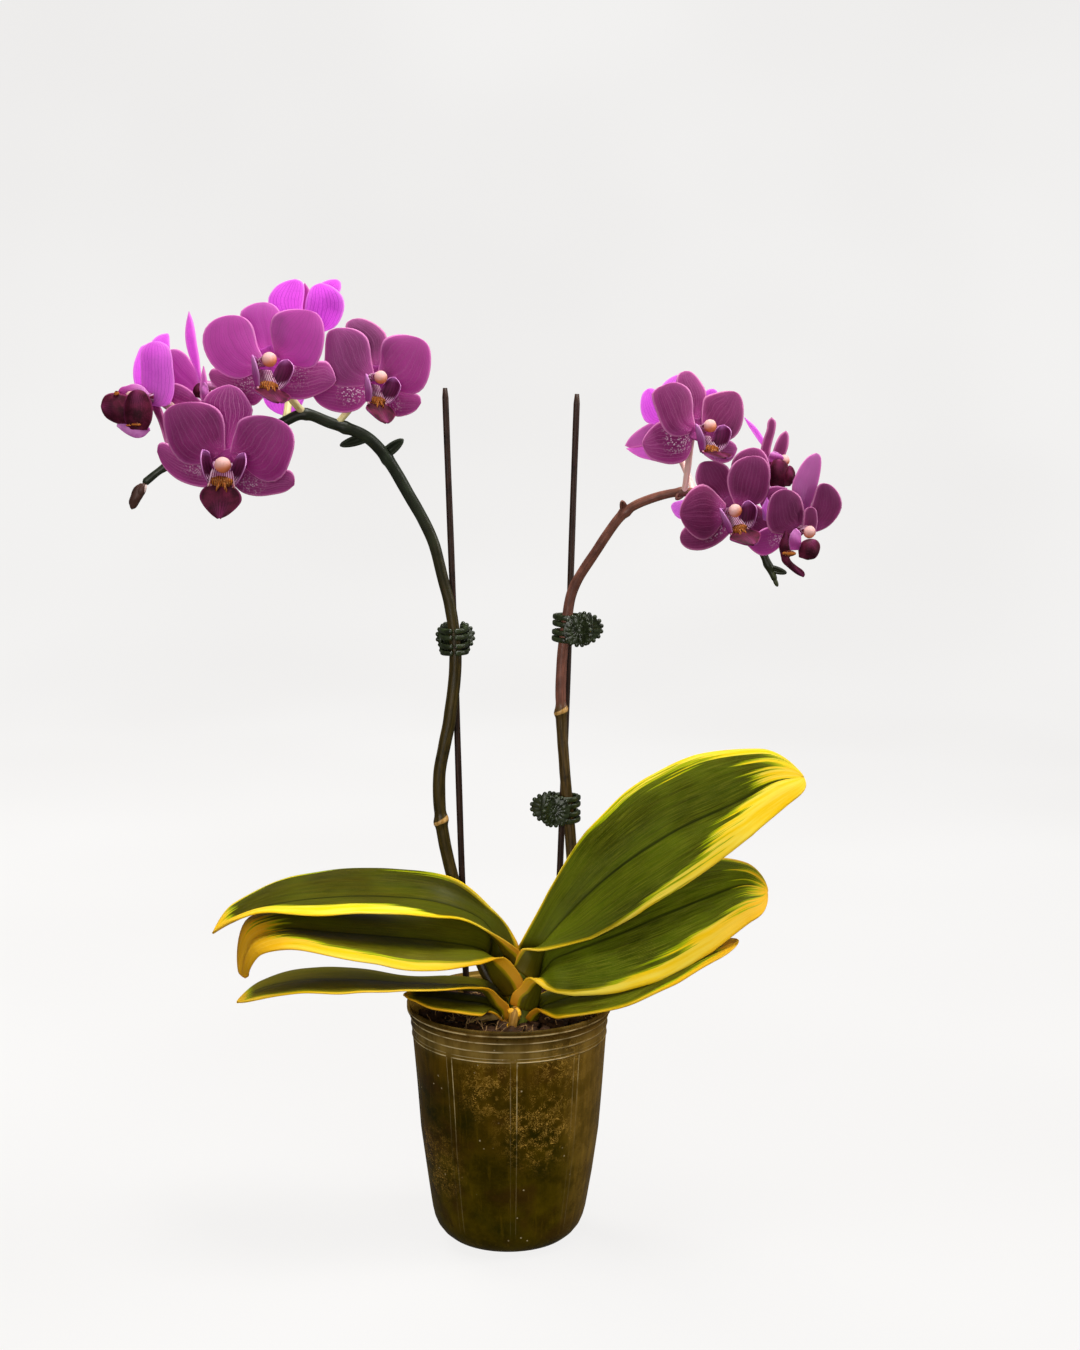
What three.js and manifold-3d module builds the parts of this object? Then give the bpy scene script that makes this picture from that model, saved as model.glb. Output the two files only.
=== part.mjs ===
// A potted miniature moth orchid, life size in millimetres, +Z up. The origin is the middle of the pot's flat bottom.
// +X is the side of the tall leaf, -Y is the front, where the flowers look.
import * as THREE from "three";
import { mergeVertices } from "three/addons/utils/BufferGeometryUtils.js";
import Module from "manifold-3d";

const wasm = await Module();
wasm.setup();

// ---------------------------------------------------------------- driving dimensions
const POT_HEIGHT = 107.7;
const POT_RIM_RADIUS = 45;
const POT_WALL = 1.0;
const POT_FOOT_RADIUS = 22; // flat part of the bottom
const POT_SIDES = 24;
const SMOOTHING = 0.02; // flat neighbours closer than this to one plane are joined
const DRAIN_HOLE_RADIUS = 2.6;
const DRAIN_HOLE_CIRCLE = 17;
const DRAIN_HOLES = 5;
const MEDIUM_TOP = 98;
const STAKE_RADIUS = 1.5;
const STAKE_SIDES = 8;
const LEAF_THICKNESS = 1.8;
const TEPAL_THICKNESS = 0.8;
const LIP_THICKNESS = 0.9;
const PEDICEL_RADIUS = 1.15;
const GAP = 0.35; // air between two pieces that grow or lie against each other
const JAW_THICKNESS = 1.2;
const TINE_WIDTH = 2.2;
const TINES = [-5.1, -1.7, 1.7, 5.1]; // heights of a jaw's tines along the pin
const PAD_RADIUS = 6.35; // the thumb pads are discs over the hinge with a beaded rim
const PAD_CENTRE = -0.9;
const PAD_BEADS = 17;
const BEAD_RADIUS = 0.8;
const PIN_RADIUS = 0.6;
const PIN_LENGTH = 13;
const LUG_HOLE_RADIUS = 0.95;
const SPRING_WIRE_RADIUS = 0.25;
const SPRING_COIL_RADIUS = 1.3;
const SPRING_TURNS = 3;

// Each leaf is given by three rails from its base to its tip: the midrib, the margin on the far side and the one on the near side.
const LEAVES = {
  leaf_right_upper: {
    mid: [[4.8, -1, 125], [8.4, -2, 133.5], [26.2, -2, 146.4], [46.9, -4, 166.7], [72.3, -7, 185], [97.6, -11, 198.3], [115.7, -15, 208.9], [126.4, -18, 211.9]],
    far: [[3, 2, 124.1], [6.1, 4, 133.6], [17.6, 9, 154.2], [34.5, 14, 180.3], [58.5, 16, 202.6], [82.1, 14, 214.9], [110.1, 3, 220.2], [126.4, -18, 211.9]],
    near: [[7.1, -5, 125.8], [10.6, -8, 132.6], [36.7, -15, 139.7], [57.1, -22, 153.3], [81, -27, 170.6], [104, -28, 188.7], [121.4, -25, 203.3], [126.4, -18, 211.9]],
  },
  leaf_right_middle: {
    mid: [[6.2, -3, 115.1], [11, -5, 124.4], [28.1, -7, 131], [46.8, -10, 139.1], [66.2, -13, 148.5], [85.3, -17, 157.7], [102.1, -21, 164.6], [111.2, -24, 164.1]],
    far: [[4.4, 0, 114.6], [8.3, 3, 126.1], [23, 9, 139], [43.1, 13, 151.7], [65.4, 14, 162.4], [85, 10, 169.4], [103.6, -4, 171.2], [111.2, -24, 164.1]],
    near: [[8.4, -7, 115.5], [12.8, -12, 118], [29.2, -22, 116.3], [47.5, -30, 120.4], [66.8, -36, 128.3], [86.8, -39, 140.9], [103.8, -36, 153.8], [111.2, -24, 164.1]],
  },
  leaf_right_lower: {
    mid: [[7.5, -6, 103.7], [13.2, -9, 108.4], [27.2, -13, 112.4], [42.4, -17, 117.3], [57.3, -21, 124], [72.1, -25, 131.1], [86.8, -29, 138.5], [98.4, -32, 143.9]],
    far: [[5.7, -3, 103.2], [11.4, 0, 108.2], [23.9, 6, 112.2], [40, 9, 116.4], [57, 9, 121.9], [73.1, 4, 128.5], [88.5, -8, 135.8], [98.4, -32, 143.9]],
    near: [[9.3, -10, 104.1], [14.5, -16, 106.6], [25.3, -26, 107.9], [40.6, -34, 113.1], [56.5, -40, 119.9], [72.2, -44, 129.1], [87.3, -43, 138.4], [98.4, -32, 143.9]],
  },
  leaf_left_upper: {
    mid: [[4.8, -1, 123.2], [1.7, -1, 131.4], [-12.3, -1, 144.2], [-29.8, -2, 151.7], [-56, -3, 154.7], [-82.3, -4, 154.1], [-107.5, -6, 150.6], [-120.9, -8, 145.7], [-128.7, -9, 140.7]],
    far: [[6.1, 2, 123.2], [3.4, 6, 132.1], [-7.9, 17, 145], [-24.3, 25, 156.1], [-51.6, 29, 159.4], [-80.9, 27, 159.3], [-106, 18, 155.9], [-121.9, 6, 149], [-128.7, -9, 140.7]],
    near: [[3.1, -5, 123.5], [0.1, -8, 130.8], [-13.5, -20, 141.6], [-31.1, -29, 153.5], [-55.8, -34, 156.7], [-80.1, -33, 155.3], [-104.2, -27, 154.5], [-118.9, -18, 148.4], [-128.7, -9, 140.7]],
  },
  leaf_left_middle: {
    mid: [[5.3, -4, 115.9], [1.3, -5, 124], [-10.4, -7, 131.4], [-29.6, -10, 136.4], [-53.3, -13, 139.5], [-76.9, -16, 142.2], [-97.4, -18, 144.2], [-109.3, -20, 140.7], [-114.1, -22, 126.1]],
    far: [[6.6, -1, 115.4], [2.6, 2, 124.1], [-9.1, 10, 133.6], [-28.5, 15, 139.1], [-53.2, 17, 141.8], [-77.7, 15, 143.8], [-99.4, 10, 146.5], [-115, -3, 144.8], [-116.4, -18, 126.7]],
    near: [[3.6, -8, 116.7], [0.1, -13, 124.2], [-10.4, -26, 131.8], [-30, -38, 132.7], [-53.2, -44, 136.8], [-76.1, -45, 141.6], [-94.2, -41, 142.8], [-104.9, -34, 138.3], [-110.9, -26, 127.4]],
  },
  leaf_left_lower: {
    mid: [[4, -7, 106.8], [-0.4, -8, 111.7], [-10.4, -10, 115.1], [-27.4, -13, 117.4], [-46.8, -16, 119.7], [-68.3, -18, 121.7], [-89.8, -20, 121.9], [-106.1, -22, 118.9], [-116.5, -24, 114.2]],
    far: [[4.8, -4, 107.2], [0.8, -1, 111.7], [-9.5, 6, 113.6], [-27.2, 13, 112.5], [-46.8, 17, 112.4], [-70.7, 18, 116.2], [-93.6, 13, 117.2], [-109.1, 1, 115.7], [-116.5, -24, 114.2]],
    near: [[2.7, -11, 106.7], [-2, -16, 112], [-10.8, -27, 119.7], [-27.5, -38, 123.9], [-46.6, -44, 125.4], [-66.5, -47, 125.8], [-86.9, -45, 124.6], [-103.9, -38, 120.6], [-116.5, -24, 114.2]],
  },
  leaf_left_lowest: {
    mid: [[3.1, -8, 101.6], [-1.7, -10, 105.9], [-9.9, -13, 109.2], [-19.9, -16, 111.6], [-30.2, -19, 113.9], [-41.3, -22, 115.8], [-51.5, -24, 117.4]],
    far: [[3.9, -5, 102], [-0.5, -3, 106.4], [-9, 3, 107.2], [-19.8, 6, 107.8], [-30.5, 5, 108.8], [-41.9, -4, 112], [-51.5, -24, 117.4]],
    near: [[1.8, -12, 102.1], [-3.3, -18, 105.4], [-11.3, -27, 108.9], [-21.4, -33, 112.3], [-31.4, -37, 115.4], [-42.2, -35, 118.3], [-51.5, -24, 117.4]],
  },
};

// Flower spikes: the path of the middle, and the radius at each of its points.
const SPIKES = {
  flower_spike_left: {
    path: [[-1, 2, 102.9], [-4.6, 4, 109.2], [-10.9, 8, 119], [-18.5, 12, 139.5], [-25.3, 13, 161.8], [-29.8, 12.5, 186.1], [-30.3, 12.3, 206.5], [-25.7, 12.3, 231.2], [-23.1, 12.4, 252.6], [-23.1, 12.4, 266.8], [-25.2, 12.2, 282.2], [-28, 11.5, 293.3], [-32.5, 9, 311.4], [-42.5, 5, 331.5], [-52.3, 0, 348.5], [-59.7, -5, 356.3], [-73.6, -9, 361.9], [-84.5, -12, 365.8], [-94.4, -14, 361.8], [-106.9, -15, 356.8], [-118.5, -16, 352.7], [-131, -17, 350.3], [-142.9, -18, 343.7], [-149.4, -19, 339.6], [-154.5, -20, 335.5], [-157.6, -21, 329.4]],
    radius: [2.6, 2.6, 2.6, 2.6, 2.66, 2.74, 2.72, 2.75, 2.69, 2.58, 2.43, 2.41, 2.44, 2.48, 2.5, 2.37, 2.3, 2.18, 1.98, 1.74, 1.62, 1.57, 1.45, 1.61, 1.98, 1.49],
  },
  flower_spike_right: {
    path: [[12.8, 2, 101], [16.8, 4, 105.9], [21.3, 8, 111.6], [26.6, 12, 131.2], [28.8, 14.5, 152.2], [28.1, 15, 171.8], [26.5, 14.8, 191], [24.9, 14.2, 210.6], [23.3, 13.6, 235.5], [23.7, 13.1, 257.8], [25.7, 12.9, 274.6], [28.4, 12, 288.8], [38.9, 7, 307.2], [50.5, 2, 323.6], [60.9, -2, 329.5], [74.2, -6, 332.8], [85.7, -10, 332.3], [95, -14, 328.8], [101.8, -17, 321.1], [106.1, -19, 311.6], [109.7, -20, 303.3], [112.7, -21, 296.7]],
    radius: [2.6, 2.6, 2.6, 2.6, 2.55, 2.5, 2.44, 2.39, 2.39, 2.34, 2.29, 2.24, 2.13, 2.03, 1.92, 1.77, 1.66, 1.56, 1.46, 1.35, 1.25, 0.94],
  },
};

// Support stakes: top and buried end.
const STAKES = {
  stake_left: [[-26.7, 14, 375.9], [-16.7, 22.2, 14]],
  stake_right: [[30, 15, 373.3], [18.3, 21.8, 14]],
};

// Roots that leave the foot of the crown and dive into the bark.
const ROOTS = {
  aerial_root_front: { path: [[4, -8.5, 105.5], [3, -14, 106], [2.2, -17.5, 102.5], [1.8, -19, 95]], radius: 2.1 },
  aerial_root_low: { path: [[0, -8, 100], [-1, -12, 101], [-2.5, -14.8, 98.5], [-3, -15.5, 93]], radius: 1.5 },
  aerial_root_left: { path: [[-3, -4.5, 101.5], [-11, -9, 101.5], [-19, -14, 98.6], [-25, -17.5, 93]], radius: 1.6 },
};

// Flowers: centre at the foot of the column, [turn to the right, nod up, roll clockwise] in degrees as the flower is faced,
// size against a full flower, where its stalk leaves the spike, and how single tepals differ
// [degrees, length factor, width factor, slope forward].
const FLOWERS = {
  left_1: { centre: [-112.9, -46.0, 347.1], turn: [0, -4, 9], size: 1, joins: [-113.7, -15.6, 354.2], varies: { lip: [-8, 1, 1, 0], sepalRight: [7, 1, 1, 0], sepalLeft: [-9, 0.98, 1, 0] } },
  left_2: { centre: [-97.2, -33.0, 387.6], turn: [10, 2, -4], size: 0.95, joins: [-84.5, -12.0, 365.8], varies: { dorsal: [2, 0.78, 1, 0] } },
  left_3: { centre: [-53.7, -14.0, 380.8], turn: [12, -2, 8], size: 0.86, joins: [-71.4, -8.4, 361.1], varies: { dorsal: [26, 1, 1, 0], sepalRight: [-10, 0.84, 1, 0], sepalLeft: [12, 1, 1, 0] } },
  left_4: { centre: [-89.5, 12.0, 400.0], turn: [8, 20, 10], size: 0.86, joins: [-91.8, -13.6, 363.1], varies: { dorsal: [-26, 1, 0.7, 0], petalLeft: [-26, 0.95, 0.95, 0], petalRight: [21, 1, 1, 0] } },
  left_5: { centre: [-149.7, -26.0, 373.7], turn: [-72, -6, 0], size: 0.92, joins: [-129.6, -17.0, 350.3], varies: { petalRight: [20, 1, 1.12, -0.38], petalLeft: [-20, 0.95, 1, -0.45], dorsal: [0, 0.9, 0.9, -0.3], sepalRight: [-25, 0.8, 1, -0.1], sepalLeft: [25, 0.8, 1, -0.1] } },
  left_6: { centre: [-129.5, 2.0, 377.5], turn: [-68, 0, -10], size: 0.88, joins: [-121.3, -16.2, 352.1], varies: { petalLeft: [8, 1, 0.9, 0.35], petalRight: [0, 0.8, 1, 0], dorsal: [0, 0.98, 0.9, 0.12] } },
  right_1: { centre: [80.2, -28.0, 359.9], turn: [26, 10, 2], size: 0.84, joins: [75.2, -6.3, 332.9], varies: { dorsal: [14, 0.94, 1, 0], sepalLeft: [3, 1.08, 1, 0] } },
  right_2: { centre: [90.9, -38.0, 327.5], turn: [20, 0, -29], size: 0.84, joins: [97.1, -14.8, 327.2], varies: { dorsal: [-14, 0.95, 0.9, 0], lip: [18, 1, 1, 0], sepalLeft: [-10, 1, 1, 0] } },
  right_3: { centre: [120.2, -30.0, 320.2], turn: [38, -18, 2], size: 0.82, joins: [103.0, -17.2, 320.4], varies: { dorsal: [12, 1.26, 0.9, 0.1], sepalRight: [0, 0.8, 1, -0.6] } },
  right_4: { centre: [110.8, -10.0, 345.3], turn: [70, 6, -4], size: 0.72, joins: [90.7, -12.1, 331.0], varies: { petalRight: [30, 0.85, 0.9, 0.3], petalLeft: [-30, 0.85, 0.9, 0.35], sepalRight: [-30, 0.6, 0.9, 0], sepalLeft: [30, 0.6, 0.9, 0], dorsal: [0, 0.85, 0.7, 0.1] } },
  right_5: { centre: [95.5, -21, 333.5], turn: [10, 12, 8], size: 0.72, joins: [86.6, -10.3, 332.1], varies: { lip: [0, 0.7, 0.7, 0] } },
  right_6: { centre: [73.7, 4.0, 360.9], turn: [-150, 5, 10], size: 0.82, joins: [79.2, -7.7, 333.0], varies: { dorsal: [0, 0.8, 1, 0], sepalRight: [-4, 1.25, 1, 0] } },
};

// One full flower, seen from the front: each tepal's direction, length, width, start, height at the start, slope, bend and cupping.
const TEPALS = {
  dorsal: [90, 31, 23, 1.5, -1.3, 0.05, 0.02, -0.1, "sepal"],
  sepalRight: [-18, 29, 17, 1.5, -1.7, 0.02, -0.06, 0.1, "sepal"],
  sepalLeft: [198, 29, 17, 1.5, -1.7, 0.02, -0.06, 0.1, "sepal"],
  petalRight: [32, 27.5, 26, 1.2, 0.6, 0.1, -0.1, -0.1, "petal"],
  petalLeft: [148, 27.5, 26, 1.2, 0.6, 0.1, -0.1, -0.1, "petal"],
};
const OUTLINE = {
  sepal: [[0, 0.36], [0.33, 0.88], [0.68, 0.97], [1, 0.3]],
  petal: [[0, 0.2], [0.3, 0.86], [0.72, 0.97], [1, 0.36]],
};

// Spring clips that hold a spike to its stake: middle of the hinge pin, way from the stem to the pads, way along the pin.
const CLIPS = {
  clip_left: { pin: [-23.5, 22.2, 266.2], pads: [0, 1, 0], up: [-0.03, 0, 1] },
  clip_upper: { pin: [33.2, 12.4, 271.4], pads: [0.94, -0.34, 0], up: [0.05, 0, 1] },
  clip_lower: { pin: [18.4, 13.8, 190.6], pads: [-0.94, -0.34, 0], up: [0.0, 0, 1] },
};

// ---------------------------------------------------------------- materials
const matte = (color, roughness, metalness = 0) =>
  new THREE.MeshStandardMaterial({ color, roughness, metalness });
const MATERIAL = {
  pot: () => matte(0x4d3d14, 0.35),
  medium: () => matte(0x2a1c10, 0.95),
  crown: () => matte(0x6f6a1f, 0.5),
  leaf: () => matte(0x3c4d1a, 0.35),
  spike: () => matte(0x33291b, 0.55),
  stake: () => matte(0x1b1512, 0.5),
  root: () => matte(0xb08a4a, 0.7),
  clip: () => matte(0x1d2418, 0.4),
  metal: () => matte(0x8f8c86, 0.3, 1),
  tepal: () => matte(0x7b2a6b, 0.6),
  lip: () => matte(0x4a1a2a, 0.5),
};

// ---------------------------------------------------------------- geometry helpers
const V = (a) => new THREE.Vector3(a[0], a[1], a[2]);

// A closed geometry as a solid for joining and cutting.
function solid(geometry) {
  const g = geometry.clone();
  for (const name of Object.keys(g.attributes))
    if (name !== "position") g.deleteAttribute(name);
  const m = mergeVertices(g, 1e-4);
  const tri = new Uint32Array(m.index.array);
  const make = () =>
    new wasm.Manifold(
      new wasm.Mesh({
        numProp: 3,
        vertProperties: new Float32Array(m.attributes.position.array),
        triVerts: tri,
      }),
    );
  let s = make();
  if (s.volume() < 0) {
    for (let i = 0; i < tri.length; i += 3)
      [tri[i + 1], tri[i + 2]] = [tri[i + 2], tri[i + 1]];
    s = make();
  }
  return s;
}

function geometryOf(s) {
  const m = s.getMesh();
  const n = m.numProp;
  const v = new Float32Array(m.numVert * 3);
  for (let i = 0; i < m.numVert; i++)
    v.set(m.vertProperties.subarray(i * n, i * n + 3), i * 3);
  const g = new THREE.BufferGeometry();
  g.setAttribute("position", new THREE.BufferAttribute(v, 3));
  g.setIndex(new THREE.BufferAttribute(new Uint32Array(m.triVerts), 1));
  g.computeVertexNormals();
  return g;
}

const join = (list) => list.reduce((a, b) => a.add(b));

function largest(s) {
  const pieces = s.decompose();
  return pieces.reduce((a, b) => (b.volume() > a.volume() ? b : a));
}

// A curved sheet with real thickness: rows of points along it, closed by its two faces and its edges. edge is how much of
// the thickness is left at the margins, and grow pushes faces and margins out to make a cutter.
function sheet(rows, thickness, edge = 0.5, grow = 0) {
  const n = rows.length,
    m = rows[0].length;
  const at = (i, j) =>
    rows[Math.min(n - 1, Math.max(0, i))][Math.min(m - 1, Math.max(0, j))];
  const along = (i, j) => at(i + 1, j).clone().sub(at(i - 1, j));
  const across = (i, j) => at(i, j + 1).clone().sub(at(i, j - 1));
  const top = [],
    low = [];
  for (let i = 0; i < n; i++)
    for (let j = 0; j < m; j++) {
      const a = along(i, j),
        c = across(i, j);
      const normal = a.clone().cross(c).normalize();
      const rim = i === 0 || j === 0 || i === n - 1 || j === m - 1;
      const half = (thickness * (rim ? edge : 1)) / 2 + grow;
      const p = at(i, j).clone();
      if (grow) {
        if (i === 0) p.addScaledVector(a.normalize(), -grow);
        if (i === n - 1) p.addScaledVector(a.normalize(), grow);
        if (j === 0) p.addScaledVector(c.normalize(), -grow);
        if (j === m - 1) p.addScaledVector(c.normalize(), grow);
      }
      top.push(p.clone().addScaledVector(normal, half));
      low.push(p.clone().addScaledVector(normal, -half));
    }
  const points = [...top, ...low];
  const index = [];
  const T = (i, j) => i * m + j,
    L = (i, j) => n * m + i * m + j;
  const quad = (a, b, c, d) => index.push(a, b, c, a, c, d);
  for (let i = 0; i < n - 1; i++)
    for (let j = 0; j < m - 1; j++) {
      quad(T(i, j), T(i + 1, j), T(i + 1, j + 1), T(i, j + 1));
      quad(L(i, j), L(i, j + 1), L(i + 1, j + 1), L(i + 1, j));
    }
  for (let i = 0; i < n - 1; i++) {
    quad(T(i, 0), L(i, 0), L(i + 1, 0), T(i + 1, 0));
    quad(T(i, m - 1), T(i + 1, m - 1), L(i + 1, m - 1), L(i, m - 1));
  }
  for (let j = 0; j < m - 1; j++) {
    quad(T(0, j), T(0, j + 1), L(0, j + 1), L(0, j));
    quad(T(n - 1, j), L(n - 1, j), L(n - 1, j + 1), T(n - 1, j + 1));
  }
  const g = new THREE.BufferGeometry().setFromPoints(points);
  g.setIndex(index);
  return g;
}

// A round stalk along a smooth curve, with its own radius along the way and closed ends.
function stalk(path, radii, steps, sides, grow = 0) {
  const curve = new THREE.CatmullRomCurve3(path.map(V), false, "centripetal");
  const frames = curve.computeFrenetFrames(steps, false);
  const points = [],
    index = [];
  for (let i = 0; i <= steps; i++) {
    const u = i / steps;
    const c = curve.getPointAt(u);
    if (i === 0) c.addScaledVector(frames.tangents[0], -grow);
    if (i === steps) c.addScaledVector(frames.tangents[steps], grow);
    const t = curve.getUtoTmapping(u) * (radii.length - 1);
    const k = Math.min(radii.length - 2, Math.floor(t));
    const r = THREE.MathUtils.lerp(radii[k], radii[k + 1], t - k) + grow;
    for (let j = 0; j < sides; j++) {
      const a = (2 * Math.PI * j) / sides;
      points.push(
        c
          .clone()
          .addScaledVector(frames.normals[i], r * Math.cos(a))
          .addScaledVector(frames.binormals[i], r * Math.sin(a)),
      );
    }
  }
  for (let i = 0; i < steps; i++)
    for (let j = 0; j < sides; j++) {
      const a = i * sides + j,
        b = i * sides + ((j + 1) % sides);
      index.push(a, b, b + sides, a, b + sides, a + sides);
    }
  for (let j = 1; j < sides - 1; j++) {
    index.push(0, j + 1, j);
    const e = steps * sides;
    index.push(e, e + j, e + j + 1);
  }
  const g = new THREE.BufferGeometry().setFromPoints(points);
  g.setIndex(index);
  return g;
}

// A straight round rod between two points.
function rod(from, to, radius, sides, grow = 0) {
  const a = V(from),
    b = V(to);
  const way = b.clone().sub(a);
  const g = new THREE.CylinderGeometry(radius + grow, radius + grow, way.length() + 2 * grow, sides);
  g.applyQuaternion(new THREE.Quaternion().setFromUnitVectors(new THREE.Vector3(0, 1, 0), way.clone().normalize()));
  g.translate(...a.add(b).multiplyScalar(0.5).toArray());
  return g;
}

// A ring-shaped or full solid of revolution about the upright axis.
function turned(profile, sides) {
  const g = new THREE.LatheGeometry(profile.map((p) => new THREE.Vector2(p[0], p[1])), sides);
  g.rotateX(Math.PI / 2);
  return g;
}

const object = new THREE.Group();
const placed = [];

// Adds a piece, cut back by the grown shapes of the pieces it would run into.
function add(name, body, cutter, material, against = () => true) {
  let s = body;
  const box = s.boundingBox();
  for (const p of placed) {
    if (!against(p.name)) continue;
    const near = [0, 1, 2].every(
      (k) => box.min[k] <= p.box.max[k] && box.max[k] >= p.box.min[k],
    );
    if (near && s.intersect(p.cutter).volume() > 1e-6) s = s.subtract(p.cutter);
  }
  s = largest(s.simplify(SMOOTHING));
  placed.push({ name, cutter, box: cutter.boundingBox() });
  const mesh = new THREE.Mesh(geometryOf(s), material);
  mesh.name = name;
  object.add(mesh);
  return mesh;
}

// ---------------------------------------------------------------- pot
// The thin pot tapers to a rounded bottom corner, and its rim is a narrow step that stands out from the wall.
const outer = [
  [POT_FOOT_RADIUS, 0],
  [28, 1.7],
  [32.4, 6.2],
  [34.4, 13],
  [39.3, 50],
  [43, 98],
  [43.6, 103.6],
  [POT_RIM_RADIUS, 104.4],
  [POT_RIM_RADIUS, POT_HEIGHT],
];
const inner = [
  [43.7, POT_HEIGHT],
  [42.4, 103.2],
  [42, 98],
  [39.3 - POT_WALL, 50],
  [34.4 - POT_WALL, 13.4],
  [31.6, 7.2],
  [27.6, 2.9],
  [21.8, 1.3],
];
let pot = solid(turned([[0, 0], ...outer, ...inner, [0, 1.3]], POT_SIDES));
for (let i = 0; i < DRAIN_HOLES; i++) {
  const a = ((i + 0.5) / DRAIN_HOLES) * 2 * Math.PI;
  const x = DRAIN_HOLE_CIRCLE * Math.cos(a),
    y = DRAIN_HOLE_CIRCLE * Math.sin(a);
  pot = pot.subtract(solid(rod([x, y, -2], [x, y, 4], DRAIN_HOLE_RADIUS, 6)));
}
add("pot", pot, pot, MATERIAL.pot());

// ---------------------------------------------------------------- stakes, spikes, crown, roots
for (const [name, [top, foot]] of Object.entries(STAKES))
  add(
    name,
    solid(rod(top, foot, STAKE_RADIUS, STAKE_SIDES)),
    solid(rod(top, foot, STAKE_RADIUS, STAKE_SIDES, GAP)),
    MATERIAL.stake(),
  );

const crownProfile = (grow) => [
  [0, 92 - grow],
  [5.2 + grow, 92 - grow],
  [6.6 + grow, 99],
  [6.2 + grow, 110],
  [4.6 + grow, 120],
  [2.2 + grow, 127 + grow],
  [0, 128 + grow],
];
const crownAt = (grow) => solid(turned(crownProfile(grow), 12).translate(5.5, -2.5, 0));
add("crown_stem", crownAt(0), crownAt(GAP), MATERIAL.crown());

for (const [name, spike] of Object.entries(SPIKES))
  add(
    name,
    solid(stalk(spike.path, spike.radius, 34, 6)),
    solid(stalk(spike.path, spike.radius, 34, 6, GAP)),
    MATERIAL.spike(),
  );

for (const [name, root] of Object.entries(ROOTS)) {
  const r = [root.radius, root.radius, root.radius, root.radius * 0.8];
  add(name, solid(stalk(root.path, r, 8, 7)), solid(stalk(root.path, r, 8, 7, GAP)), MATERIAL.root());
}

// ---------------------------------------------------------------- growing medium
// Bark and moss fill the pot up to a little under the rim, round the stakes, the crown's foot and the roots.
const g3 = GAP;
const fill = solid(
  turned(
    [
      [0, 1.3 + g3],
      [21.6, 1.3 + g3],
      [27.2, 2.9 + g3],
      [31.2, 7.4 + g3],
      [34.4 - POT_WALL - g3, 13.7],
      [39.3 - POT_WALL - g3 - 0.1, 50],
      [41.2, 92],
      [40.2, 96.4],
      [16, MEDIUM_TOP + 1],
      [0, MEDIUM_TOP + 1.2],
    ],
    POT_SIDES,
  ),
);
add("growing_medium", fill, fill, MATERIAL.medium(), (n) => n !== "pot");

// ---------------------------------------------------------------- leaves
// Each leaf is folded along its midrib, and each half is a little domed.
function leafRows(leaf) {
  const n = leaf.mid.length;
  const rows = [];
  for (let i = 0; i < n; i++) {
    const mid = V(leaf.mid[i]),
      far = V(leaf.far[i]),
      near = V(leaf.near[i]);
    if (i === n - 1) {
      const side = V(leaf.far[i - 1]).sub(V(leaf.near[i - 1])).normalize();
      far.copy(mid).addScaledVector(side, 1.2);
      near.copy(mid).addScaledVector(side, -1.2);
    }
    const along = V(leaf.mid[Math.min(n - 1, i + 1)]).sub(V(leaf.mid[Math.max(0, i - 1)])).normalize();
    const lift = along.clone().cross(near.clone().sub(far)).normalize();
    if (lift.z < 0) lift.negate();
    const half = (a) =>
      a.clone().add(mid).multiplyScalar(0.5).addScaledVector(lift, 0.07 * a.distanceTo(mid));
    rows.push([near, half(near), mid, half(far), far]);
  }
  return rows;
}
for (const [name, leaf] of Object.entries(LEAVES)) {
  const rows = leafRows(leaf);
  add(
    name,
    solid(sheet(rows, LEAF_THICKNESS, 0.5)),
    solid(sheet(rows, LEAF_THICKNESS, 0.5, GAP)),
    MATERIAL.leaf(),
  );
}

// ---------------------------------------------------------------- flowers
function flowerFrame(turn) {
  const [yaw, nod, roll] = turn.map((d) => (d * Math.PI) / 180);
  const facing = new THREE.Vector3(
    Math.sin(yaw) * Math.cos(nod),
    -Math.cos(yaw) * Math.cos(nod),
    Math.sin(nod),
  );
  const side = new THREE.Vector3(0, 0, 1).cross(facing).normalize();
  const up = facing.clone().cross(side);
  const upRolled = up.clone().multiplyScalar(Math.cos(roll)).addScaledVector(side, Math.sin(roll));
  const sideRolled = side.clone().multiplyScalar(Math.cos(roll)).addScaledVector(up, -Math.sin(roll));
  return new THREE.Matrix4().makeBasis(sideRolled, upRolled, facing);
}

function tepalRows(kind, varies) {
  const [angle, length, width, start, height, slope, bend, cup, outline] = TEPALS[kind];
  const [dAngle, fLength, fWidth, dSlope] = varies[kind] || [0, 1, 1, 0];
  const a = ((angle + dAngle) * Math.PI) / 180;
  const L = length * fLength;
  return OUTLINE[outline].map(([t, w]) => {
    const h = (width * fWidth * w) / 2;
    return [-1, 0, 1].map((s) => {
      const r = start + L * t;
      return new THREE.Vector3(
        Math.cos(a) * r - Math.sin(a) * s * h,
        Math.sin(a) * r + Math.cos(a) * s * h,
        height + L * ((slope + dSlope) * t + bend * t * t) + cup * h * s * s,
      );
    });
  });
}

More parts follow.
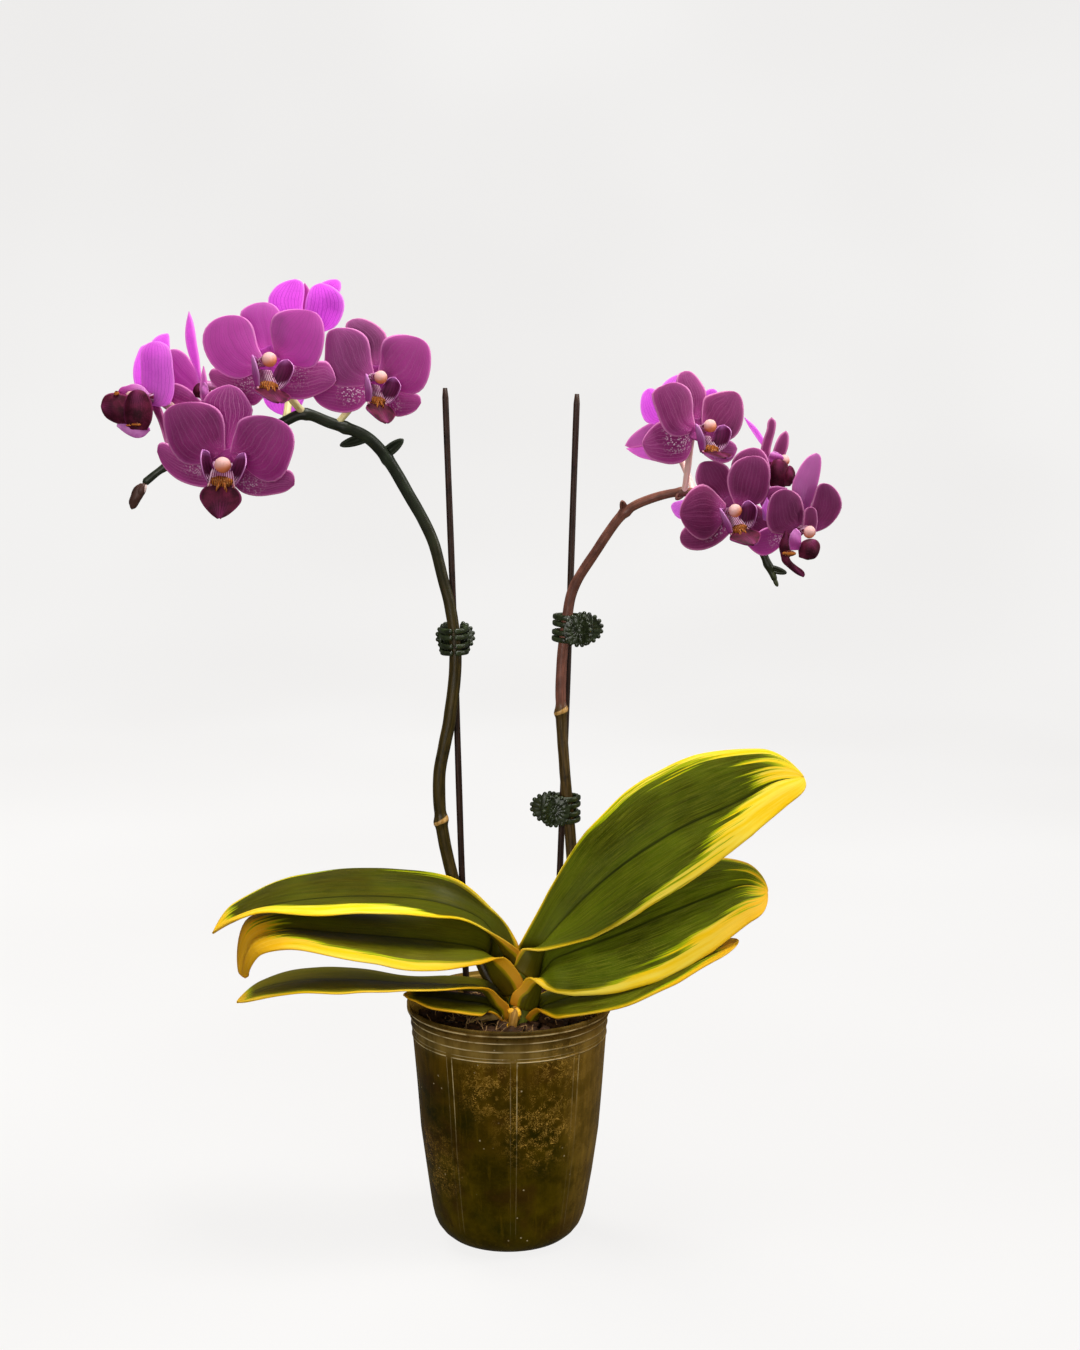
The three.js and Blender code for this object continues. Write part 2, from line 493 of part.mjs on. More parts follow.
// The lip: column with its cap, two upright side lobes, the callus between them and the middle lobe that hangs forward.
function lipParts(varies, grow) {
  const [dAngle, fSize, , ] = varies.lip || [0, 1, 1, 0];
  const column = new THREE.SphereGeometry(2.6 + grow, 5, 4).rotateX(Math.PI / 2).scale(1, 1, 1.75).translate(0, -0.2, 4.9);
  const throat = new THREE.SphereGeometry(3.2 + grow, 5, 4).scale(1, 1.5, 1.25).translate(0, -5.0, 4.6);
  const lobes = [-1, 1].map((k) => {
    const rows = [0, 0.55, 1].map((t) =>
      [-1, 1].map(
        (s) =>
          new THREE.Vector3(
            k * (2.6 + 3.6 * t - 0.6 * s * s * t),
            -5.2 + 5.4 * t * t + s * (2.4 + 1.4 * Math.sin(Math.PI * t) - 1.4 * t),
            5.4 + 4.4 * t,
          ),
      ),
    );
    return sheet(rows, LIP_THICKNESS, 0.7, grow);
  });
  const mid = [[0, 1.8], [0.5, 8], [1, 2]].map(([t, w]) =>
    [-1, 0, 1].map((s) => new THREE.Vector3(s * w, -8.5 - 13.2 * t, 6.4 + 5.2 * t - 1.6 * t * t + 1.2 * s * s * t)),
  );
  const turnLip = new THREE.Matrix4().makeRotationZ((-dAngle * Math.PI) / 180);
  const shrink = new THREE.Matrix4().makeScale(fSize, fSize, 1);
  return [column, throat, ...lobes, sheet(mid, LIP_THICKNESS, 0.7, grow)].map((g) =>
    g.applyMatrix4(turnLip).applyMatrix4(shrink),
  );
}

const flowerSolids = {};
for (const [name, f] of Object.entries(FLOWERS)) {
  const place = flowerFrame(f.turn)
    .scale(new THREE.Vector3(f.size, f.size, f.size))
    .setPosition(V(f.centre));
  const body = (grow) => {
    const tepals = Object.keys(TEPALS).map((k) => sheet(tepalRows(k, f.varies), TEPAL_THICKNESS, 0.7, grow));
    const receptacle = new THREE.SphereGeometry(3.4 + grow, 5, 4).scale(1, 1, 0.7).translate(0, 0, -0.9);
    const parts = [...tepals, receptacle].map((g) => solid(g.applyMatrix4(place)));
    // The stalk leaves the back of the flower and bends down to the spike.
    const back = new THREE.Vector3(0, 0, -1.4).applyMatrix4(place);
    const behind = new THREE.Vector3(0, -1.5, -8.5).applyMatrix4(place);
    const at = V(f.joins);
    const near = at.clone().lerp(behind, 0.45);
    near.z = Math.max(near.z, at.z + 3);
    const path = [back, behind, near, at].map((p) => p.toArray());
    parts.push(solid(stalk(path, [PEDICEL_RADIUS, PEDICEL_RADIUS, PEDICEL_RADIUS, PEDICEL_RADIUS], 5, 4, grow)));
    return join(parts);
  };
  add("flower_" + name + "_tepals", body(0), body(GAP), MATERIAL.tepal());
  const lip = (grow) => join(lipParts(f.varies, grow).map((g) => solid(g.applyMatrix4(place))));
  flowerSolids[name] = lip;
}
for (const [name, lip] of Object.entries(flowerSolids))
  add("flower_" + name + "_lip", lip(0), lip(GAP), MATERIAL.lip());

// ---------------------------------------------------------------- clips
// Cross-section of a jaw, seen along the pin: thumb pad on the right, spine over the pin, curved tines on the left.
const JAW_LINE = [
  [5.6, 7.2], [4.2, 5.7], [2.6, 4.2], [1.2, 3.1], [-0.6, 2.8], [-2.4, 3.7], [-4.6, 4.9], [-7.3, 5.5],
  [-10, 4.9], [-12, 3.4], [-13.1, 1.8], [-13.5, 0.45],
];

// Height of the pad's middle plane over the pin, which follows the section of the jaw.
function padHeight(x) {
  const line = JAW_LINE.slice(0, 8);
  let k = 0;
  while (k < line.length - 2 && x < line[k + 1][0]) k++;
  const clamped = Math.min(line[0][0], Math.max(line[7][0], x));
  return THREE.MathUtils.mapLinear(clamped, line[k][0], line[k + 1][0], line[k][1], line[k + 1][1]) + 0.6;
}

// The part of the jaw's section between two of its points, as an extruded band along the pin.
function band(from, to, z0, z1) {
  const line = JAW_LINE.slice(from, to + 1).map((p) => new THREE.Vector2(p[0], p[1]));
  const left = [],
    right = [];
  line.forEach((p, i) => {
    const a = line[Math.max(0, i - 1)],
      b = line[Math.min(line.length - 1, i + 1)];
    const n = new THREE.Vector2(-(b.y - a.y), b.x - a.x).normalize().multiplyScalar(JAW_THICKNESS / 2);
    left.push(p.clone().add(n));
    right.push(p.clone().sub(n));
  });
  const shape = new THREE.Shape([...left, ...right.reverse()]);
  return new THREE.ExtrudeGeometry(shape, { depth: z1 - z0, bevelEnabled: false }).translate(0, 0, z0);
}

// A disc bent to follow the jaw, with a beaded rim.
function pad() {
  const n = 2 * PAD_BEADS;
  const at = (radius, a, lift) => {
    const x = PAD_CENTRE + radius * Math.cos(a);
    return new THREE.Vector3(x, padHeight(x) + lift, radius * Math.sin(a));
  };
  const points = [at(0, 0, 0.8)];
  for (const [radius, lift, bead] of [[3.4, 0.8, 0], [PAD_RADIUS, 0.6, BEAD_RADIUS], [PAD_RADIUS, -0.6, BEAD_RADIUS], [3.4, -0.7, 0]])
    for (let k = 0; k < n; k++) points.push(at(radius + (k % 2 ? bead : 0), (2 * Math.PI * k) / n, lift));
  points.push(at(0, 0, -0.7));
  const index = [];
  for (let k = 0; k < n; k++) {
    const next = (k + 1) % n;
    index.push(0, 1 + next, 1 + k);
    for (let r = 0; r < 3; r++) {
      const a = 1 + r * n,
        b = a + n;
      index.push(a + k, a + next, b + next, a + k, b + next, b + k);
    }
    index.push(1 + 3 * n + k, 1 + 3 * n + next, points.length - 1);
  }
  return new THREE.BufferGeometry().setFromPoints(points).setIndex(index);
}

function jaw(tines, lugs) {
  const parts = [solid(pad()), solid(band(2, 6, -6.9, 6.9))];
  for (const z of tines) parts.push(solid(band(5, 11, z - TINE_WIDTH / 2, z + TINE_WIDTH / 2)));
  for (const z of lugs) {
    const web = new THREE.Shape([
      new THREE.Vector2(1.75, -0.6), new THREE.Vector2(1.75, 3), new THREE.Vector2(-1.75, 3.1), new THREE.Vector2(-1.75, -0.6),
      new THREE.Vector2(-1, -1.6), new THREE.Vector2(1, -1.6),
    ]);
    const lug = solid(new THREE.ExtrudeGeometry(web, { depth: 1.2, bevelEnabled: false }).translate(0, 0, z - 0.6));
    parts.push(lug);
  }
  const bore = new THREE.CylinderGeometry(LUG_HOLE_RADIUS, LUG_HOLE_RADIUS, 20, 10).rotateX(Math.PI / 2);
  return join(parts).subtract(solid(bore));
}

function springGeometry() {
  const path = [];
  const n = 6 * SPRING_TURNS;
  path.push(new THREE.Vector3(3, 0.9, -2.2));
  for (let i = 0; i <= n; i++) {
    const a = Math.PI / 2 - (2 * Math.PI * i) / 6;
    path.push(new THREE.Vector3(SPRING_COIL_RADIUS * Math.cos(a), SPRING_COIL_RADIUS * Math.sin(a), -2.1 + (4.2 * i) / n));
  }
  path.push(new THREE.Vector3(3, 1.1, 2.2));
  return stalk(path.map((p) => p.toArray()), [SPRING_WIRE_RADIUS, SPRING_WIRE_RADIUS], 27, 4);
}

for (const [name, c] of Object.entries(CLIPS)) {
  const z = V(c.up).normalize();
  const x = V(c.pads).normalize();
  x.addScaledVector(z, -x.dot(z)).normalize();
  const y = z.clone().cross(x);
  const clip = new THREE.Group();
  clip.applyMatrix4(new THREE.Matrix4().makeBasis(x, y, z).setPosition(V(c.pin)));
  object.add(clip);
  const piece = (suffix, s, material) => {
    const mesh = new THREE.Mesh(geometryOf(s), material);
    mesh.name = name + "_" + suffix;
    clip.add(mesh);
  };
  piece("jaw_fixed", jaw(TINES, [-5.2, 5.2]), MATERIAL.clip());
  piece("jaw_moving", jaw(TINES, [-3.6, 3.6]).mirror([0, 1, 0]), MATERIAL.clip());
  piece("pin", solid(new THREE.CylinderGeometry(PIN_RADIUS, PIN_RADIUS, PIN_LENGTH, 8).rotateX(Math.PI / 2)), MATERIAL.metal());
  piece("spring", solid(springGeometry()), MATERIAL.metal());
}

export default object;
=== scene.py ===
import math
import random

import bpy
import numpy as np
from mathutils import Vector, Matrix, noise


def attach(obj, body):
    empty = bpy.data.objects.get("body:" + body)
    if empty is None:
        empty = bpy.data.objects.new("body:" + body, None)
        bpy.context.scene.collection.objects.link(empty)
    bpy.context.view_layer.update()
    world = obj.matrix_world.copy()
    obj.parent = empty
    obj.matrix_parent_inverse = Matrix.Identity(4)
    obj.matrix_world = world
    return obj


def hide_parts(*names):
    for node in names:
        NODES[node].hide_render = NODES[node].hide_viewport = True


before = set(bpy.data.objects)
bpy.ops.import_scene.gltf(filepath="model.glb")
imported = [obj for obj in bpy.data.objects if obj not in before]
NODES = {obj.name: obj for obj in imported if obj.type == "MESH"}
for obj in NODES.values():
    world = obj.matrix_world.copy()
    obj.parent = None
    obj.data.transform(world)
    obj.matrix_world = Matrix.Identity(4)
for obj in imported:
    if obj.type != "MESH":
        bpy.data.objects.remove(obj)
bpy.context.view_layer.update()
MM = 0.001

# ------------------------------------------------------------------ measures, in millimetres
# Per leaf, two numbers lighten or darken the whole leaf as painted light and painted shade; dusk browns it, partly its
# own olive-brown and partly painted shade.
LEAVES = {
    'leaf_right_upper': {"rails": [[[1.1, -6.5, 124.9], [6.9, -9.3, 121.7], [12.2, -4.0, 115.0], [6.6, 2.7, 116.1], [1.5, 3.0, 120.0]], [[2.8, -7.0, 127.3], [8.0, -8.3, 124.6], [12.6, -3.5, 120.0], [7.4, 3.3, 120.7], [2.0, 3.5, 124.0]], [[4.8, -7.5, 131.2], [9.7, -7.8, 128.4], [13.3, -3.0, 124.5], [8.5, 3.5, 124.9], [3.0, 4.0, 128.0]], [[6.9, -8.0, 133.3], [11.1, -6.7, 131.6], [14.5, -3.0, 129.5], [10.2, 2.8, 129.5], [4.5, 4.5, 131.0]], [[14.5, -10.0, 132.8], [15.5, -6.5, 133.8], [16.5, -3.0, 134.5], [11.6, 0.7, 134.4], [6.1, 4.0, 133.6]], [[36.7, -15.0, 139.7], [30.9, -9.2, 143.6], [26.2, -2.0, 146.4], [21.4, 2.8, 150.8], [17.6, 9.0, 154.2]], [[57.1, -22.0, 153.3], [51.2, -14.0, 160.8], [46.9, -4.0, 166.7], [39.9, 3.9, 174.3], [34.5, 14.0, 180.3]], [[81.0, -27.0, 170.6], [75.9, -18.0, 178.8], [72.3, -7.0, 185.0], [64.5, 3.2, 194.9], [58.5, 16.0, 202.6]], [[104.0, -28.0, 188.7], [100.2, -20.2, 194.3], [97.6, -11.0, 198.3], [88.9, 0.1, 207.8], [82.1, 14.0, 214.9]], [[121.4, -25.0, 203.3], [118.2, -20.5, 206.6], [115.7, -15.0, 208.9], [112.3, -6.8, 215.4], [110.1, 3.0, 220.2]], [[126.4, -18.0, 211.9], [126.4, -18.0, 211.9], [126.4, -18.0, 211.9], [126.4, -18.0, 211.9], [126.4, -18.0, 211.9]]], "shade": 0.22, "dusk": 0.08, "tip": 0.5, "wave": 0.9, "thick": 2.0, "warm": [[0, 0.3], [0.2, 0.1], [0.8, 0], [1, 0.25]], "near_margin": [[0, 1.6], [0.15, 1.1], [0.3, 1.0], [0.4, 1.6], [0.5, 3.0], [0.6, 6], [0.7, 10], [0.8, 14], [0.9, 15.5], [1, 13]], "far_margin": [[0, 1.2], [0.15, 0.9], [0.35, 0.9], [0.48, 1.8], [0.6, 3.0], [0.72, 4.5], [0.82, 5.0], [0.92, 6], [1, 9]], "tip_gold": 13, "streak": [[0, 0.4], [0.3, 0.8], [0.42, 4], [0.55, 12], [0.7, 20], [1, 22]]},
    'leaf_right_middle': {"rails": [[[0.8, -10.0, 108.9], [6.2, -10.9, 106.7], [11.8, -6.0, 104.5], [7.4, 1.7, 106.5], [1.2, 2.0, 109.0]], [[2.0, -10.5, 113.6], [7.5, -11.0, 111.3], [12.4, -6.0, 108.5], [8.3, 1.5, 109.4], [2.2, 2.5, 112.0]], [[5.3, -11.0, 116.8], [9.7, -10.3, 114.4], [13.0, -6.0, 112.0], [9.7, 1.5, 112.6], [3.5, 3.0, 115.5]], [[7.2, -11.5, 119.9], [11.2, -10.2, 117.2], [13.6, -6.0, 115.0], [11.0, 1.3, 115.2], [5.0, 3.5, 118.5]], [[9.3, -12.5, 121.5], [12.8, -10.1, 119.2], [14.3, -6.0, 118.0], [13.0, 0.9, 118.2], [7.0, 4.0, 121.5]], [[12.5, -14.0, 119.8], [15.3, -9.9, 120.3], [15.5, -6.0, 121.0], [15.5, 0.0, 122.2], [9.0, 4.5, 124.0]], [[16.6, -16.0, 117.1], [17.8, -11.1, 121.6], [17.5, -6.0, 124.0], [15.7, -0.8, 126.6], [11.5, 5.5, 127.0]], [[21.4, -19.0, 116.4], [20.4, -13.0, 122.7], [20.0, -6.0, 127.0], [17.2, -0.0, 129.7], [15.0, 7.0, 131.0]], [[29.2, -22.0, 116.3], [28.2, -15.3, 124.5], [28.1, -7.0, 131.0], [25.1, 0.4, 135.9], [23.0, 9.0, 139.0]], [[47.5, -30.0, 120.4], [46.5, -21.0, 130.8], [46.8, -10.0, 139.1], [44.3, 0.7, 146.6], [43.1, 13.0, 151.7]], [[66.8, -36.0, 128.3], [65.7, -25.6, 139.6], [66.2, -13.0, 148.5], [65.0, -0.3, 156.9], [65.4, 14.0, 162.4]], [[86.8, -39.0, 140.9], [85.3, -28.9, 150.5], [85.3, -17.0, 157.7], [84.4, -4.1, 165.0], [85.0, 10.0, 169.4]], [[103.8, -36.0, 153.8], [102.6, -29.1, 160.0], [102.1, -21.0, 164.6], [102.5, -12.9, 168.9], [103.6, -4.0, 171.2]], [[111.2, -24.0, 164.1], [111.2, -24.0, 164.1], [111.2, -24.0, 164.1], [111.2, -24.0, 164.1], [111.2, -24.0, 164.1]]], "dusk": 0, "tip": 0.5, "wave": 0.9, "thick": 2.0, "warm": [[0, 0.8], [0.15, 0.3], [0.3, 0.05], [0.7, 0.15], [0.9, 0.55], [1, 0.7]], "near_margin": [[0, 4.2], [0.1, 4.0], [0.2, 1.6], [0.35, 3.0], [0.5, 6.5], [0.62, 8.5], [0.75, 10], [0.85, 9.5], [1, 8]], "far_margin": [[0, 1.5], [0.5, 1.2], [0.7, 2.4], [0.8, 3.5], [0.9, 4.5], [1, 5]], "tip_gold": 6, "streak": [[0, 0.4], [0.3, 1.2], [0.5, 5], [0.65, 10], [0.8, 13], [1, 15]]},
    'leaf_right_lower': {"rails": [[[7.7, -12.0, 103.0], [10.0, -10.9, 101.0], [11.5, -8.5, 99.5], [10.6, -1.7, 99.3], [5.5, 1.0, 103.0]], [[9.7, -12.5, 105.9], [11.3, -11.0, 103.5], [12.0, -8.5, 102.0], [11.3, -2.4, 101.0], [7.0, 1.0, 105.0]], [[12.5, -13.0, 107.7], [13.1, -11.2, 105.6], [13.0, -9.0, 104.5], [12.5, -3.4, 102.3], [9.0, 1.0, 107.0]], [[15.4, -16.0, 106.6], [15.6, -12.7, 106.9], [15.5, -9.5, 107.0], [15.7, -4.4, 107.5], [12.0, 1.5, 108.5]], [[20.6, -21.0, 105.8], [20.2, -16.1, 108.2], [20.0, -11.0, 109.5], [18.0, -4.8, 110.6], [16.0, 2.0, 110.0]], [[25.3, -26.0, 107.9], [26.0, -19.7, 110.8], [27.2, -13.0, 112.4], [25.3, -3.5, 113.2], [23.9, 6.0, 112.2]], [[40.6, -34.0, 113.1], [41.2, -25.7, 116.0], [42.4, -17.0, 117.3], [40.7, -4.0, 118.1], [40.0, 9.0, 116.4]], [[56.5, -40.0, 119.9], [56.5, -30.7, 122.8], [57.3, -21.0, 124.0], [56.5, -5.9, 124.3], [57.0, 9.0, 121.9]], [[72.2, -44.0, 129.1], [71.7, -34.6, 130.9], [72.1, -25.0, 131.1], [72.0, -10.4, 131.1], [73.1, 4.0, 128.5]], [[87.3, -43.0, 138.4], [86.7, -36.0, 139.1], [86.8, -29.0, 138.5], [87.2, -18.3, 138.1], [88.5, -8.0, 135.8]], [[98.4, -32.0, 143.9], [98.4, -32.0, 143.9], [98.4, -32.0, 143.9], [98.4, -32.0, 143.9], [98.4, -32.0, 143.9]]], "dusk": 0.3, "tip": 0.55, "wave": 0.8, "thick": 1.8, "warm": [[0, 0.7], [0.5, 0.4], [1, 0.7]], "near_margin": [[0, 2.4], [0.15, 1.8], [0.3, 1.0], [0.6, 1.5], [0.8, 2.8], [1, 5]], "far_margin": [[0, 1.2], [0.3, 0.8], [0.6, 1.2], [0.8, 2.5], [1, 5]], "tip_gold": 9, "streak": [[0, 0.4], [0.5, 1.5], [0.8, 6], [1, 8]]},
    'leaf_left_upper': {"rails": [[[6.6, -6.0, 128.4], [2.8, -6.6, 125.1], [0.5, -2.5, 121.0], [3.2, 2.1, 121.5], [6.5, 3.5, 124.0]], [[5.1, -7.0, 131.9], [1.3, -6.5, 128.3], [0.0, -2.0, 125.0], [2.2, 2.1, 125.0], [5.5, 4.0, 127.0]], [[2.0, -9.0, 135.0], [-1.3, -6.5, 131.2], [-1.0, -2.0, 129.0], [1.0, 1.7, 128.4], [4.8, 4.0, 130.0]], [[-2.7, -12.0, 139.1], [-3.8, -6.8, 134.9], [-2.5, -2.0, 133.0], [-0.3, 2.0, 132.2], [3.4, 6.0, 133.0]], [[-8.7, -15.0, 143.3], [-7.1, -8.4, 140.0], [-6.0, -2.0, 137.0], [-3.3, 4.7, 137.6], [-1.0, 11.4, 138.7]], [[-17.8, -20.0, 149.2], [-14.6, -10.4, 147.4], [-12.3, -1.0, 144.2], [-9.7, 6.6, 145.6], [-7.7, 7.3, 147.7]], [[-31.1, -29.0, 153.5], [-30.2, -15.4, 153.7], [-29.8, -2.0, 151.7], [-26.6, 6.6, 156.2], [-23.5, 6.6, 161.0]], [[-55.8, -34.0, 156.7], [-55.8, -18.4, 156.9], [-56.0, -3.0, 154.7], [-53.7, 12.8, 158.3], [-50.8, 17.8, 162.3]], [[-80.1, -33.0, 155.3], [-81.3, -18.5, 155.9], [-82.3, -4.0, 154.1], [-81.7, 11.3, 157.9], [-80.9, 27.0, 159.3]], [[-104.2, -27.0, 154.5], [-106.0, -16.4, 153.4], [-107.5, -6.0, 150.6], [-106.9, 5.8, 154.2], [-106.0, 18.0, 155.9]], [[-118.9, -18.0, 148.4], [-120.1, -12.9, 147.4], [-120.9, -8.0, 145.7], [-121.6, -1.1, 147.9], [-121.9, 6.0, 149.0]], [[-128.7, -9.0, 140.7], [-128.7, -9.0, 140.7], [-128.7, -9.0, 140.7], [-128.7, -9.0, 140.7], [-128.7, -9.0, 140.7]]], "shade": 0.5, "dusk": 0.5, "tip": 0.8, "wave": 0.7, "thick": 1.9, "warm": [[0, 0.5], [0.15, 0.1], [0.8, 0.1], [1, 0.5]], "near_margin": [[0, 2.4], [0.15, 1.6], [0.3, 1.8], [0.36, 5], [0.46, 10], [0.58, 12], [0.8, 11], [0.92, 9], [1, 8]], "far_margin": [[0, 1.8], [0.2, 1.8], [0.5, 1.2], [0.8, 1.3], [0.93, 2.5], [1, 5]], "tip_gold": 9, "streak": [[0, 0.4], [0.3, 1.2], [0.42, 8], [0.55, 9], [0.75, 4], [1, 6]]},
    'leaf_left_middle': {"rails": [[[8.0, -8.0, 114.4], [3.8, -8.3, 112.7], [-0.5, -5.0, 111.5], [2.3, 2.2, 113.6], [8.0, 3.0, 116.0]], [[6.9, -9.0, 119.1], [2.0, -9.4, 116.5], [-3.0, -5.0, 114.5], [0.0, 2.8, 116.8], [6.0, 4.0, 120.0]], [[4.4, -10.0, 123.6], [-0.5, -10.2, 120.2], [-5.4, -5.5, 117.5], [-3.1, 3.2, 120.5], [3.0, 5.0, 125.0]], [[1.2, -11.5, 128.3], [-3.2, -10.7, 124.3], [-7.0, -6.0, 121.5], [-5.9, 2.8, 123.6], [-0.5, 6.0, 129.0]], [[-2.0, -14.0, 131.1], [-5.8, -10.9, 127.8], [-8.5, -6.5, 126.0], [-8.6, 1.9, 127.6], [-4.5, 8.0, 133.5]], [[-5.5, -18.5, 131.7], [-7.1, -12.5, 130.2], [-9.5, -7.0, 129.0], [-8.4, 0.8, 132.1], [-8.0, 7.2, 137.0]], [[-10.4, -26.0, 131.8], [-9.9, -16.5, 132.8], [-10.4, -7.0, 131.4], [-8.8, 1.0, 136.1], [-8.1, 7.1, 139.6]], [[-30.0, -38.0, 132.7], [-29.4, -24.3, 136.5], [-29.6, -10.0, 136.4], [-28.4, 2.1, 141.0], [-27.6, 6.6, 144.5]], [[-53.2, -44.0, 136.8], [-53.0, -28.7, 140.3], [-53.3, -13.0, 139.5], [-53.0, 1.8, 142.7], [-53.2, 17.0, 141.8]], [[-76.1, -45.0, 141.6], [-76.3, -30.5, 143.9], [-76.9, -16.0, 142.2], [-77.1, -0.6, 145.2], [-77.7, 15.0, 143.8]], [[-94.2, -41.0, 142.8], [-95.9, -29.6, 145.1], [-97.4, -18.0, 144.2], [-98.5, -4.2, 147.3], [-99.4, 10.0, 146.5]], [[-104.9, -34.0, 138.3], [-107.8, -27.3, 140.2], [-109.3, -20.0, 140.7], [-113.0, -12.0, 143.6], [-115.0, -3.0, 144.8]], [[-110.9, -26.0, 127.4], [-112.8, -24.2, 126.9], [-114.1, -22.0, 126.1], [-115.5, -20.2, 126.5], [-116.4, -18.0, 126.7]], [[-113.2, -22.0, 124.6], [-113.2, -22.0, 124.6], [-113.2, -22.0, 124.6], [-113.2, -22.0, 124.6], [-113.2, -22.0, 124.6]]], "sun": 0.1, "dusk": 0.5, "tip": 0.5, "wave": 0.9, "thick": 1.9, "warm": [[0, 0.9], [0.15, 0.7], [0.3, 0.25], [0.6, 0.25], [0.8, 0.6], [1, 0.85]], "near_margin": [[0, 4.6], [0.12, 4.6], [0.2, 3.0], [0.3, 5.5], [0.5, 7.5], [0.65, 8], [0.75, 9], [0.85, 14], [1, 20]], "far_margin": [[0, 1.5], [0.5, 1.0], [0.7, 2.0], [0.8, 8], [1, 14]], "tip_gold": 27, "streak": [[0, 0.4], [0.4, 3], [0.6, 6], [0.75, 14], [1, 16]]},
    'leaf_left_lower': {"rails": [[[1.2, -12.5, 103.4], [-0.9, -10.9, 101.9], [-2.0, -8.5, 101.0], [-1.9, -2.3, 100.3], [3.5, 1.0, 103.0]], [[0.4, -13.5, 109.2], [-2.4, -11.8, 106.4], [-3.5, -8.5, 104.5], [-2.7, -2.7, 103.4], [2.0, 1.0, 106.0]], [[-2.8, -15.5, 112.8], [-5.0, -12.8, 109.1], [-5.0, -9.0, 107.5], [-4.6, -3.5, 105.6], [0.0, 1.5, 108.5]], [[-5.9, -19.0, 117.3], [-7.2, -14.4, 112.7], [-7.0, -9.5, 110.5], [-5.6, -4.1, 109.4], [-2.5, 2.0, 111.0]], [[-9.4, -23.5, 120.4], [-8.9, -16.6, 116.8], [-9.0, -10.0, 113.5], [-7.2, -3.7, 113.3], [-6.0, 3.0, 113.0]], [[-14.3, -27.0, 121.2], [-12.2, -18.2, 118.9], [-10.4, -10.0, 115.1], [-9.8, -1.9, 115.3], [-9.5, 6.0, 114.1]], [[-27.5, -38.0, 123.9], [-27.4, -25.2, 121.8], [-27.4, -13.0, 117.4], [-27.2, 0.2, 116.9], [-27.2, 13.0, 114.1]], [[-46.6, -44.0, 125.4], [-46.6, -29.7, 123.8], [-46.8, -16.0, 119.7], [-46.7, 0.8, 117.5], [-46.8, 17.0, 112.4]], [[-66.5, -47.0, 125.8], [-67.4, -32.3, 125.1], [-68.3, -18.0, 121.7], [-69.4, 0.3, 120.6], [-70.7, 18.0, 116.2]], [[-86.9, -45.0, 124.6], [-88.4, -32.4, 124.4], [-89.8, -20.0, 121.9], [-91.8, -3.3, 121.0], [-93.6, 13.0, 117.2]], [[-103.9, -38.0, 120.6], [-105.2, -30.0, 120.4], [-106.1, -22.0, 118.9], [-107.9, -10.4, 118.3], [-109.1, 1.0, 115.7]], [[-116.5, -24.0, 114.2], [-116.5, -24.0, 114.2], [-116.5, -24.0, 114.2], [-116.5, -24.0, 114.2], [-116.5, -24.0, 114.2]]], "sun": 0.7, "dusk": 0.6, "tip": 0.75, "wave": 0.8, "thick": 1.8, "warm": [[0, 0.9], [0.3, 0.5], [0.8, 0.3], [1, 0.5]], "near_margin": [[0, 3.4], [0.12, 3.0], [0.25, 1.5], [0.5, 1.6], [0.8, 1.8], [1, 3]], "far_margin": [[0, 0.8], [0.8, 0.8], [1, 2]], "tip_gold": 6, "streak": [[0, 0.3], [0.5, 1.2], [0.8, 2.5], [1, 4]]},
    'leaf_left_lowest': {"rails": [[[-2.5, -14.0, 102.7], [-2.1, -11.8, 101.1], [-1.5, -9.5, 100.5], [-0.4, -6.1, 99.3], [1.5, -2.0, 102.0]], [[-5.2, -16.5, 106.1], [-3.8, -13.3, 104.3], [-3.0, -10.0, 103.5], [-1.6, -6.0, 103.2], [-1.0, -1.0, 105.0]], [[-8.5, -20.0, 108.4], [-6.8, -15.5, 107.7], [-6.0, -11.0, 106.5], [-4.5, -5.8, 106.9], [-4.0, 0.0, 107.0]], [[-11.3, -27.0, 108.9], [-10.3, -20.0, 109.9], [-9.9, -13.0, 109.2], [-9.2, -4.9, 109.1], [-9.0, 3.0, 107.2]], [[-21.4, -33.0, 112.3], [-20.4, -24.5, 112.9], [-19.9, -16.0, 111.6], [-19.6, -4.8, 111.0], [-19.8, 6.0, 107.8]], [[-31.4, -37.0, 115.4], [-30.6, -27.9, 115.7], [-30.2, -19.0, 113.9], [-30.2, -6.7, 112.8], [-30.5, 5.0, 108.8]], [[-39.1, -35.0, 118.3], [-39.0, -28.4, 117.8], [-38.9, -22.0, 115.8], [-39.3, -12.8, 115.0], [-39.7, -4.0, 112.0]], [[-44.5, -24.0, 117.4], [-44.5, -24.0, 117.4], [-44.5, -24.0, 117.4], [-44.5, -24.0, 117.4], [-44.5, -24.0, 117.4]]], "dusk": 0.6, "tip": 0.7, "wave": 0.5, "thick": 1.6, "warm": [[0, 0.9], [1, 0.8]], "near_margin": [[0, 1.5], [0.5, 1.4], [1, 1.5]], "far_margin": [[0, 0.9], [1, 0.9]], "tip_gold": 4, "streak": [[0, 0.3], [0.5, 0.8], [1, 1.5]]},
}
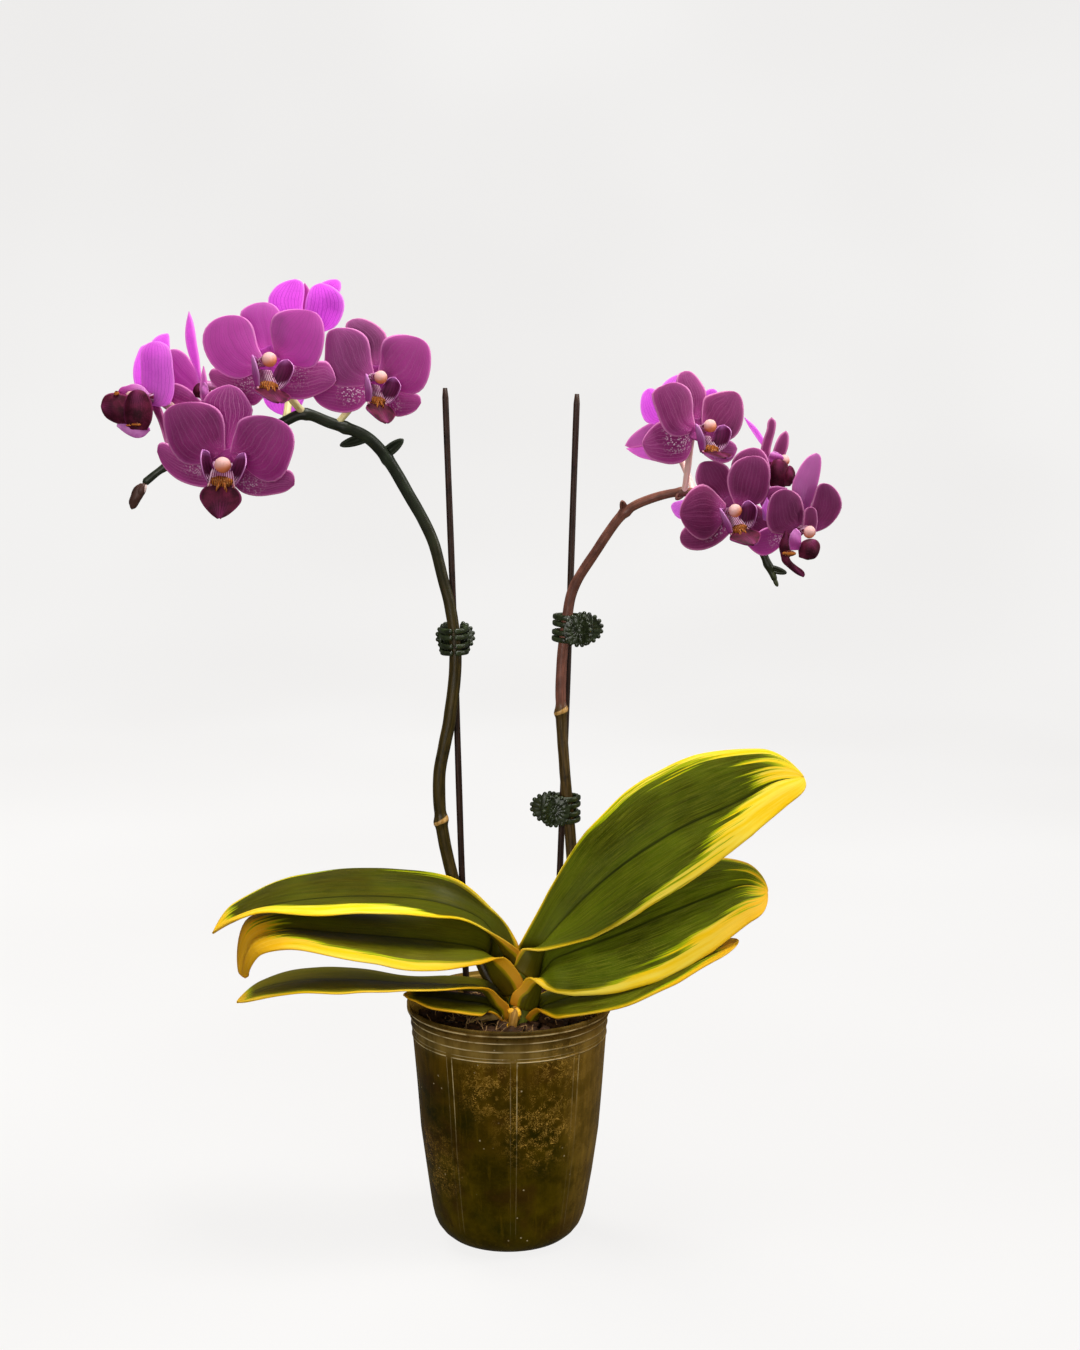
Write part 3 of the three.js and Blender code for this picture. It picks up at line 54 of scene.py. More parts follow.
# Per flower, tone and tones set each tepal from deep plum to bright magenta: partly the flower's own colour, partly
# painted light and shade, brighter where a tepal is lit from behind. pales lighten a tepal towards lilac: partly its
# own paler colour, partly painted light.
FLOWERS = {
    'left_1': {"centre": [-112.9, -46.0, 347.1], "turn": [0, -4, 9], "size": 1.0, "joins": [-113.7, -15.6, 354.2], "lip": [-3, 1.0, 14, 2.4], "cup": True, "column": [0, 0, 0], "sheets": {"left_petal": {"lo": [[-114.7, -47.8, 351.4], [-118.8, -47.8, 348.6], [-124.1, -47.9, 346.9], [-129.2, -48.2, 347.5], [-133.2, -48.7, 351.4], [-135.6, -49.3, 357.2], [-136.6, -50.0, 363.5], [-136.0, -50.5, 368.1], [-132.8, -50.9, 370.7], [-127.2, -51.2, 372.0]], "hi": [[-112.4, -47.9, 353.0], [-112.2, -48.6, 358.2], [-112.2, -49.3, 363.4], [-113.3, -49.9, 367.6], [-116.3, -50.5, 370.6], [-121.4, -50.9, 372.0], [-127.2, -51.2, 372.0]], "dome": 0.12, "speck": 0}, "right_petal": {"lo": [[-110.5, -47.9, 352.4], [-109.3, -48.5, 357.2], [-107.8, -49.2, 361.3], [-106.6, -49.7, 364.5], [-103.4, -50.2, 366.3], [-98.1, -50.6, 366.9], [-92.9, -50.8, 366.1]], "hi": [[-109.4, -47.7, 349.8], [-106.3, -47.7, 347.2], [-103.2, -47.7, 344.4], [-98.5, -47.7, 340.9], [-93.8, -47.8, 339.9], [-89.3, -48.2, 342.5], [-86.5, -48.8, 347.8], [-84.2, -49.5, 355.6], [-85.1, -50.1, 360.9], [-88.6, -50.5, 364.3], [-92.9, -50.8, 366.1]], "dome": 0.12, "speck": 0}, "dorsal_sepal": {"lo": [[-113.8, -45.4, 352.8], [-116.7, -45.7, 360.1], [-119.1, -46.0, 366.9], [-121.2, -46.2, 371.4], [-119.1, -46.3, 375.2], [-114.6, -46.3, 377.8], [-110.4, -46.2, 378.9]], "hi": [[-110.7, -45.4, 352.8], [-106.2, -45.7, 360.1], [-102.1, -46.0, 365.9], [-101.2, -46.0, 368.5], [-102.8, -46.1, 372.6], [-106.2, -46.3, 377.2], [-110.4, -46.2, 378.9]], "dome": 0.12, "speck": 0, "veiny": 1.0}, "left_sepal": {"lo": [[-116.4, -44.0, 340.1], [-120.6, -43.3, 337.6], [-127.2, -42.9, 338.4], [-133.5, -42.6, 341.1], [-138.5, -42.4, 346.1], [-140.8, -42.3, 351.8]], "hi": [[-113.9, -44.8, 351.7], [-121.4, -44.4, 351.7], [-128.8, -44.0, 351.7], [-135.1, -43.8, 354.6], [-138.0, -43.4, 355.8], [-140.0, -43.0, 355.0], [-140.8, -42.3, 351.8]], "dome": 0.12, "speck": 0.5, "veiny": 0.8}, "right_sepal": {"lo": [[-111.2, -44.0, 340.1], [-106.6, -43.2, 335.5], [-100.9, -42.6, 333.9], [-94.7, -42.1, 334.4], [-89.2, -41.7, 335.7], [-85.7, -41.4, 338.3]], "hi": [[-109.8, -44.7, 349.6], [-100.5, -44.0, 345.4], [-94.3, -43.4, 343.2], [-89.0, -43.1, 344.8], [-86.5, -42.6, 344.0], [-85.4, -42.0, 341.3], [-85.7, -41.4, 338.3]], "dome": 0.12, "speck": -0.5, "veiny": 0.9}}, "lobes": [], "route": None, "aside": 9, "stalk": 1.0, "pales": {}, "tone": 0.36, "tones": {"dorsal_sepal": 0.52, "left_sepal": 0.3, "right_sepal": 0.33}, "varies": {"right_sepal": [11, 1, 1, 0], "left_sepal": [-13, 0.98, 1, 0]}},
    'left_2': {"centre": [-97.2, -33.0, 387.6], "turn": [14, 2, -4], "size": 0.95, "joins": [-84.5, -12.0, 365.8], "lip": [10, 1.0, 62, -2.0], "cup": True, "column": [0, 0, 0], "sheets": {"left_petal": {"lo": [[-99.8, -35.3, 384.3], [-103.3, -36.5, 382.3], [-107.9, -37.9, 380.9], [-112.9, -39.3, 382.3], [-117.4, -40.5, 385.8], [-120.3, -41.2, 390.7], [-121.5, -41.5, 395.8], [-120.6, -41.4, 400.5], [-117.4, -40.6, 404.1], [-112.8, -39.6, 406.0], [-108.8, -38.8, 406.3]], "hi": [[-98.1, -34.7, 389.5], [-100.1, -35.4, 394.2], [-100.9, -35.8, 398.4], [-101.9, -36.2, 402.0], [-103.8, -37.0, 404.6], [-106.1, -37.8, 405.9], [-108.8, -38.8, 406.3]], "dome": 0.12, "speck": 0}, "right_petal": {"lo": [[-93.7, -33.5, 392.1], [-94.8, -34.0, 397.4], [-95.1, -34.4, 402.0], [-93.9, -34.4, 405.9], [-91.0, -34.0, 407.8], [-85.8, -33.1, 408.8], [-80.4, -32.2, 408.4]], "hi": [[-92.5, -33.3, 389.5], [-88.9, -32.7, 387.4], [-85.3, -32.1, 386.1], [-81.7, -31.5, 385.1], [-78.0, -30.9, 385.6], [-75.6, -30.4, 389.0], [-74.0, -30.1, 394.2], [-73.5, -30.0, 400.0], [-74.5, -30.3, 404.7], [-76.6, -31.0, 407.2], [-80.4, -32.2, 408.4]], "dome": 0.12, "speck": 0}, "dorsal_sepal": {"lo": [[-98.5, -32.2, 390.0], [-102.9, -32.8, 398.4], [-106.1, -33.3, 404.1], [-107.3, -33.3, 407.2], [-105.4, -32.5, 409.3], [-101.8, -31.4, 411.0], [-98.5, -30.4, 411.5]], "hi": [[-93.8, -31.0, 390.0], [-92.2, -30.2, 397.3], [-91.3, -29.6, 403.6], [-91.4, -29.3, 407.3], [-93.1, -29.5, 409.9], [-95.9, -29.9, 411.3], [-98.5, -30.4, 411.5]], "dome": 0.12, "speck": 0, "veiny": 1.0}, "left_sepal": {"lo": [[-97.7, -32.1, 374.3], [-102.5, -32.9, 370.1], [-108.7, -33.9, 371.7], [-115.9, -35.0, 375.9], [-119.2, -35.2, 379.4], [-120.3, -34.8, 382.7]], "hi": [[-97.6, -31.6, 384.8], [-103.3, -32.6, 384.3], [-109.5, -33.6, 383.8], [-115.7, -34.6, 385.0], [-119.0, -34.9, 384.8], [-120.3, -34.8, 382.7]], "dome": 0.12, "speck": 0.5, "veiny": 0.9}, "right_sepal": {"lo": [[-94.1, -31.1, 375.3], [-89.1, -29.4, 372.9], [-82.9, -27.4, 372.4], [-76.7, -25.3, 374.5], [-72.0, -23.5, 377.2], [-69.9, -22.3, 379.8]], "hi": [[-92.9, -30.5, 385.8], [-84.7, -27.9, 386.6], [-77.5, -25.7, 387.8], [-73.5, -24.3, 387.8], [-71.7, -23.5, 385.7], [-70.4, -22.8, 382.5], [-69.9, -22.3, 379.8]], "dome": 0.12, "speck": 0.4, "veiny": 0.9}}, "lobes": [], "route": None, "aside": 20, "stalk": 0.9, "pales": {"left_petal": 0.1, "right_petal": 0.08, "dorsal_sepal": 0.15}, "tone": 0.6, "tones": {"dorsal_sepal": 0.6, "left_sepal": 0.3, "right_sepal": 0.42}, "varies": {"dorsal_sepal": [2, 0.78, 1, 0]}},
    'left_3': {"centre": [-53.7, -14.0, 380.8], "turn": [12, -2, 8], "size": 0.86, "joins": [-71.4, -8.4, 361.1], "lip": [0, 1.0, 52, -2.2], "cup": True, "column": [0, 0, 0], "sheets": {"left_petal": {"lo": [[-55.9, -15.9, 378.6], [-58.6, -16.6, 377.7], [-63.9, -17.9, 377.2], [-70.2, -19.4, 377.6], [-73.6, -20.4, 380.3], [-74.7, -21.0, 384.6], [-74.4, -21.3, 391.0], [-74.0, -21.6, 396.3], [-72.9, -21.7, 399.8], [-69.1, -21.1, 401.3]], "hi": [[-54.3, -15.7, 381.3], [-55.6, -16.4, 387.7], [-56.1, -17.0, 393.0], [-57.2, -17.6, 397.3], [-59.8, -18.5, 399.8], [-63.4, -19.6, 401.2], [-69.1, -21.1, 401.3]], "dome": 0.12, "speck": 0}, "right_petal": {"lo": [[-53.2, -15.5, 383.4], [-52.0, -15.7, 388.8], [-51.8, -16.1, 393.0], [-50.5, -16.2, 396.4], [-47.1, -15.8, 398.2], [-42.3, -15.0, 398.6], [-37.3, -14.2, 397.6]], "hi": [[-51.7, -15.0, 379.1], [-48.5, -14.5, 377.0], [-44.2, -13.7, 375.0], [-39.4, -12.8, 373.8], [-35.1, -12.1, 375.8], [-32.2, -11.8, 381.2], [-31.2, -12.1, 388.7], [-31.9, -12.5, 393.5], [-34.0, -13.3, 396.1], [-37.3, -14.2, 397.6]], "dome": 0.12, "speck": 0}, "dorsal_sepal": {"lo": [[-55.0, -13.3, 383.4], [-57.5, -14.0, 391.9], [-62.2, -15.0, 397.8], [-66.2, -15.8, 401.3], [-65.9, -15.6, 403.3], [-63.4, -14.9, 404.9]], "hi": [[-51.3, -12.6, 383.4], [-51.2, -12.7, 391.9], [-49.5, -12.3, 397.8], [-52.0, -12.8, 401.3], [-55.8, -13.6, 403.9], [-59.8, -14.3, 405.2], [-63.4, -14.9, 404.9]], "dome": 0.12, "speck": 0, "veiny": 0.7}, "left_sepal": {"lo": [[-57.9, -13.0, 371.5], [-61.7, -13.2, 367.8], [-67.1, -13.8, 366.4], [-73.0, -14.6, 367.3], [-77.8, -15.2, 370.0], [-80.4, -15.3, 373.4]], "hi": [[-56.2, -12.9, 378.0], [-62.6, -13.8, 378.5], [-70.1, -14.9, 379.3], [-75.4, -15.5, 379.3], [-78.7, -15.6, 376.8], [-80.4, -15.3, 373.4]], "dome": 0.12, "speck": 1.2, "veiny": 0.7}, "right_sepal": {"lo": [[-52.0, -11.8, 371.5], [-46.8, -9.8, 364.9], [-42.5, -8.2, 365.0], [-38.2, -6.8, 367.0], [-35.9, -5.8, 370.2]], "hi": [[-48.7, -11.3, 377.9], [-43.4, -9.5, 375.5], [-39.2, -7.9, 374.6], [-36.4, -6.6, 373.1], [-35.9, -5.8, 370.2]], "dome": 0.12, "speck": -0.4, "veiny": 0.7}}, "lobes": [], "route": None, "aside": 26, "stalk": 0.9, "pales": {"right_petal": 0.05, "dorsal_sepal": 0.12, "left_petal": 0.1}, "tone": 0.42, "tones": {"dorsal_sepal": 0.3, "left_sepal": 0.42, "right_sepal": 0.35}, "varies": {"dorsal_sepal": [26, 1, 1, 0], "right_sepal": [-10, 0.84, 1, 0], "left_sepal": [12, 1, 1, 0]}},
    'left_4': {"centre": [-89.5, 12.0, 400.0], "turn": [8, 20, 10], "size": 0.86, "joins": [-91.8, -13.6, 363.1], "lip": [0, 1.0, 45, 0.0], "cup": False, "column": [0, 0, 0], "sheets": {"left_petal": {"lo": [[-89.2, 9.0, 401.3], [-95.9, 9.0, 405.0], [-100.2, 9.0, 409.2], [-101.2, 9.0, 413.0], [-100.0, 9.0, 415.9], [-97.2, 9.0, 419.0], [-93.3, 9.0, 420.9], [-89.4, 9.0, 421.7]], "hi": [[-86.6, 9.0, 401.3], [-86.7, 9.0, 406.7], [-86.5, 9.0, 410.9], [-85.8, 9.0, 415.1], [-85.7, 9.0, 418.4], [-86.5, 9.0, 420.5], [-89.4, 9.0, 421.7]], "dome": 0.12, "speck": 0, "veiny": 0.55}, "right_petal": {"lo": [[-85.5, 8.0, 398.8], [-85.7, 8.0, 405.5], [-85.3, 8.0, 411.7], [-84.1, 8.0, 415.9], [-82.2, 8.0, 418.6], [-79.0, 8.0, 420.0]], "hi": [[-81.9, 8.0, 397.9], [-77.2, 8.0, 399.8], [-72.9, 8.0, 401.7], [-70.1, 8.0, 405.5], [-68.7, 8.0, 410.5], [-69.4, 8.0, 414.2], [-72.0, 8.0, 417.3], [-75.4, 8.0, 419.2], [-79.0, 8.0, 420.0]], "dome": 0.12, "speck": 0, "veiny": 0.55}, "dorsal_sepal": {"lo": [[-80.6, 14.0, 412.2], [-81.3, 14.0, 416.8], [-79.2, 14.0, 420.0], [-75.7, 14.0, 421.5], [-72.5, 14.0, 421.7]], "hi": [[-74.2, 14.0, 412.2], [-71.2, 14.0, 416.4], [-70.6, 14.0, 419.1], [-71.1, 14.0, 420.9], [-72.5, 14.0, 421.7]], "dome": 0.15, "speck": 0, "veiny": 0.5}, "left_sepal": {"lo": [[-88.9, 14.0, 402.1], [-88.0, 14.0, 410.9], [-87.3, 14.0, 418.1], [-86.0, 14.0, 420.2]], "hi": [[-85.0, 14.0, 402.1], [-84.2, 14.0, 410.9], [-84.1, 14.0, 417.2], [-86.0, 14.0, 420.2]], "dome": 0.12, "speck": 0, "veiny": 0.5}, "right_sepal": {"lo": [[-91.1, 6.0, 394.2], [-98.0, 6.0, 385.8], [-102.4, 6.0, 377.3], [-103.8, 6.0, 372.3], [-102.2, 6.0, 368.5], [-98.6, 6.0, 365.7], [-94.6, 6.0, 364.4]], "hi": [[-87.7, 6.0, 394.2], [-86.6, 6.0, 385.8], [-85.4, 6.0, 377.3], [-86.0, 6.0, 372.3], [-87.7, 6.0, 368.3], [-90.5, 6.0, 365.7], [-94.6, 6.0, 364.4]], "dome": 0.12, "speck": 0, "veiny": 0.7}}, "lobes": [], "route": None, "aside": 0, "stalk": 1.0, "pales": {"right_sepal": 0.95}, "tone": 1, "tones": {"left_petal": 1.0, "right_petal": 1.0, "dorsal_sepal": 0.95, "left_sepal": 0.5, "right_sepal": 1.0}, "varies": {"dorsal_sepal": [-26, 1.0, 0.7, 0], "left_petal": [-28, 0.95, 0.84, 0], "right_petal": [21, 1.0, 1, 0]}},
    'left_5': {"centre": [-144.6, -26, 373.2], "turn": [-72, -6, 0], "size": 1.0, "joins": [-129.6, -17.0, 350.3], "lip": [58, 1.05, 70, 0.0], "cup": False, "column": [0, 0, 0], "sheets": {"right_petal": {"lo": [[-147.4, -26.0, 370.5], [-148.9, -26.0, 375.3], [-149.4, -26.0, 380.2], [-149.4, -26.0, 385.9], [-149.4, -26.0, 390.4], [-148.5, -26.0, 393.2], [-146.4, -26.0, 395.0], [-143.3, -26.0, 395.9]], "hi": [[-145.7, -26.0, 370.0], [-141.6, -26.0, 369.4], [-138.3, -26.0, 370.2], [-136.6, -26.0, 373.3], [-135.9, -26.0, 378.6], [-136.2, -26.0, 385.1], [-136.6, -26.0, 390.8], [-137.9, -26.0, 393.8], [-140.5, -26.0, 395.4], [-143.3, -26.0, 395.9]], "dome": 0.22, "speck": 0, "veiny": 0.3}, "left_petal": {"lo": [[-149.7, -22.0, 372.8], [-152.4, -22.0, 376.9], [-153.5, -22.0, 381.8], [-153.0, -22.0, 386.6], [-151.6, -22.0, 390.3], [-149.9, -22.0, 393.6], [-147.8, -22.0, 394.6]], "hi": [[-146.8, -22.0, 371.9], [-145.4, -22.0, 376.9], [-144.9, -22.0, 381.8], [-145.1, -22.0, 386.6], [-145.4, -22.0, 391.5], [-146.6, -22.0, 394.2], [-147.8, -22.0, 394.6]], "dome": 0.15, "speck": 0, "veiny": 0.3}, "dorsal_sepal": {"lo": [[-147.2, -19.0, 376.8], [-147.8, -19.0, 384.1], [-147.2, -19.0, 391.5], [-146.0, -19.0, 395.6], [-144.1, -19.0, 397.6], [-141.8, -19.0, 398.7], [-139.3, -19.0, 399.1]], "hi": [[-142.3, -19.0, 376.8], [-139.2, -19.0, 383.3], [-138.6, -19.0, 389.9], [-138.6, -19.0, 394.8], [-138.6, -19.0, 397.6], [-138.8, -19.0, 398.6], [-139.3, -19.0, 399.1]], "dome": 0.15, "speck": 0, "veiny": 0.4}, "right_sepal": {"lo": [[-147.2, -20.0, 371.1], [-145.9, -20.0, 367.4], [-144.1, -20.0, 363.3], [-142.8, -20.0, 359.1], [-141.7, -20.0, 355.0], [-140.3, -20.0, 351.7]], "hi": [[-144.7, -20.0, 371.1], [-142.5, -20.0, 368.2], [-141.2, -20.0, 363.3], [-140.7, -20.0, 359.1], [-140.4, -20.0, 355.0], [-140.3, -20.0, 351.7]], "dome": 0.3, "speck": 0, "veiny": 0.6}, "left_sepal": {"lo": [[-147.8, -17.0, 371.0], [-151.1, -17.0, 370.1], [-154.5, -17.0, 367.7], [-156.3, -17.0, 364.4], [-156.0, -17.0, 361.1]], "hi": [[-147.0, -17.0, 370.1], [-148.7, -17.0, 366.8], [-150.9, -17.0, 363.9], [-153.4, -17.0, 361.9], [-156.0, -17.0, 361.1]], "dome": 0.2, "speck": 0, "veiny": 0.6}}, "lobes": [{"part": 0, "side": 0, "dome": 0.35, "lo": [[-152.5, -31.0, 373.9], [-156.5, -31.0, 374.6], [-160.2, -31.0, 375.1], [-163.1, -31.0, 374.2], [-164.6, -31.0, 372.2], [-165.2, -31.0, 369.8]], "hi": [[-152.0, -31.0, 362.1], [-156.9, -31.0, 362.3], [-160.6, -31.0, 363.4], [-163.2, -31.0, 365.1], [-164.7, -31.0, 367.6], [-165.2, -31.0, 369.8]]}, {"part": 0, "side": 0, "dome": 0.4, "lo": [[-152.7, -34.0, 360.6], [-155.1, -34.0, 363.9], [-155.2, -34.0, 369.1], [-154.0, -34.0, 373.6], [-152.2, -34.0, 375.7], [-149.8, -34.0, 376.4]], "hi": [[-146.2, -34.0, 360.2], [-144.1, -34.0, 364.3], [-143.7, -34.0, 369.5], [-145.2, -34.0, 374.0], [-147.3, -34.0, 375.9], [-149.8, -34.0, 376.4]]}, {"part": 0, "side": 1, "dome": 0.3, "lo": [[-158.8, -32.0, 361.7], [-156.4, -32.0, 359.5], [-153.6, -32.0, 357.8], [-150.8, -32.0, 356.9], [-148.1, -32.0, 357.4], [-145.3, -32.0, 360.1]], "hi": [[-158.8, -32.0, 362.6], [-155.5, -32.0, 362.6], [-151.8, -32.0, 362.1], [-148.6, -32.0, 361.7], [-146.5, -32.0, 361.5], [-145.3, -32.0, 360.7]]}, {"part": 1, "side": 1, "dome": 0.4, "lo": [[-158.5, -29.0, 375.4], [-157.2, -29.0, 377.3], [-154.8, -29.0, 377.9], [-152.1, -29.0, 378.7], [-148.6, -29.0, 377.9], [-145.9, -29.0, 375.0]], "hi": [[-158.6, -29.0, 374.2], [-155.3, -29.0, 374.2], [-152.0, -29.0, 373.8], [-148.8, -29.0, 373.4], [-147.1, -29.0, 373.2], [-145.9, -29.0, 373.8]]}, {"part": 2, "at": [-158.5, -32.0, 374.9], "radii": [1.1, 1.1, 1.1]}, {"part": 2, "at": [-150.1, -36.5, 362.5], "radii": [1.95, 0.81, 0.81]}, {"part": 2, "at": [-153.4, -35.5, 362.1], "radii": [1.1, 0.55, 0.55]}], "route": [[-141, -10, 369.0], [-132.5, 1, 359]], "aside": 0, "stalk": 1.0, "pales": {"right_petal": 0.4, "dorsal_sepal": 0.3, "left_petal": 0.25}, "tone": 1, "tones": {"left_petal": 1.0, "dorsal_sepal": 1.0, "right_petal": 0.93, "right_sepal": 0.2, "left_sepal": 0.7}, "varies": {"right_petal": [22, 1.06, 1.28, -0.1, -42, 0, -4.2, 0], "left_petal": [-8, 0.95, 1, -0.45], "dorsal_sepal": [0, 0.85, 0.8, -0.3], "right_sepal": [-25, 0.8, 1, -0.1], "left_sepal": [25, 0.8, 1, -0.1]}},
    'left_6': {"centre": [-129.5, 2.0, 377.5], "turn": [-80, 0, -10], "size": 0.88, "joins": [-121.3, -16.2, 352.1], "lip": [0, 0.42, 10, 0.0], "cup": False, "column": [3, 9, -3], "sheets": {"dorsal_sepal": {"lo": [[-129.5, -3.0, 377.2], [-131.2, -3.0, 384.7], [-132.8, -3.0, 388.4], [-134.1, -3.0, 393.0], [-134.7, -3.0, 398.4], [-134.1, -3.0, 403.7], [-132.9, -3.0, 408.1]], "hi": [[-127.4, -3.0, 377.2], [-128.7, -3.0, 383.8], [-129.1, -3.0, 389.2], [-129.9, -3.0, 395.1], [-130.6, -3.0, 400.4], [-131.6, -3.0, 405.0], [-132.9, -3.0, 408.1]], "dome": 0.35, "speck": 0, "veiny": 1.0}, "left_petal": {"lo": [[-128.0, 0.0, 370.8], [-132.2, 0.0, 373.3], [-135.5, 0.0, 375.0], [-139.3, 0.0, 376.2], [-142.6, 0.0, 378.3], [-144.6, 0.0, 382.9], [-144.5, 0.0, 387.5], [-143.1, 0.0, 390.5]], "hi": [[-128.0, 0.0, 372.9], [-129.1, 0.0, 377.9], [-130.3, 0.0, 382.9], [-132.5, 0.0, 386.7], [-135.1, 0.0, 390.2], [-138.4, 0.0, 392.3], [-141.4, 0.0, 392.3], [-143.1, 0.0, 390.5]], "dome": 0.15, "speck": 0, "veiny": 0.6}, "right_petal": {"lo": [[-129.0, 6.0, 370.6], [-130.6, 6.0, 376.1], [-132.1, 6.0, 381.1], [-134.6, 6.0, 384.5], [-137.1, 6.0, 386.2]], "hi": [[-128.1, 6.0, 371.9], [-128.4, 6.0, 377.8], [-130.4, 6.0, 382.0], [-133.3, 6.0, 384.9], [-137.1, 6.0, 386.2]], "dome": 0.15, "speck": 0, "veiny": 0.6}, "right_sepal": {"lo": [[-127.0, -4.0, 370.1], [-129.5, -4.0, 371.8], [-132.4, -4.0, 374.9], [-135.7, -4.0, 377.2], [-139.0, -4.0, 378.4], [-142.4, -4.0, 378.2], [-145.8, -4.0, 376.4]], "hi": [[-127.1, -4.0, 368.0], [-130.9, -4.0, 365.9], [-136.0, -4.0, 365.5], [-141.0, -4.0, 366.8], [-144.3, -4.0, 370.5], [-145.8, -4.0, 376.4]], "dome": 0.15, "speck": 0, "veiny": 0.7}, "left_sepal": {"lo": [[-128.0, -6.0, 369.7], [-128.8, -6.0, 374.7], [-128.4, -6.0, 379.7], [-127.0, -6.0, 385.6]], "hi": [[-126.1, -6.0, 369.7], [-125.2, -6.0, 374.3], [-125.5, -6.0, 379.7], [-126.8, -6.0, 385.6]], "dome": 0.2, "speck": 0, "veiny": 0.7}}, "lobes": [{"part": 1, "side": 1, "dome": 0.4, "lo": [[-127.4, -7.0, 370.6], [-127.9, -7.0, 373.9], [-127.6, -7.0, 376.4], [-126.7, -7.0, 378.9]], "hi": [[-125.7, -7.0, 370.6], [-125.0, -7.0, 373.9], [-125.1, -7.0, 376.9], [-126.5, -7.0, 378.9]]}, {"part": 0, "side": 0, "dome": 0.4, "lo": [[-130.6, -5.0, 372.6], [-131.8, -5.0, 374.7], [-130.9, -5.0, 377.2], [-129.2, -5.0, 378.5]], "hi": [[-128.5, -5.0, 372.2], [-127.6, -5.0, 374.7], [-127.7, -5.0, 377.2], [-129.2, -5.0, 378.5]]}], "route": None, "aside": 0, "stalk": 1.0, "pales": {"left_petal": 0.2, "left_sepal": 0.2}, "tone": 0.7, "tones": {"left_petal": 0.62, "dorsal_sepal": 0.85, "right_petal": 0.6, "right_sepal": 0.42, "left_sepal": 0.6}, "varies": {"left_petal": [8, 1.04, 0.95, 0.35], "right_petal": [0, 0.8, 1, 0], "dorsal_sepal": [0, 0.66, 1.0, 0.75, 62]}},
    'right_1': {"centre": [80.2, -28.0, 359.9], "turn": [26, 10, 2], "size": 0.84, "joins": [75.2, -6.3, 332.9], "lip": [0, 1.0, 70, -2.2], "cup": True, "column": [0, 0, 0], "sheets": {"left_petal": {"lo": [[75.0, -32.5, 358.5], [71.2, -34.7, 357.6], [67.8, -36.5, 357.9], [64.9, -37.7, 360.0], [62.8, -38.1, 363.6], [61.1, -38.2, 368.1], [59.7, -38.3, 372.1], [59.3, -38.1, 374.9], [61.1, -37.0, 377.0], [64.0, -35.5, 378.3], [67.3, -33.9, 379.3]], "hi": [[77.6, -30.5, 362.5], [76.7, -30.3, 366.9], [76.7, -29.8, 370.6], [76.0, -29.6, 374.6], [74.5, -30.0, 377.1], [72.0, -31.2, 378.7], [69.7, -32.5, 379.4], [67.3, -33.9, 379.3]], "dome": 0.12, "speck": 0}, "right_petal": {"lo": [[80.5, -29.4, 360.8], [80.3, -28.8, 366.1], [80.7, -28.0, 370.5], [81.5, -27.4, 373.3], [84.3, -26.1, 374.5], [87.7, -24.6, 375.3], [91.1, -23.2, 375.7], [94.1, -22.1, 375.5]], "hi": [[82.2, -29.2, 357.5], [86.5, -27.7, 355.8], [89.9, -26.4, 355.3], [92.9, -25.1, 355.9], [95.7, -23.5, 358.1], [97.7, -22.0, 362.1], [98.3, -21.0, 367.0], [97.8, -20.6, 371.5], [96.3, -21.1, 374.3], [94.1, -22.1, 375.5]], "dome": 0.12, "speck": 0}, "dorsal_sepal": {"lo": [[75.6, -28.4, 363.2], [72.7, -28.1, 371.3], [70.8, -27.6, 377.0], [69.9, -27.3, 380.0], [70.7, -26.2, 382.5], [73.4, -24.3, 383.8]], "hi": [[81.2, -25.8, 363.1], [82.5, -23.3, 371.2], [82.5, -22.3, 375.4], [80.6, -22.4, 378.9], [78.3, -22.8, 381.8], [76.0, -23.3, 383.6], [73.4, -24.3, 383.8]], "dome": 0.12, "speck": 0, "veiny": 0.8}, "left_sepal": {"lo": [[76.1, -29.9, 351.9], [74.0, -31.2, 348.0], [68.5, -33.8, 346.2], [63.1, -35.8, 347.1], [59.1, -36.9, 348.6], [56.9, -37.0, 351.4], [55.7, -36.4, 355.1]], "hi": [[76.5, -28.3, 359.1], [71.5, -29.6, 362.4], [66.4, -31.2, 364.1], [62.3, -33.0, 363.4], [58.9, -34.7, 360.6], [56.7, -35.9, 357.7], [55.7, -36.4, 355.1]], "dome": 0.12, "speck": 1.2, "veiny": 0.7}, "right_sepal": {"lo": [[81.6, -27.6, 349.7], [85.9, -25.5, 347.0], [89.4, -23.4, 346.0], [93.0, -21.0, 346.8], [95.3, -18.7, 349.4], [96.2, -17.3, 351.6]], "hi": [[82.5, -25.7, 357.4], [88.6, -22.1, 356.8], [93.0, -19.6, 355.2], [95.3, -18.1, 353.5], [96.2, -17.3, 351.6]], "dome": 0.12, "speck": -0.3, "veiny": 0.7}}, "lobes": [], "route": None, "aside": 6, "stalk": 0.84, "pales": {}, "tone": 0.3, "tones": {"dorsal_sepal": 0.27, "right_petal": 0.2, "left_sepal": 0.34, "right_sepal": 0.38}, "varies": {"dorsal_sepal": [14, 0.94, 1, 0], "left_sepal": [3, 1.08, 1, 0], "left_petal": [-8, 1, 0.92, 0]}},
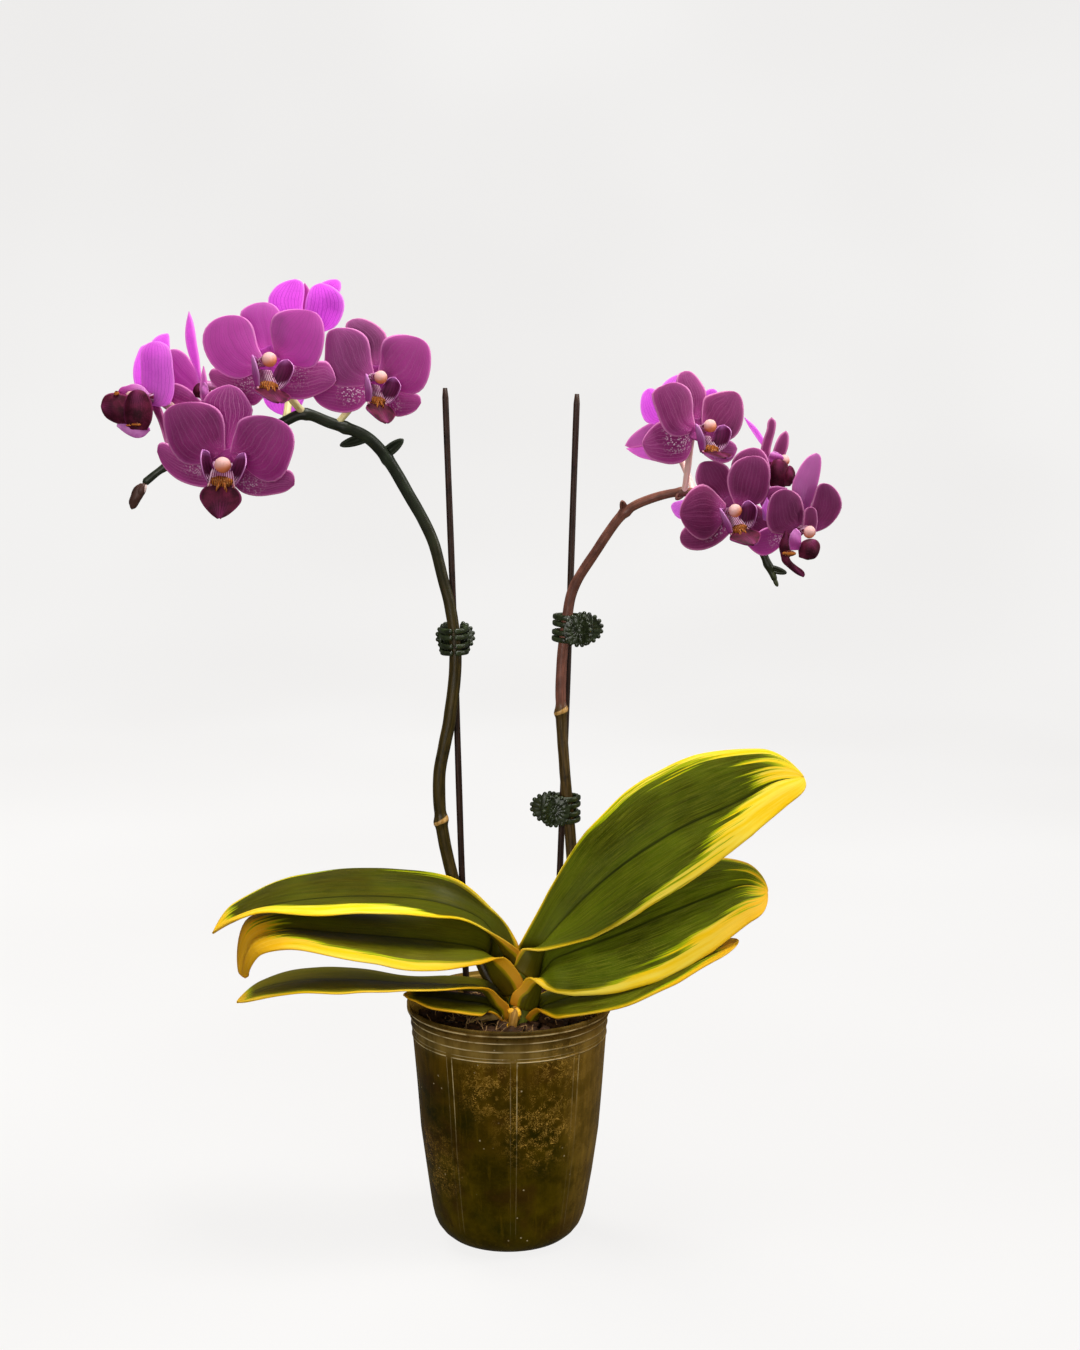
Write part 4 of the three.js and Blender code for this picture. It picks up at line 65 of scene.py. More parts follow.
    'right_2': {"centre": [90.9, -38.0, 327.5], "turn": [20, 0, -29], "size": 0.84, "joins": [97.1, -14.8, 327.2], "lip": [18, 1.0, 62, 0.0], "cup": True, "column": [0, 0, 0], "sheets": {"left_petal": {"lo": [[89.1, -40.2, 324.0], [85.8, -41.7, 319.2], [83.3, -42.8, 316.9], [80.4, -44.1, 316.1], [77.0, -45.6, 317.4], [73.6, -47.0, 320.6], [71.5, -48.0, 323.9], [70.4, -48.7, 327.0]], "hi": [[89.9, -40.0, 330.5], [86.0, -41.6, 334.7], [83.0, -42.9, 337.6], [80.1, -44.1, 338.9], [77.6, -45.2, 338.4], [74.7, -46.5, 336.5], [72.2, -47.6, 333.2], [70.8, -48.3, 330.2], [70.4, -48.7, 327.0]], "dome": 0.12, "speck": 0}, "right_petal": {"lo": [[93.2, -38.7, 330.4], [90.8, -40.0, 336.2], [90.1, -40.6, 340.3], [91.0, -40.6, 344.4], [93.3, -40.2, 347.6], [96.6, -39.3, 349.3], [100.3, -38.3, 349.9]], "hi": [[96.6, -37.5, 329.5], [103.0, -35.5, 329.9], [106.3, -34.5, 332.1], [107.9, -34.2, 336.2], [108.2, -34.4, 341.1], [107.7, -34.8, 345.4], [105.7, -35.8, 348.5], [103.1, -37.0, 349.7], [100.3, -38.3, 349.9]], "dome": 0.12, "speck": 0}, "dorsal_sepal": {"lo": [[88.4, -37.8, 329.5], [82.5, -39.8, 335.4], [78.1, -41.2, 337.9], [77.1, -41.4, 341.2], [77.6, -41.1, 344.4], [78.8, -40.4, 346.8], [81.1, -39.4, 347.8]], "hi": [[93.1, -36.1, 329.4], [93.0, -36.0, 338.0], [92.1, -36.2, 342.0], [90.8, -36.4, 345.3], [87.8, -37.3, 347.2], [84.5, -38.4, 347.8], [81.1, -39.4, 347.8]], "dome": 0.12, "speck": 0, "veiny": 0.5}, "left_sepal": {"lo": [[92.5, -35.8, 318.7], [88.7, -36.7, 315.1], [84.6, -37.8, 312.7], [79.6, -39.2, 311.5], [74.6, -40.6, 312.2], [71.8, -41.2, 314.5], [71.2, -40.9, 317.1]], "hi": [[91.9, -36.0, 326.9], [84.4, -38.2, 325.5], [77.7, -40.1, 324.0], [73.6, -41.1, 321.6], [71.9, -41.2, 319.6], [71.2, -40.9, 317.1]], "dome": 0.12, "speck": 1.3, "veiny": 0.7}, "right_sepal": {"lo": [[95.4, -34.8, 321.5], [99.8, -32.3, 319.2], [103.7, -30.0, 317.7], [107.7, -27.6, 317.1]], "hi": [[96.9, -34.2, 331.7], [103.4, -31.2, 329.4], [107.0, -29.2, 326.3], [109.1, -27.8, 322.1], [107.7, -27.6, 317.1]], "dome": 0.12, "speck": -0.4, "veiny": 0.7}}, "lobes": [], "route": None, "aside": 8, "stalk": 1.0, "pales": {}, "tone": 0.14, "tones": {"dorsal_sepal": 0.12, "left_sepal": 0.16, "right_sepal": 0.14}, "varies": {"dorsal_sepal": [-14, 0.95, 0.9, 0], "left_sepal": [-10, 1, 1, 0]}},
    'right_3': {"centre": [120.2, -30.0, 320.2], "turn": [38, -18, 2], "size": 0.82, "joins": [103.0, -17.2, 320.4], "lip": [-10, 1.0, 88, 0.0], "cup": True, "column": [0, 0, 0], "sheets": {"left_petal": {"lo": [[120.1, -31.1, 317.8], [113.3, -36.7, 317.9], [108.0, -41.7, 319.5], [105.8, -45.6, 324.1], [105.8, -47.8, 328.7], [106.4, -49.1, 332.5], [107.9, -49.3, 335.3], [110.4, -48.2, 336.8], [113.5, -46.2, 337.1]], "hi": [[121.9, -30.2, 319.0], [122.3, -32.0, 323.3], [122.4, -33.8, 327.1], [121.5, -36.3, 330.6], [120.1, -38.9, 333.5], [117.2, -42.5, 335.8], [113.5, -46.2, 337.1]], "dome": 0.12, "speck": 0}, "right_petal": {"lo": [[124.4, -26.8, 318.6], [125.0, -29.2, 325.1], [126.1, -30.6, 330.2], [127.1, -31.8, 334.4], [127.8, -32.5, 336.8], [129.2, -32.1, 338.2], [131.3, -30.8, 338.3]], "hi": [[126.8, -24.3, 317.2], [130.9, -21.5, 317.9], [134.9, -19.3, 319.7], [138.3, -18.3, 323.3], [140.0, -18.9, 327.5], [139.2, -21.3, 331.5], [136.8, -24.8, 335.1], [133.9, -28.2, 337.4], [131.3, -30.8, 338.3]], "dome": 0.12, "speck": 0}, "dorsal_sepal": {"lo": [[122.4, -25.6, 318.5], [118.9, -32.7, 329.5], [117.1, -36.2, 335.1], [117.1, -37.5, 338.9], [118.7, -37.8, 343.0], [120.8, -37.5, 346.8], [123.8, -36.3, 349.8], [126.9, -34.1, 350.9]], "hi": [[125.2, -23.3, 318.3], [126.2, -26.7, 329.0], [127.5, -27.5, 333.6], [128.6, -28.1, 337.8], [129.3, -29.3, 342.4], [129.5, -30.8, 347.0], [128.8, -32.3, 349.7], [126.9, -34.1, 350.9]], "dome": 0.12, "speck": 0, "veiny": 0.8}, "left_sepal": {"lo": [[116.9, -27.4, 314.1], [114.7, -28.4, 313.0], [111.8, -29.5, 310.6], [108.7, -31.0, 309.0], [105.6, -33.1, 308.7], [102.0, -36.5, 310.6], [99.1, -39.6, 313.3]], "hi": [[119.3, -27.6, 319.1], [112.8, -33.1, 320.9], [107.5, -37.0, 320.9], [104.0, -38.8, 319.4], [101.1, -39.8, 316.8], [99.1, -39.6, 313.3]], "dome": 0.12, "speck": 1.5, "veiny": 0.7}, "right_sepal": {"lo": [[122.5, -31.7, 317.5], [122.1, -34.9, 323.5], [122.5, -36.6, 327.8], [124.0, -36.3, 328.9], [125.5, -35.4, 328.9]], "hi": [[128.1, -27.0, 316.6], [128.7, -28.8, 321.3], [128.2, -31.4, 325.7], [127.1, -33.5, 328.1], [125.5, -35.4, 328.9]], "dome": 0.12, "speck": 0, "veiny": 0.5}}, "lobes": [{"part": 1, "side": 1, "dome": 0.4, "lo": [[116.2, -41.0, 311.8], [115.7, -41.0, 315.5], [116.5, -41.0, 318.8], [118.5, -41.0, 320.7]], "hi": [[120.1, -41.0, 311.8], [120.6, -41.0, 315.5], [120.3, -41.0, 318.8], [118.5, -41.0, 320.7]]}, {"part": 0, "side": 0, "dome": 0.4, "lo": [[112.8, -39.0, 308.7], [112.0, -39.0, 313.2], [113.1, -39.0, 316.9], [114.6, -39.0, 319.6]], "hi": [[116.5, -39.0, 308.7], [116.8, -39.0, 313.2], [116.5, -39.0, 316.9], [114.6, -39.0, 319.6]]}, {"part": 0, "side": 0, "dome": 0.5, "lo": [[119.9, -41.0, 308.9], [119.7, -41.0, 312.2], [121.0, -41.0, 315.1], [123.4, -41.0, 316.2], [125.9, -41.0, 316.2]], "hi": [[123.6, -41.0, 307.8], [126.5, -41.0, 308.6], [128.2, -41.0, 311.4], [128.3, -41.0, 313.9], [127.3, -41.0, 315.5], [125.9, -41.0, 316.2]]}, {"part": 2, "at": [115.6, -43.0, 310.6], "radii": [2.8, 1.23, 1.23]}, {"part": 0, "side": 0, "dome": 0.4, "lo": [[112.7, -40.0, 310.5], [113.1, -40.0, 307.2], [116.0, -40.0, 304.3], [119.4, -40.0, 301.7], [122.0, -40.0, 300.6]], "hi": [[115.5, -40.0, 310.1], [116.8, -40.0, 307.2], [119.3, -40.0, 305.0], [121.8, -40.0, 303.2], [122.5, -40.0, 301.6], [122.0, -40.0, 300.6]]}], "route": [[118, -24, 318], [112, -18, 318]], "aside": 6, "stalk": 1.0, "pales": {"dorsal_sepal": 0.5}, "tone": 0.2, "tones": {"dorsal_sepal": 0.5, "left_sepal": 0.5, "right_sepal": 0.2}, "varies": {"dorsal_sepal": [12, 1.26, 0.9, 0.1], "right_sepal": [0, 0.8, 1, -0.6]}},
    'right_4': {"centre": [110.8, -10.0, 345.3], "turn": [70, 6, -4], "size": 0.72, "joins": [90.7, -12.1, 331.0], "lip": [0, 1.0, 30, 0.0], "cup": False, "column": [0, 0, 0], "sheets": {"left_petal": {"lo": [[108.9, -8.0, 346.4], [107.1, -8.0, 350.6], [107.9, -8.0, 354.8], [109.3, -8.0, 359.4], [109.8, -8.0, 362.7], [111.3, -8.0, 364.3]], "hi": [[111.4, -8.0, 346.4], [111.1, -8.0, 350.2], [111.9, -8.0, 354.4], [113.0, -8.0, 359.0], [113.1, -8.0, 362.5], [111.3, -8.0, 364.3]], "dome": 0.2, "speck": 0, "veiny": 0.5}, "right_petal": {"lo": [[113.3, -6.0, 345.9], [112.2, -6.0, 348.4], [112.8, -6.0, 351.8], [113.8, -6.0, 354.5], [115.4, -6.0, 357.0], [117.7, -6.0, 358.6]], "hi": [[116.7, -6.0, 345.9], [117.7, -6.0, 348.6], [118.7, -6.0, 351.8], [119.0, -6.0, 354.7], [118.7, -6.0, 357.2], [117.7, -6.0, 358.6]], "dome": 0.2, "speck": 0, "veiny": 0.5}, "dorsal_sepal": {"lo": [[108.5, -3.0, 351.6], [105.9, -3.0, 355.0], [102.8, -3.0, 359.4], [100.3, -3.0, 364.1]], "hi": [[109.7, -3.0, 352.4], [108.4, -3.0, 355.6], [104.9, -3.0, 360.4], [100.3, -3.0, 364.1]], "dome": 0.3, "speck": 0, "veiny": 0.9}}, "lobes": [{"part": 0, "side": 0, "dome": 0.45, "lo": [[110.6, -17.0, 335.3], [109.7, -17.0, 339.5], [109.9, -17.0, 343.6], [111.2, -17.0, 346.6], [113.7, -17.0, 347.5]], "hi": [[116.0, -17.0, 335.3], [117.9, -17.0, 338.6], [118.0, -17.0, 342.8], [116.9, -17.0, 345.7], [113.7, -17.0, 347.5]]}, {"part": 0, "side": 0, "dome": 0.5, "lo": [[116.2, -19.0, 336.1], [116.2, -19.0, 339.6], [116.5, -19.0, 342.9], [117.9, -19.0, 344.8]], "hi": [[118.3, -19.0, 336.3], [120.0, -19.0, 338.8], [120.3, -19.0, 341.7], [119.1, -19.0, 344.1], [117.9, -19.0, 344.8]]}, {"part": 1, "side": 1, "dome": 0.3, "lo": [[109.5, -14.0, 345.9], [109.7, -14.0, 348.4], [110.9, -14.0, 349.9], [112.3, -14.0, 350.3]], "hi": [[116.2, -14.0, 346.4], [115.9, -14.0, 348.0], [114.2, -14.0, 349.5], [112.3, -14.0, 350.3]]}], "route": [[106, -3, 340], [98, -3, 335]], "aside": 0, "stalk": 1.0, "pales": {"dorsal_sepal": 0.35}, "tone": 0.25, "tones": {"left_petal": 0.2, "right_petal": 0.2, "dorsal_sepal": 1.0}, "varies": {"right_petal": [30, 0.85, 0.9, 0.3], "left_petal": [-30, 0.85, 0.9, 0.35], "right_sepal": [-30, 0.6, 0.9, 0], "left_sepal": [30, 0.6, 0.9, 0], "dorsal_sepal": [0, 0.85, 0.7, 0.1]}},
    'right_5': {"centre": [95.5, -21, 333.5], "turn": [10, 12, 8], "size": 0.72, "joins": [86.6, -10.3, 332.1], "lip": [0, 0.75, 30, 0.0], "cup": False, "column": [0, 0, 0], "sheets": {"left_petal": {"lo": [[100.8, -20.0, 332.6], [96.1, -20.0, 336.8], [93.5, -20.0, 343.0], [94.3, -20.0, 347.6], [97.1, -20.0, 350.5], [100.4, -20.0, 351.9], [102.9, -20.0, 352.3]], "hi": [[107.8, -20.0, 332.6], [109.8, -20.0, 338.0], [109.7, -20.0, 343.8], [108.4, -20.0, 348.4], [106.1, -20.0, 351.3], [102.9, -20.0, 352.3]], "dome": 0.15, "speck": 0, "veiny": 0.5}, "right_petal": {"lo": [[105.1, -19.0, 330.5], [107.5, -19.0, 334.6], [112.0, -19.0, 336.3], [117.1, -19.0, 335.5]], "hi": [[107.6, -19.0, 325.4], [113.5, -19.0, 327.1], [117.2, -19.0, 330.5], [117.1, -19.0, 335.5]], "dome": 0.15, "speck": 0, "veiny": 0.5}, "dorsal_sepal": {"lo": [[102.8, -16.0, 333.6], [101.0, -16.0, 338.6], [101.8, -16.0, 343.6], [104.7, -16.0, 346.1]], "hi": [[107.8, -16.0, 333.6], [109.0, -16.0, 338.6], [108.1, -16.0, 343.6], [104.7, -16.0, 346.1]], "dome": 0.15, "speck": 0, "veiny": 0.5}, "left_sepal": {"lo": [[102.5, -12.0, 327.8], [87.8, -12.0, 324.8], [77.3, -12.0, 321.5], [72.2, -12.0, 322.3], [69.9, -12.0, 325.1], [69.2, -12.0, 327.6], [70.5, -12.0, 328.9]], "hi": [[101.5, -12.0, 332.0], [87.7, -12.0, 330.7], [77.2, -12.0, 330.3], [73.0, -12.0, 329.7], [71.7, -12.0, 329.3], [70.5, -12.0, 328.9]], "dome": 0.15, "speck": 0, "veiny": 0.5}, "right_sepal": {"lo": [[107.4, -30.0, 322.7], [104.5, -30.0, 324.1], [105.2, -30.0, 327.6], [107.6, -30.0, 332.5]], "hi": [[109.4, -30.0, 322.7], [109.1, -30.0, 327.2], [108.7, -30.0, 330.1], [107.6, -30.0, 332.5]], "dome": 0.15, "speck": 0, "veiny": 1.0}}, "lobes": [], "route": None, "aside": 0, "stalk": 1.0, "pales": {"left_sepal": 0.85, "right_sepal": 0.5}, "tone": 0.15, "tones": {"left_petal": 0.25, "right_petal": 0.3, "dorsal_sepal": 0.3, "left_sepal": 1.0, "right_sepal": 1.0}, "varies": {}},
    'right_6': {"centre": [73.7, 4.0, 360.9], "turn": [-150, 5, 10], "size": 0.82, "joins": [79.2, -7.7, 333.0], "lip": [0, 1.0, 30, 0.0], "cup": False, "column": [0, 0, 0], "sheets": {"left_petal": {"lo": [[66.8, 2.0, 359.3], [62.9, 2.0, 360.8], [59.1, 2.0, 361.9], [57.1, 2.0, 365.7], [56.7, 2.0, 370.3], [57.7, 2.0, 374.1], [59.8, 2.0, 375.9]], "hi": [[70.1, 2.0, 362.7], [68.4, 2.0, 367.8], [65.8, 2.0, 372.4], [63.5, 2.0, 375.1], [61.5, 2.0, 376.1], [59.8, 2.0, 375.9]], "dome": 0.12, "speck": 0, "veiny": 0.5}, "right_petal": {"lo": [[80.4, 3.0, 366.1], [82.0, 3.0, 371.1], [83.7, 3.0, 374.3], [85.6, 3.0, 375.6], [87.7, 3.0, 375.8]], "hi": [[85.5, 3.0, 366.1], [87.1, 3.0, 370.3], [88.8, 3.0, 373.2], [89.2, 3.0, 374.9], [87.7, 3.0, 375.8]], "dome": 0.12, "speck": 0, "veiny": 0.5}, "dorsal_sepal": {"lo": [[72.1, 7.0, 365.9], [67.0, 7.0, 371.8], [65.6, 7.0, 376.1], [67.3, 7.0, 378.6], [69.9, 7.0, 380.5], [72.4, 7.0, 381.6]], "hi": [[78.1, 7.0, 365.9], [77.2, 7.0, 372.7], [75.9, 7.0, 376.9], [74.5, 7.0, 379.6], [72.4, 7.0, 381.6]], "dome": 0.12, "speck": 0, "veiny": 0.4}, "left_sepal": {"lo": [[71.2, 4.0, 351.6], [65.3, 4.0, 351.8], [60.2, 4.0, 351.6], [55.9, 4.0, 351.1], [52.5, 4.0, 350.8], [50.3, 4.0, 351.8]], "hi": [[71.1, 4.0, 360.9], [66.9, 4.0, 362.4], [63.5, 4.0, 362.3], [59.2, 4.0, 360.5], [55.0, 4.0, 357.8], [52.0, 4.0, 354.8], [50.3, 4.0, 351.8]], "dome": 0.12, "speck": 0, "veiny": 0.9}, "right_sepal": {"lo": [[71.5, 7.0, 344.6], [65.5, 7.0, 344.6], [61.2, 7.0, 345.5], [56.9, 7.0, 346.6], [53.5, 7.0, 348.5], [51.0, 7.0, 350.4]], "hi": [[71.4, 7.0, 354.0], [65.4, 7.0, 353.6], [60.3, 7.0, 352.7], [56.9, 7.0, 351.9], [53.5, 7.0, 351.0], [51.0, 7.0, 350.4]], "dome": 0.12, "speck": 0, "veiny": 0.9}}, "lobes": [], "route": [[72, 3, 352], [76, 2, 342]], "aside": 0, "stalk": 0.85, "pales": {"left_sepal": 0.3, "right_sepal": 0.5, "left_petal": 0.25, "right_petal": 0.3, "dorsal_sepal": 0.5}, "tone": 0.6, "tones": {"left_petal": 0.98, "right_petal": 1.0, "dorsal_sepal": 1.0, "left_sepal": 0.55, "right_sepal": 0.75}, "varies": {"dorsal_sepal": [0, 0.8, 1, 0], "right_sepal": [-4, 1.25, 1, 0]}},
}
SPIKES = {
    'flower_spike_left': {"bud": [[-151.1, -21.0, 338.1], [-156.2, -21.0, 327.1]], "path": [[-1.0, 2.0, 102.9], [-4.6, 4.0, 109.2], [-10.9, 8.0, 119.0], [-18.5, 12.0, 139.5], [-25.3, 13.0, 161.8], [-29.8, 12.5, 186.1], [-30.3, 12.3, 206.5], [-25.7, 12.3, 231.2], [-23.1, 12.4, 252.6], [-23.1, 12.4, 266.8], [-25.2, 12.2, 282.2], [-28.0, 11.5, 293.3], [-32.5, 9.0, 311.4], [-42.5, 5.0, 331.5], [-52.3, 0.0, 348.5], [-59.7, -5.0, 356.3], [-73.6, -9.0, 361.9], [-84.5, -12.0, 365.8], [-94.4, -14.0, 361.8], [-106.9, -15.0, 356.8], [-118.5, -16.0, 352.7], [-131.0, -17.0, 350.3], [-142.9, -18.0, 343.7], [-151.1, -19.0, 337.3]], "radius": [2.6, 2.6, 2.6, 2.62, 2.7, 2.8, 2.79, 2.83, 2.77, 2.64, 2.48, 2.46, 2.52, 2.6, 2.63, 2.5, 2.43, 2.29, 2.08, 1.8, 1.68, 1.62, 1.5, 1.69], "nodes": [[0.2408, 1.0], [0.6912, 0.45], [0.7538, 0.5], [0.8007, 0.45], [0.8695, 0.4], [0.9696, 0.4]], "bracts": [[0.6975, [-43.9, -2.6, 354.7], 1.9], [0.7288, [-69.9, -7.5, 352.5], 1.7]], "scale_turn": 0.6},
    'flower_spike_right': {"bud": None, "path": [[12.8, 2.0, 101.0], [16.8, 4.0, 105.9], [21.3, 8.0, 111.6], [26.6, 12.0, 131.2], [28.8, 14.5, 152.2], [28.1, 15.0, 171.8], [26.5, 14.8, 191.0], [24.9, 14.2, 210.6], [23.3, 13.6, 235.5], [23.7, 13.1, 257.8], [25.7, 12.9, 274.6], [28.4, 12.0, 288.8], [38.9, 7.0, 307.2], [50.5, 2.0, 323.6], [60.9, -2.0, 329.5], [74.2, -6.0, 332.8], [85.7, -10.0, 332.3], [95.0, -14.0, 328.8], [101.8, -17.0, 321.1], [106.1, -19.0, 311.6], [109.7, -20.0, 303.3], [112.7, -21.0, 296.7]], "radius": [2.62, 2.62, 2.62, 2.62, 2.57, 2.52, 2.47, 2.42, 2.42, 2.36, 2.31, 2.26, 2.15, 2.05, 1.94, 1.78, 1.68, 1.58, 1.88, 1.75, 1.61, 1.21], "nodes": [[0.4316, 1.0], [0.7295, 0.6], [0.8116, 0.6], [0.8511, 0.4], [0.9179, 0.5], [0.9787, 0.5]], "bracts": [[0.7325, [49.0, -0.8, 328.6], 1.2], [0.8146, [71.5, -8.7, 330.0], 1.1], [0.9818, [116.9, -22.7, 300.3], 1.1]], "scale_turn": 2.2},
}
STAKES = {
    'stake_left': [[-26.7, 14.0, 375.9], [-16.7, 22.2, 14.0]],
    'stake_right': [[30.0, 15.0, 373.3], [18.3, 21.8, 14.0]],
}
ROOTS = {
    'aerial_root_front': {"path": [[4, -8.5, 105.5], [3, -14, 106], [2.2, -17.5, 102.5], [1.8, -19, 95]], "radius": 2.1},
    'aerial_root_low': {"path": [[0, -8, 100], [-1, -12, 101], [-2.5, -14.8, 98.5], [-3, -15.5, 93]], "radius": 1.5},
    'aerial_root_left': {"path": [[-3, -4.5, 101.5], [-11, -9, 101.5], [-19, -14, 98.6], [-25, -17.5, 93]], "radius": 1.6},
}
CLIPS = {
    'clip_left': {"pin": [-23.5, 22.2, 266.2], "pads": [0, 1, 0], "up": [-0.03, 0, 1]},
    'clip_upper': {"pin": [33.2, 12.4, 271.4], "pads": [0.94, -0.34, 0], "up": [0.05, 0, 1]},
    'clip_lower': {"pin": [18.4, 13.8, 190.6], "pads": [-0.94, -0.34, 0], "up": [0, 0, 1]},
}

# ------------------------------------------------------------------ node materials
def srgb(h):
    c = [int(h[i : i + 2], 16) / 255 for i in (1, 3, 5)]
    return [x / 12.92 if x <= 0.04045 else ((x + 0.055) / 1.055) ** 2.4 for x in c] + [1.0]


class Mat:
    """A small helper that writes a node tree."""

    def __init__(self, name):
        self.m = bpy.data.materials.new(name)
        self.m.use_nodes = True
        self.nt = self.m.node_tree
        self.nt.nodes.clear()
        self.out = self.nt.nodes.new("ShaderNodeOutputMaterial")

    def put(self, socket, v):
        if v is None:
            return
        if isinstance(v, bpy.types.NodeSocket):
            self.nt.links.new(v, socket)
        elif isinstance(v, bpy.types.Node):
            self.nt.links.new(v.outputs[0], socket)
        else:
            if socket.type == "RGBA" and isinstance(v, str):
                v = srgb(v)
            socket.default_value = v

    def n(self, kind, ins=None, **props):
        node = self.nt.nodes.new("ShaderNode" + kind)
        for k, v in props.items():
            setattr(node, k, v)
        for k, v in (ins or {}).items():
            self.put(node.inputs[k], v)
        return node

    def math(self, op, a, b=None, c=None, clamp=False):
        node = self.n("Math", operation=op, use_clamp=clamp)
        for i, v in enumerate((a, b, c)):
            self.put(node.inputs[i], v)
        return node.outputs[0]

    def step(self, v, lo, hi, a=0.0, b=1.0):
        node = self.n("MapRange", {"Value": v, "From Min": lo, "From Max": hi, "To Min": a, "To Max": b}, interpolation_type="SMOOTHSTEP")
        return node.outputs[0]

    def mix(self, fac, a, b, how="MIX"):
        node = self.n("Mix", data_type="RGBA", blend_type=how)
        self.put(node.inputs[0], fac)
        self.put(node.inputs[6], a)
        self.put(node.inputs[7], b)
        return node.outputs[2]

    def attr(self, name):
        return self.n("Attribute", attribute_name=name).outputs["Fac"]

    def attr3(self, name):
        return self.n("Attribute", attribute_name=name).outputs["Vector"]

    def obj(self):
        return self.n("TexCoord").outputs["Object"]

    def uv(self, name):
        return self.n("UVMap", uv_map=name).outputs[0]

    def scale(self, vec, xyz, add=(0, 0, 0)):
        return self.n("Mapping", {"Vector": vec, "Scale": xyz, "Location": add}).outputs[0]

    def noise(self, vec, scale, detail=3.0, rough=0.5, distort=0.0):
        return self.n("TexNoise", {"Vector": vec, "Scale": scale, "Detail": detail, "Roughness": rough, "Distortion": distort}).outputs["Fac"]

    def voronoi(self, vec, scale, feature="F1", out="Distance"):
        return self.n("TexVoronoi", {"Vector": vec, "Scale": scale}, feature=feature).outputs[out]

    def bump(self, height, strength, distance):
        return self.n("Bump", {"Height": height, "Strength": strength, "Distance": distance}).outputs[0]

    def principled(self, **ins):
        return self.n("BsdfPrincipled", {k.replace("_", " "): v for k, v in ins.items()})

    def done(self, shader):
        self.put(self.out.inputs["Surface"], shader.outputs[0] if isinstance(shader, bpy.types.Node) else shader)
        return self.m


# ------------------------------------------------------------------ mesh helpers
def build(name, verts, faces, mats, face_mat=None, uvs=None, attrs=None, body="plant", replaces=(), slot=None, flat=False):
    """A mesh object from points in millimetres. uvs: name -> per-vertex pairs. attrs: name -> per-vertex numbers."""
    me = bpy.data.meshes.new(name)
    v = np.asarray(verts, float) * MM
    me.from_pydata(v.tolist(), [], [tuple(int(i) for i in f) for f in faces])
    me.update()
    for m in mats:
        me.materials.append(m)
    if face_mat is not None:
        me.polygons.foreach_set("material_index", np.asarray(face_mat, np.int32))
    if not flat:
        me.polygons.foreach_set("use_smooth", np.ones(len(me.polygons), bool))
    loops = np.zeros(len(me.loops), np.int32)
    me.loops.foreach_get("vertex_index", loops)
    for k, uv in (uvs or {}).items():
        layer = me.uv_layers.new(name=k)
        layer.data.foreach_set("uv", np.asarray(uv, np.float32)[loops].ravel())
    for k, a in (attrs or {}).items():
        a = np.asarray(a, np.float32)
        at = me.attributes.new(k, "FLOAT", "POINT")
        at.data.foreach_set("value", a)
    o = bpy.data.objects.new(name, me)
    bpy.context.scene.collection.objects.link(o)
    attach(o, body)
    if replaces:
        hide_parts(*replaces)
    return o


class Soup:
    """Collects several closed shapes into one mesh."""

    def __init__(self):
        self.v, self.f, self.fm, self.uv, self.at = [], [], [], {}, {}
        self.n = 0

    def add(self, v, f, fm=None, mat=0, uvs=None, attrs=None):
        v = np.asarray(v, float)
        self.v.append(v)
        self.f += [[i + self.n for i in q] for q in f]
        self.fm += list(fm) if fm is not None else [mat] * len(f)
        for k, u in (uvs or {}).items():
            self.uv.setdefault(k, {})[self.n] = np.asarray(u, float)
        for k, u in (attrs or {}).items():
            self.at.setdefault(k, {})[self.n] = np.asarray(u, float)
        self.n += len(v)

    def object(self, name, mats, **kw):
        v = np.vstack(self.v)
        uvs, ats = {}, {}
        for k, parts in self.uv.items():
            a = np.zeros((self.n, 2))
            for i, u in parts.items():
                a[i : i + len(u)] = u
            uvs[k] = a
        for k, parts in self.at.items():
            a = np.zeros(self.n)
            for i, u in parts.items():
                a[i : i + len(u)] = u
            ats[k] = a
        return build(name, v, self.f, mats, self.fm, uvs, ats, **kw)


def unit(a):
    a = np.asarray(a, float)
    l = np.linalg.norm(a, axis=-1, keepdims=True)
    return a / np.maximum(l, 1e-9)


def grid_normals(P):
    du = np.gradient(P, axis=0)
    dv = np.gradient(P, axis=1)
    return unit(np.cross(du, dv))


def shell(P, th, N=None, flip=False):
    """A closed thin solid round the sheet of points P[i][j]: th is its full thickness at each point. Gives points, faces,
    and a face kind: 0 the side the normal points to, 1 the other, 2 the rim."""
    n, m = P.shape[:2]
    if N is None:
        N = grid_normals(P)
    if flip:
        N = -N
    th = np.broadcast_to(np.asarray(th, float), (n, m))[..., None]
    V = np.concatenate([(P + N * th / 2).reshape(-1, 3), (P - N * th / 2).reshape(-1, 3)])
    T = lambda i, j: i * m + j
    L = lambda i, j: n * m + i * m + j
    F, K = [], []
    for i in range(n - 1):
        for j in range(m - 1):
            q = [T(i, j), T(i + 1, j), T(i + 1, j + 1), T(i, j + 1)]
            F.append(q[::-1] if flip else q)
            K.append(0)
            q = [L(i, j), L(i, j + 1), L(i + 1, j + 1), L(i + 1, j)]
            F.append(q[::-1] if flip else q)
            K.append(1)
    for i in range(n - 1):
        for a, b in ((T(i, 0), T(i + 1, 0)), (T(i + 1, m - 1), T(i, m - 1))):
            q = [a, a + n * m, b + n * m, b]
            F.append(q[::-1] if flip else q)
            K.append(2)
    for j in range(m - 1):
        for a, b in ((T(0, j + 1), T(0, j)), (T(n - 1, j), T(n - 1, j + 1))):
            q = [a, a + n * m, b + n * m, b]
            F.append(q[::-1] if flip else q)
            K.append(2)
    return V, F, K


